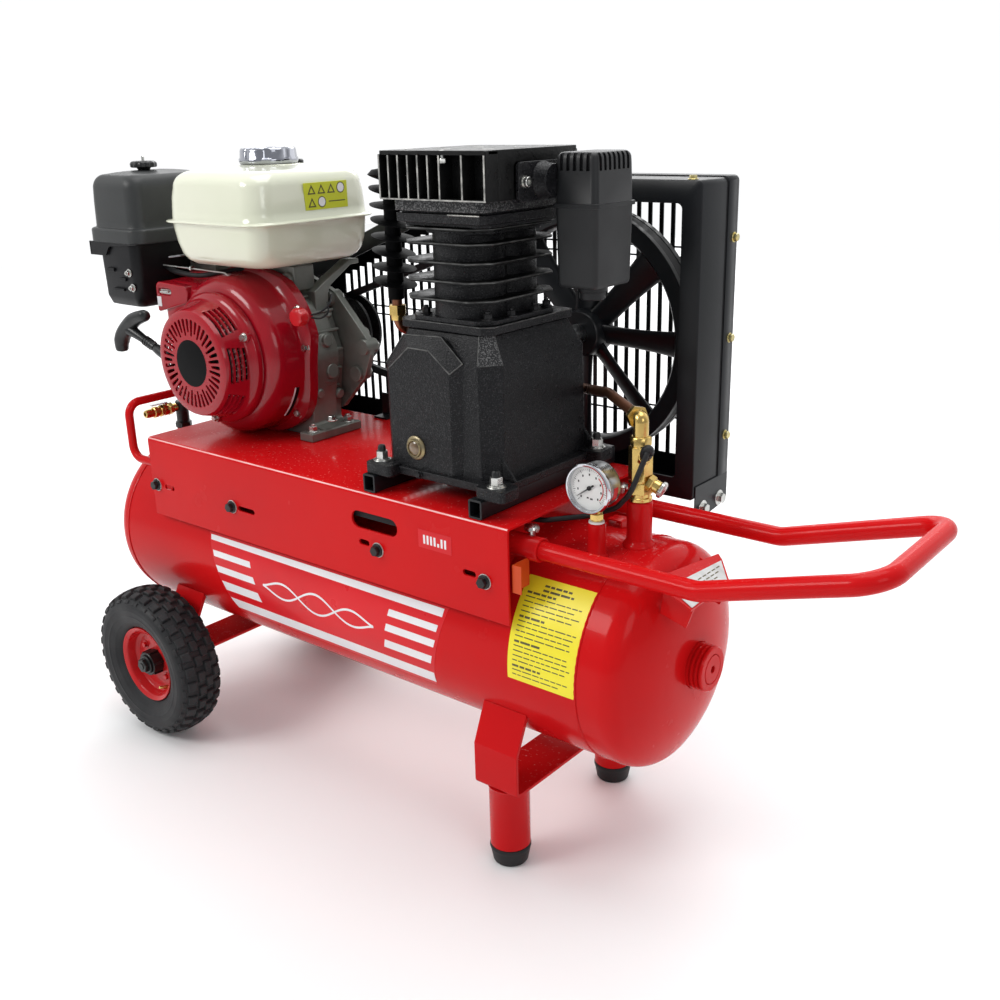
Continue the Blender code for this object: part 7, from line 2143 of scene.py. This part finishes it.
def make_guard():
    """The belt guard: tray, slatted cover, straps, tab, screws and feet."""
    front, split = tray_low.y, tray_high.y
    tray = [guard_ring(front, GUARD_LIP), guard_ring(front, 0.0016), guard_ring(front + 0.0005, 0.0005),
            guard_ring(front + 0.0016, 0.0), guard_ring(split, 0.0), guard_ring(split, GUARD_SHEET),
            guard_ring(front + GUARD_SHEET, GUARD_SHEET), guard_ring(front + GUARD_SHEET, GUARD_LIP)]
    piece("belt_guard_tray", Shape().skin(tray, loop=True), "guard", ROOT, ["guard_tray"],
          bevel=0.0004, angle=50)
    back = cover_high.y
    face = back - 0.0046
    skirt = [guard_ring(cover_low.y, 0.0), guard_ring(back - 0.0012, 0.0), guard_ring(back, 0.0012),
             guard_ring(back, 0.0034), guard_ring(back - 0.0008, 0.0042),
             guard_ring(face - GUARD_SHEET, 0.0042), guard_ring(face - GUARD_SHEET, GUARD_SHEET),
             guard_ring(cover_low.y, GUARD_SHEET)]
    panel = Shape().skin(skirt, loop=True)
    strap = [guard_ring(y, inset) for y,
             inset in ((SEAM_Y, -0.0004), (SEAM_Y, -0.0016), (SEAM_Y + 0.0006, -0.0020),
                       (back - 0.0008, -0.0020), (back - 0.0002, -0.0014), (back - 0.0002, -0.0004))]
    seam = [guard_ring(y, inset) for y, inset in ((SEAM_Y - 0.0022, -0.0001), (SEAM_Y - 0.0022, -0.0003),
                                                  (SEAM_Y - 0.0002, -0.0003), (SEAM_Y - 0.0002, -0.0001))]
    piece("belt_guard_seam", Shape().skin(seam, loop=True), "dark", ROOT, angle=50)
    piece("belt_guard_strap", Shape().skin(strap, loop=True), "guard", ROOT, angle=50)
    outline = [(p[0], p[2]) for p in guard_ring(0, 0.0038)]
    holes = []
    count = 40
    left, right = tray_low.x + 0.042, tray_high.x - 0.030
    pitch = (right - left) / (count - 1)
    half = pitch * 0.33
    bars = (0.5710, 0.6740, 0.8070)
    for k in range(count):
        x = left + pitch * k
        top = min(tray_high.z - 0.030, 0.745 + (x - tray_low.x) * 0.408 - 0.030)
        low = tray_low.z + 0.034
        for bar in bars + (None,):
            if bar is None or bar > top - 0.025:
                holes.append([(x - half, low), (x + half, low), (x + half, top), (x - half, top)])
                break
            holes.append([(x - half, low), (x + half, low), (x + half, bar - 0.0085),
                          (x - half, bar - 0.0085)])
            holes.append([(x - half, bar - 0.0060), (x + half, bar - 0.0060), (x + half, bar + 0.0060),
                          (x - half, bar + 0.0060)])
            low = bar + 0.0085
    panel.pierced([outline] + holes, (face - GUARD_SHEET, face))
    piece("belt_guard_cover", panel, "guard", ROOT, ["guard_cover"], angle=50)
    screws = Shape()
    screws.bolt((tray_high.x - 0.020, front + 0.010, tray_high.z), UP, 0.0090, 0.0045, washer=0.0070)
    for y, z in GUARD_SCREWS:
        spot = Vector((tray_high.x + 0.0019, y, z))
        screws.washer(spot, RIGHT, 0.0070, 0.0012)
        screws.hexagon(spot + Vector((0.0012, 0, 0)), RIGHT, 0.0100, 0.0050, 0.2)
    for x in (-0.20, -0.02, 0.16, 0.34):
        z = min(tray_high.z, 0.745 + (x - tray_low.x) * 0.408) - 0.012
        screws.bolt((x, face, z - 0.0020), BACK, 0.0080, 0.0030, washer=0.0068)
    piece("guard_screws", screws, "gold_zinc", ROOT)
    tab = Shape()
    x = tray_high.x
    tab.slab([(0.1640, tray_low.z - 0.0200), (0.1720, tray_low.z - 0.0340),
              (back - 0.004, tray_low.z - 0.0240), (back, tray_low.z - 0.0180),
              (back, tray_low.z + 0.020), (0.1640, tray_low.z + 0.020)], (x + 0.0002, x + 0.0022), "X")
    piece("guard_tab", tab, "guard", ROOT, bevel=0.0006)
    bolts = Shape()
    for y, z in GUARD_BOLTS:
        bolts.bolt((x + 0.0020, y, z), RIGHT, 0.0130, 0.0070, washer=0.0115, turn=0.5)
    piece("guard_tab_bolts", bolts, "zinc", ROOT)
    legs = Shape()
    for x0 in (-0.150, 0.200):
        legs.box((x0, front + 0.0022, tray_low.z + 0.0022), (x0 + 0.030, front + 0.0052, DECK_TOP + 0.040))
        legs.box((x0, 0.1400, DECK_TOP + 0.0004), (x0 + 0.030, front + 0.0052, DECK_TOP + 0.0034))
    piece("guard_feet", legs, "guard", ROOT, bevel=0.0005)


SEAM_Y = 0.2290
GUARD_SCREWS = ((0.2479, 0.8324), (0.2462, 0.6940), (0.2450, 0.5529))
GUARD_BOLTS = ((0.1860, 0.4575), (0.2340, 0.4600))


make_rails()
make_pump_case()
make_pump_cylinder()
make_pump_head()
make_intake()
make_cooler()
make_pump_rotor()
make_belt()
make_guard()


# ---------------------------------------------------------------- fittings

def make_gauge():
    """The pressure gauge with its dial, stem and needle."""
    stub_x, stub_z = 0.445, 0.555
    at = Vector((stub_x, -0.064, stub_z))
    out = FRONT
    case = Shape().lathe([(0, -0.0200), (0.0245, -0.0200), (0.0270, -0.0188), (0.0290, -0.0165),
                          (0.0297, -0.0140), (0.0300, 0.0060), (0.0300, 0.0090), (0.0285, 0.0098),
                          (0, 0.0098)], at, out, 72)
    piece("gauge_case", case, "steel", ROOT, ["pressure_gauge"])
    bezel = Shape().lathe([(0.0292, 0.0075), (0.0318, 0.0080), (0.0333, 0.0105), (0.0335, 0.0130),
                           (0.0328, 0.0158), (0.0312, 0.0170), (0.0296, 0.0166), (0.0288, 0.0150),
                           (0.0288, 0.0100)], at, out, 96)
    piece("gauge_bezel", bezel, "chrome", ROOT)
    dial = Shape().lathe([(0, 0.0098), (0.0288, 0.0098), (0.0288, 0.0101), (0, 0.0101)], at, out, 64)
    piece("gauge_dial", dial, "dial", ROOT)
    ticks, arc_shape = Shape(), Shape()
    face_y = at.y - 0.0102

    def radial(angle, r0, r1, half):
        """A bar on the dial along a radius."""
        a = math.radians(angle)
        along, across = Vector((math.cos(a), math.sin(a))), Vector((-math.sin(a), math.cos(a)))
        corners = [along * r0 - across * half, along * r1 - across * half, along * r1 + across * half,
                   along * r0 + across * half]
        return [(at.x + c.x, at.z + c.y) for c in corners]

    for k in range(41):
        angle = 225 - 270 * k / 40
        major = k % 5 == 0
        ticks.slab(radial(angle, 0.0215 if major else 0.0232, 0.0252, 0.00032 if major else 0.00016),
                   (face_y, face_y - 0.0001))
    for k in range(9):
        angle = 225 - 270 * k / 8
        a = math.radians(angle)
        cx, cz = at.x + 0.0178 * math.cos(a), at.z + 0.0178 * math.sin(a)
        ticks.slab([(cx - 0.0010, cz - 0.0014), (cx + 0.0010, cz - 0.0014), (cx + 0.0010, cz + 0.0014),
                    (cx - 0.0010, cz + 0.0014)], (face_y, face_y - 0.0001))
    ticks.slab([(at.x - 0.004, at.z - 0.0140), (at.x - 0.001, at.z - 0.0140),
                (at.x - 0.001, at.z - 0.0120), (at.x - 0.004, at.z - 0.0120)], (face_y, face_y - 0.0001))
    ticks.slab([(at.x + 0.001, at.z - 0.0150), (at.x + 0.005, at.z - 0.0150),
                (at.x + 0.005, at.z - 0.0128), (at.x + 0.001, at.z - 0.0128)], (face_y, face_y - 0.0001))
    piece("gauge_ticks", ticks, "dial_print", ROOT, smooth=False)
    band = [(at.x + r * math.cos(math.radians(a)), at.z + r * math.sin(math.radians(a)))
            for r, order in ((0.0212, range(-42, 49, 6)), (0.0198, reversed(range(-42, 49, 6))))
            for a in order]
    arc_shape.slab(band, (face_y, face_y - 0.0001))
    piece("gauge_red_band", arc_shape, "dial_red", ROOT, smooth=False)
    lens = Shape().lathe([(0, 0.0146), (0.0200, 0.0143), (0.0289, 0.0138), (0.0289, 0.0130),
                          (0.0200, 0.0135), (0, 0.0138)], at, out, 64)
    piece("gauge_lens", lens, "glass", ROOT)
    label = Shape()
    for k in range(8):
        a0, a1 = math.radians(-28 + 4 * k), math.radians(-24 + 4 * k)
        label.skin([[(at.x + r * math.cos(a), at.y + y, at.z + r * math.sin(a)) for r, y in
                     ((0.0299, 0.0), (0.0303, 0.0), (0.0303, 0.0090), (0.0299, 0.0090))] for a in (a0, a1)])
    piece("gauge_side_mark", label, "dial_red", ROOT)
    stem = Shape()
    foot = Vector((stub_x, -0.058, 0))
    stem.lathe([(0, 0.5047), (0.0072, 0.5047), (0.0072, 0.5100), (0, 0.5100)], foot, UP, 28)
    stem.hexagon(foot + Vector((0, 0, 0.5095)), UP, 0.0165, 0.0085, 0.1)
    stem.lathe([(0, 0.5175), (0.0066, 0.5175), (0.0066, 0.5290), (0, 0.5290)], foot, UP, 28)
    piece("gauge_stem", stem, "brass", ROOT, bevel=0.0003)
    tape = Shape().lathe([(0.0070, 0.5042), (0.0104, 0.5050), (0.0100, 0.5072), (0.0070, 0.5076)], foot,
                         UP, 28)
    piece("gauge_seal", tape, "dial", ROOT)
    pivot = Vector((at.x, -0.0753, at.z))
    needle = Shape().lathe([(0, -0.0018), (0.0026, -0.0018), (0.0030, -0.0012), (0.0030, 0.0006),
                            (0.0024, 0.0012), (0, 0.0014)], pivot, out, 28)
    tilt = math.radians(-145)
    along, across = Vector((math.cos(tilt), math.sin(tilt))), Vector((-math.sin(tilt), math.cos(tilt)))
    corners = [along * -0.0090 - across * 0.0013, along * 0.0040 - across * 0.0009,
               along * 0.0222 - across * 0.0003, along * 0.0222 + across * 0.0003,
               along * 0.0040 + across * 0.0009, along * -0.0090 + across * 0.0013]
    needle.slab([(pivot.x + c.x, pivot.z + c.y) for c in corners], (pivot.y - 0.0003, pivot.y - 0.0009))
    piece("gauge_pointer", needle, "dial_print", "gauge_pointer", ["gauge_needle"])


STUB = Vector((0.479, -0.010, 0.5283))
HOSE_LEAN = Vector((0.55, -0.45, 0.70)).normalized()
SAFETY_DROP = Vector((0.72, 0.10, -0.35)).normalized()
SAFETY_START = 0.0130


def make_check_valve():
    """The check valve on the tank's top, its elbow, and the safety valve with its cap."""
    shape = Shape()
    shape.lathe([(0, 0.0), (0.0150, 0.0), (0.0158, 0.0008), (0.0158, 0.0050), (0.0142, 0.0062),
                 (0.0142, 0.0110), (0, 0.0120)], STUB, UP, 56)
    shape.hexagon(STUB + Vector((0, 0, 0.0100)), UP, 0.0275, 0.0160, 0.35, dome=0.0012)
    shape.lathe([(0, 0.0255), (0.0132, 0.0255), (0.0132, 0.0290), (0, 0.0290)], STUB, UP, 48)
    shape.hexagon(STUB + Vector((0, 0, 0.0280)), UP, 0.0275, 0.0440, 0.35, dome=0.0014)
    shape.lathe([(0, 0.0710), (0.0118, 0.0710), (0.0118, 0.0750), (0, 0.0750)], STUB, UP, 48)
    port = STUB + Vector((0, 0, 0.046))
    shape.lathe([(0, 0.006), (0.0072, 0.006), (0.0072, 0.0130), (0.0060, 0.0140), (0.0060, 0.0255),
                 (0, 0.0255)], port, HOSE_LEAN, 32)
    shape.hexagon(port + HOSE_LEAN * 0.0140, HOSE_LEAN, 0.0150, 0.0080, 0.3)
    side = STUB + Vector((0, 0, 0.032))
    piece("check_valve_body", shape, "brass", ROOT, ["check_valve"], bevel=0.0004)
    elbow = Shape()
    low = STUB + Vector((0, 0, 0.0740))
    pipe_way = Vector((-0.82, 0.56, -0.10)).normalized()
    bend = STUB + Vector((0, 0, 0.1080))
    elbow.sweep(filleted([low, bend, bend + pipe_way * 0.0110], 0.012, steps=8, closed=False), 0.0098,
                sides=28)
    elbow.hexagon(bend + pipe_way * 0.0090, pipe_way, 0.0255, 0.0100, 0.2, dome=0.0016)
    elbow.lathe([(0.0074, 0.0), (0.0100, 0.0), (0.0096, 0.0030), (0.0074, 0.0040)],
                bend + pipe_way * 0.0190, pipe_way, 32)
    elbow.hexagon(low, UP, 0.0240, 0.0110, 0.4, dome=0.0014)
    piece("brass_elbow", elbow, "brass", ROOT, angle=45)
    start = side + SAFETY_DROP * SAFETY_START
    safety = Shape().hexagon(start, SAFETY_DROP, 0.0180, 0.0075, 0.2, dome=0.0010)
    safety.lathe([(0, 0.0070), (0.0072, 0.0070), (0.0072, 0.0085), (0.0086, 0.0092), (0.0086, 0.0160),
                  (0.0074, 0.0172), (0, 0.0172)],
                 start, SAFETY_DROP, 36)
    piece("relief_valve", safety, "brass", ROOT, ["safety_valve"])
    cap = Shape().lathe([(0, 0.0), (0.0098, 0.0), (0.0109, 0.0008), (0.0110, 0.0042), (0.0100, 0.0052),
                         (0.0030, 0.0056), (0, 0.0056)],
                        start + SAFETY_DROP * 0.0176, SAFETY_DROP, 44)
    for k in range(14):
        a = 2 * math.pi * k / 14
        turn = Matrix.Translation(start + SAFETY_DROP * 0.0176) @ aimed(SAFETY_DROP)
        cap.rod(turn @ Vector((0.0106 * math.cos(a), 0.0106 * math.sin(a), 0.0010)),
                turn @ Vector((0.0106 * math.cos(a), 0.0106 * math.sin(a), 0.0040)), 0.0008, sides=6)
    piece("relief_pull_cap", cap, "zinc", "safety_release", ["safety_valve_cap"])


def make_hose():
    """The thin unloader tube and its boot."""
    port = STUB + Vector((0, 0, 0.046)) + HOSE_LEAN * 0.0263
    route = [port, port + HOSE_LEAN * 0.020, (0.487, -0.046, 0.548), (0.462, -0.038, 0.522),
             (0.420, -0.040, 0.503), (0.372, -0.0700, 0.4960), (0.3355, -0.0795, 0.4945)]
    path = filleted(route, 0.03, steps=10, closed=False)
    piece("unloader_tube", Shape().sweep(path, 0.0035, sides=18), "rubber", ROOT,
          ["unloader_hose"], angle=60)
    boot = Shape()
    inner = path[2:9]
    boot.sweep(inner, [0.0078, 0.0082, 0.0080, 0.0078, 0.0074, 0.0066, 0.0050], sides=28)
    boot.sweep([port + HOSE_LEAN * d for d in (-0.0010, 0.002, 0.012)] + [path[2]],
               [0.0074, 0.0082, 0.0082, 0.0082], sides=28)
    piece("hose_boot", boot, "rubber", ROOT, angle=50)


def make_outlet():
    """The regulator and the outlet valve with its lever."""
    low, high = span("outlet_regulator")
    at = Vector(((low.x + high.x) / 2, (low.y + high.y) / 2, low.z))
    shape = Shape().lathe([(0, 0.0), (0.0130, 0.0), (0.0135, 0.0006), (0.0135, 0.0095), (0.0122, 0.0108),
                           (0.0110, 0.0115), (0.0110, 0.0270), (0.0104, 0.0278), (0.0110, 0.0286),
                           (0.0110, 0.0455), (0.0095, 0.0478), (0, 0.0480)], at, UP, 48)
    shape.hexagon(at + Vector((0, 0, 0.0015)), UP, 0.0255, 0.0080, 0.2)
    piece("regulator", shape, "satin", ROOT, ["outlet_regulator"], bevel=0.0004)
    low, high = span("ball_valve")
    start = Vector((at.x, high.y, (low.z + high.z) / 2))
    out = Vector(FRONT)
    valve = Shape()
    valve.lathe([(0, 0.0), (0.0072, 0.0), (0.0075, 0.0005), (0.0075, 0.0100), (0, 0.0105)], start, out, 36)
    valve.hexagon(start + out * 0.0100, out, 0.0188, 0.0080, 0.52, dome=0.0008)
    valve.lathe([(0, 0.0170), (0.0086, 0.0170), (0.0098, 0.0195), (0.0098, 0.0265), (0.0086, 0.0290),
                 (0, 0.0290)], start, out, 40)
    valve.hexagon(start + out * 0.0285, out, 0.0180, 0.0065, 0.52, dome=0.0008)
    valve.lathe([(0, 0.0345), (0.0074, 0.0345), (0.0074, 0.0390), (0.0094, 0.0402), (0.0094, 0.0470),
                 (0.0078, 0.0482), (0.0074, 0.0500), (0.0074, 0.0590), (0.0058, 0.0636), (0.0034, 0.0640),
                 (0.0034, 0.0560), (0, 0.0560)], start, out, 36)
    valve.rod(start + out * 0.0220 + Vector((0, 0, 0.008)), start + out * 0.0220 + Vector((0, 0, 0.0101)),
              0.0042, sides=20)
    piece("outlet_valve", valve, "brass", ROOT, ["ball_valve"], bevel=0.0003)
    pivot = start + Vector((0, -0.022, 0.0103))
    lever = Shape().rod(pivot, pivot + Vector((0, 0, 0.0035)), 0.0045, sides=28, bevel=0.0004)
    rings = []
    for y, half, z in ((0.0020, 0.0038, 0.0015), (-0.004, 0.0044, 0.0015), (-0.012, 0.0036, 0.0017),
                       (-0.024, 0.0042, 0.0017), (-0.0295, 0.0030, 0.0016)):
        rings.append([pivot + Vector((-half, y, z)), pivot + Vector((half, y, z)),
                      pivot + Vector((half, y, z + 0.0017)), pivot + Vector((-half, y, z + 0.0017))])
    lever.skin(rings)
    piece("outlet_lever_arm", lever, "chrome", "outlet_lever", ["ball_valve_lever"],
          bevel=0.0004)


make_gauge()
make_check_valve()
make_hose()
make_outlet()


# ---------------------------------------------------------------- floor, light and camera

def make_stage():
    """The floor under the compressor."""
    mesh = bpy.data.meshes.new("floor")
    size = 7.0
    mesh.from_pydata([(-size, -size, 0), (size, -size, 0), (size, size, 0), (-size, size, 0)], [],
                     [(0, 1, 2, 3)])
    floor = bpy.data.objects.new("floor", mesh)
    bpy.context.scene.collection.objects.link(floor)
    mesh.materials.append(finish("pale_floor", (0.86, 0.86, 0.86), 0.75, tone=(0.84, 0.84, 0.84),
                                 tone_scale=1.0))


def area_light(name, spot, target, size, power, colour=(1.0, 1.0, 1.0)):
    """A square light at spot, turned to its target."""
    light = bpy.data.lights.new(name, "AREA")
    light.shape = "RECTANGLE"
    light.size, light.size_y = size
    light.energy = power
    light.color = colour
    item = bpy.data.objects.new(name, light)
    item.location = spot
    item.rotation_euler = (Vector(target) - Vector(spot)).to_track_quat("-Z", "Y").to_euler()
    bpy.context.scene.collection.objects.link(item)


BRIGHT_SIDE = (-0.63, 0.77, 0.20)


def make_light():
    """The world's bright side and the lights of the room."""
    world = bpy.data.worlds.new("studio")
    world.use_nodes = True
    background = world.node_tree.nodes["Background"]
    background.inputs["Strength"].default_value = 1.02
    nodes, links = world.node_tree.nodes, world.node_tree.links
    way = nodes.new("ShaderNodeTexCoord")
    side = nodes.new("ShaderNodeVectorMath")
    side.operation = "DOT_PRODUCT"
    side.inputs[1].default_value = BRIGHT_SIDE
    links.new(way.outputs["Generated"], side.inputs[0])
    brightness = ranged(nodes, links, side.outputs["Value"], -0.35, 0.30, 0.0, 1.0)
    shade = mixed(nodes, links, brightness, (0.42, 0.43, 0.45), (0.985, 0.99, 1.0))
    links.new(shade, background.inputs["Color"])
    bpy.context.scene.world = world
    area_light("key", (-1.6, -2.6, 2.6), (0, 0, 0.5), (1.5, 1.1), 52.0, (1.0, 0.99, 0.97))
    area_light("fill", (2.9, -1.2, 1.9), (0, 0, 0.5), (1.2, 1.2), 11.0)
    area_light("top", (0.1, 0.3, 3.2), (0, 0, 0.5), (2.4, 1.8), 42.0)
    area_light("far_floor", (-3.2, 4.2, 3.2), (-3.2, 4.2, 0), (6.0, 4.0), 190.0)
    area_light("back", (0.4, 3.0, 2.0), (0, 0, 0.6), (2.6, 1.4), 6.0)


CAMERA_SPOT = Vector((1.20476, -1.18017, 1.00243))
CAMERA_YAW = math.radians(-39.278)
CAMERA_PITCH = math.radians(-18.980)
CAMERA_ROLL = math.radians(-1.465)


def make_camera():
    """The camera, placed to match the photo's view."""
    camera = bpy.data.cameras.new("camera")
    camera.lens = 40.64
    camera.sensor_width = 36.0
    item = bpy.data.objects.new("camera", camera)
    bpy.context.scene.collection.objects.link(item)
    ahead = Vector((math.sin(CAMERA_YAW) * math.cos(CAMERA_PITCH),
                    math.cos(CAMERA_YAW) * math.cos(CAMERA_PITCH), math.sin(CAMERA_PITCH)))
    right = ahead.cross(Vector(UP)).normalized()
    up = right.cross(ahead)
    level_right = right * math.cos(CAMERA_ROLL) + up * math.sin(CAMERA_ROLL)
    level_up = up * math.cos(CAMERA_ROLL) - right * math.sin(CAMERA_ROLL)
    turn = Matrix((level_right, level_up, -ahead)).transposed()
    item.matrix_world = Matrix.Translation(CAMERA_SPOT + ORIGIN) @ turn.to_4x4()
    bpy.context.scene.camera = item


make_stage()
make_light()
make_camera()
bpy.context.scene.view_settings.view_transform = "Standard"
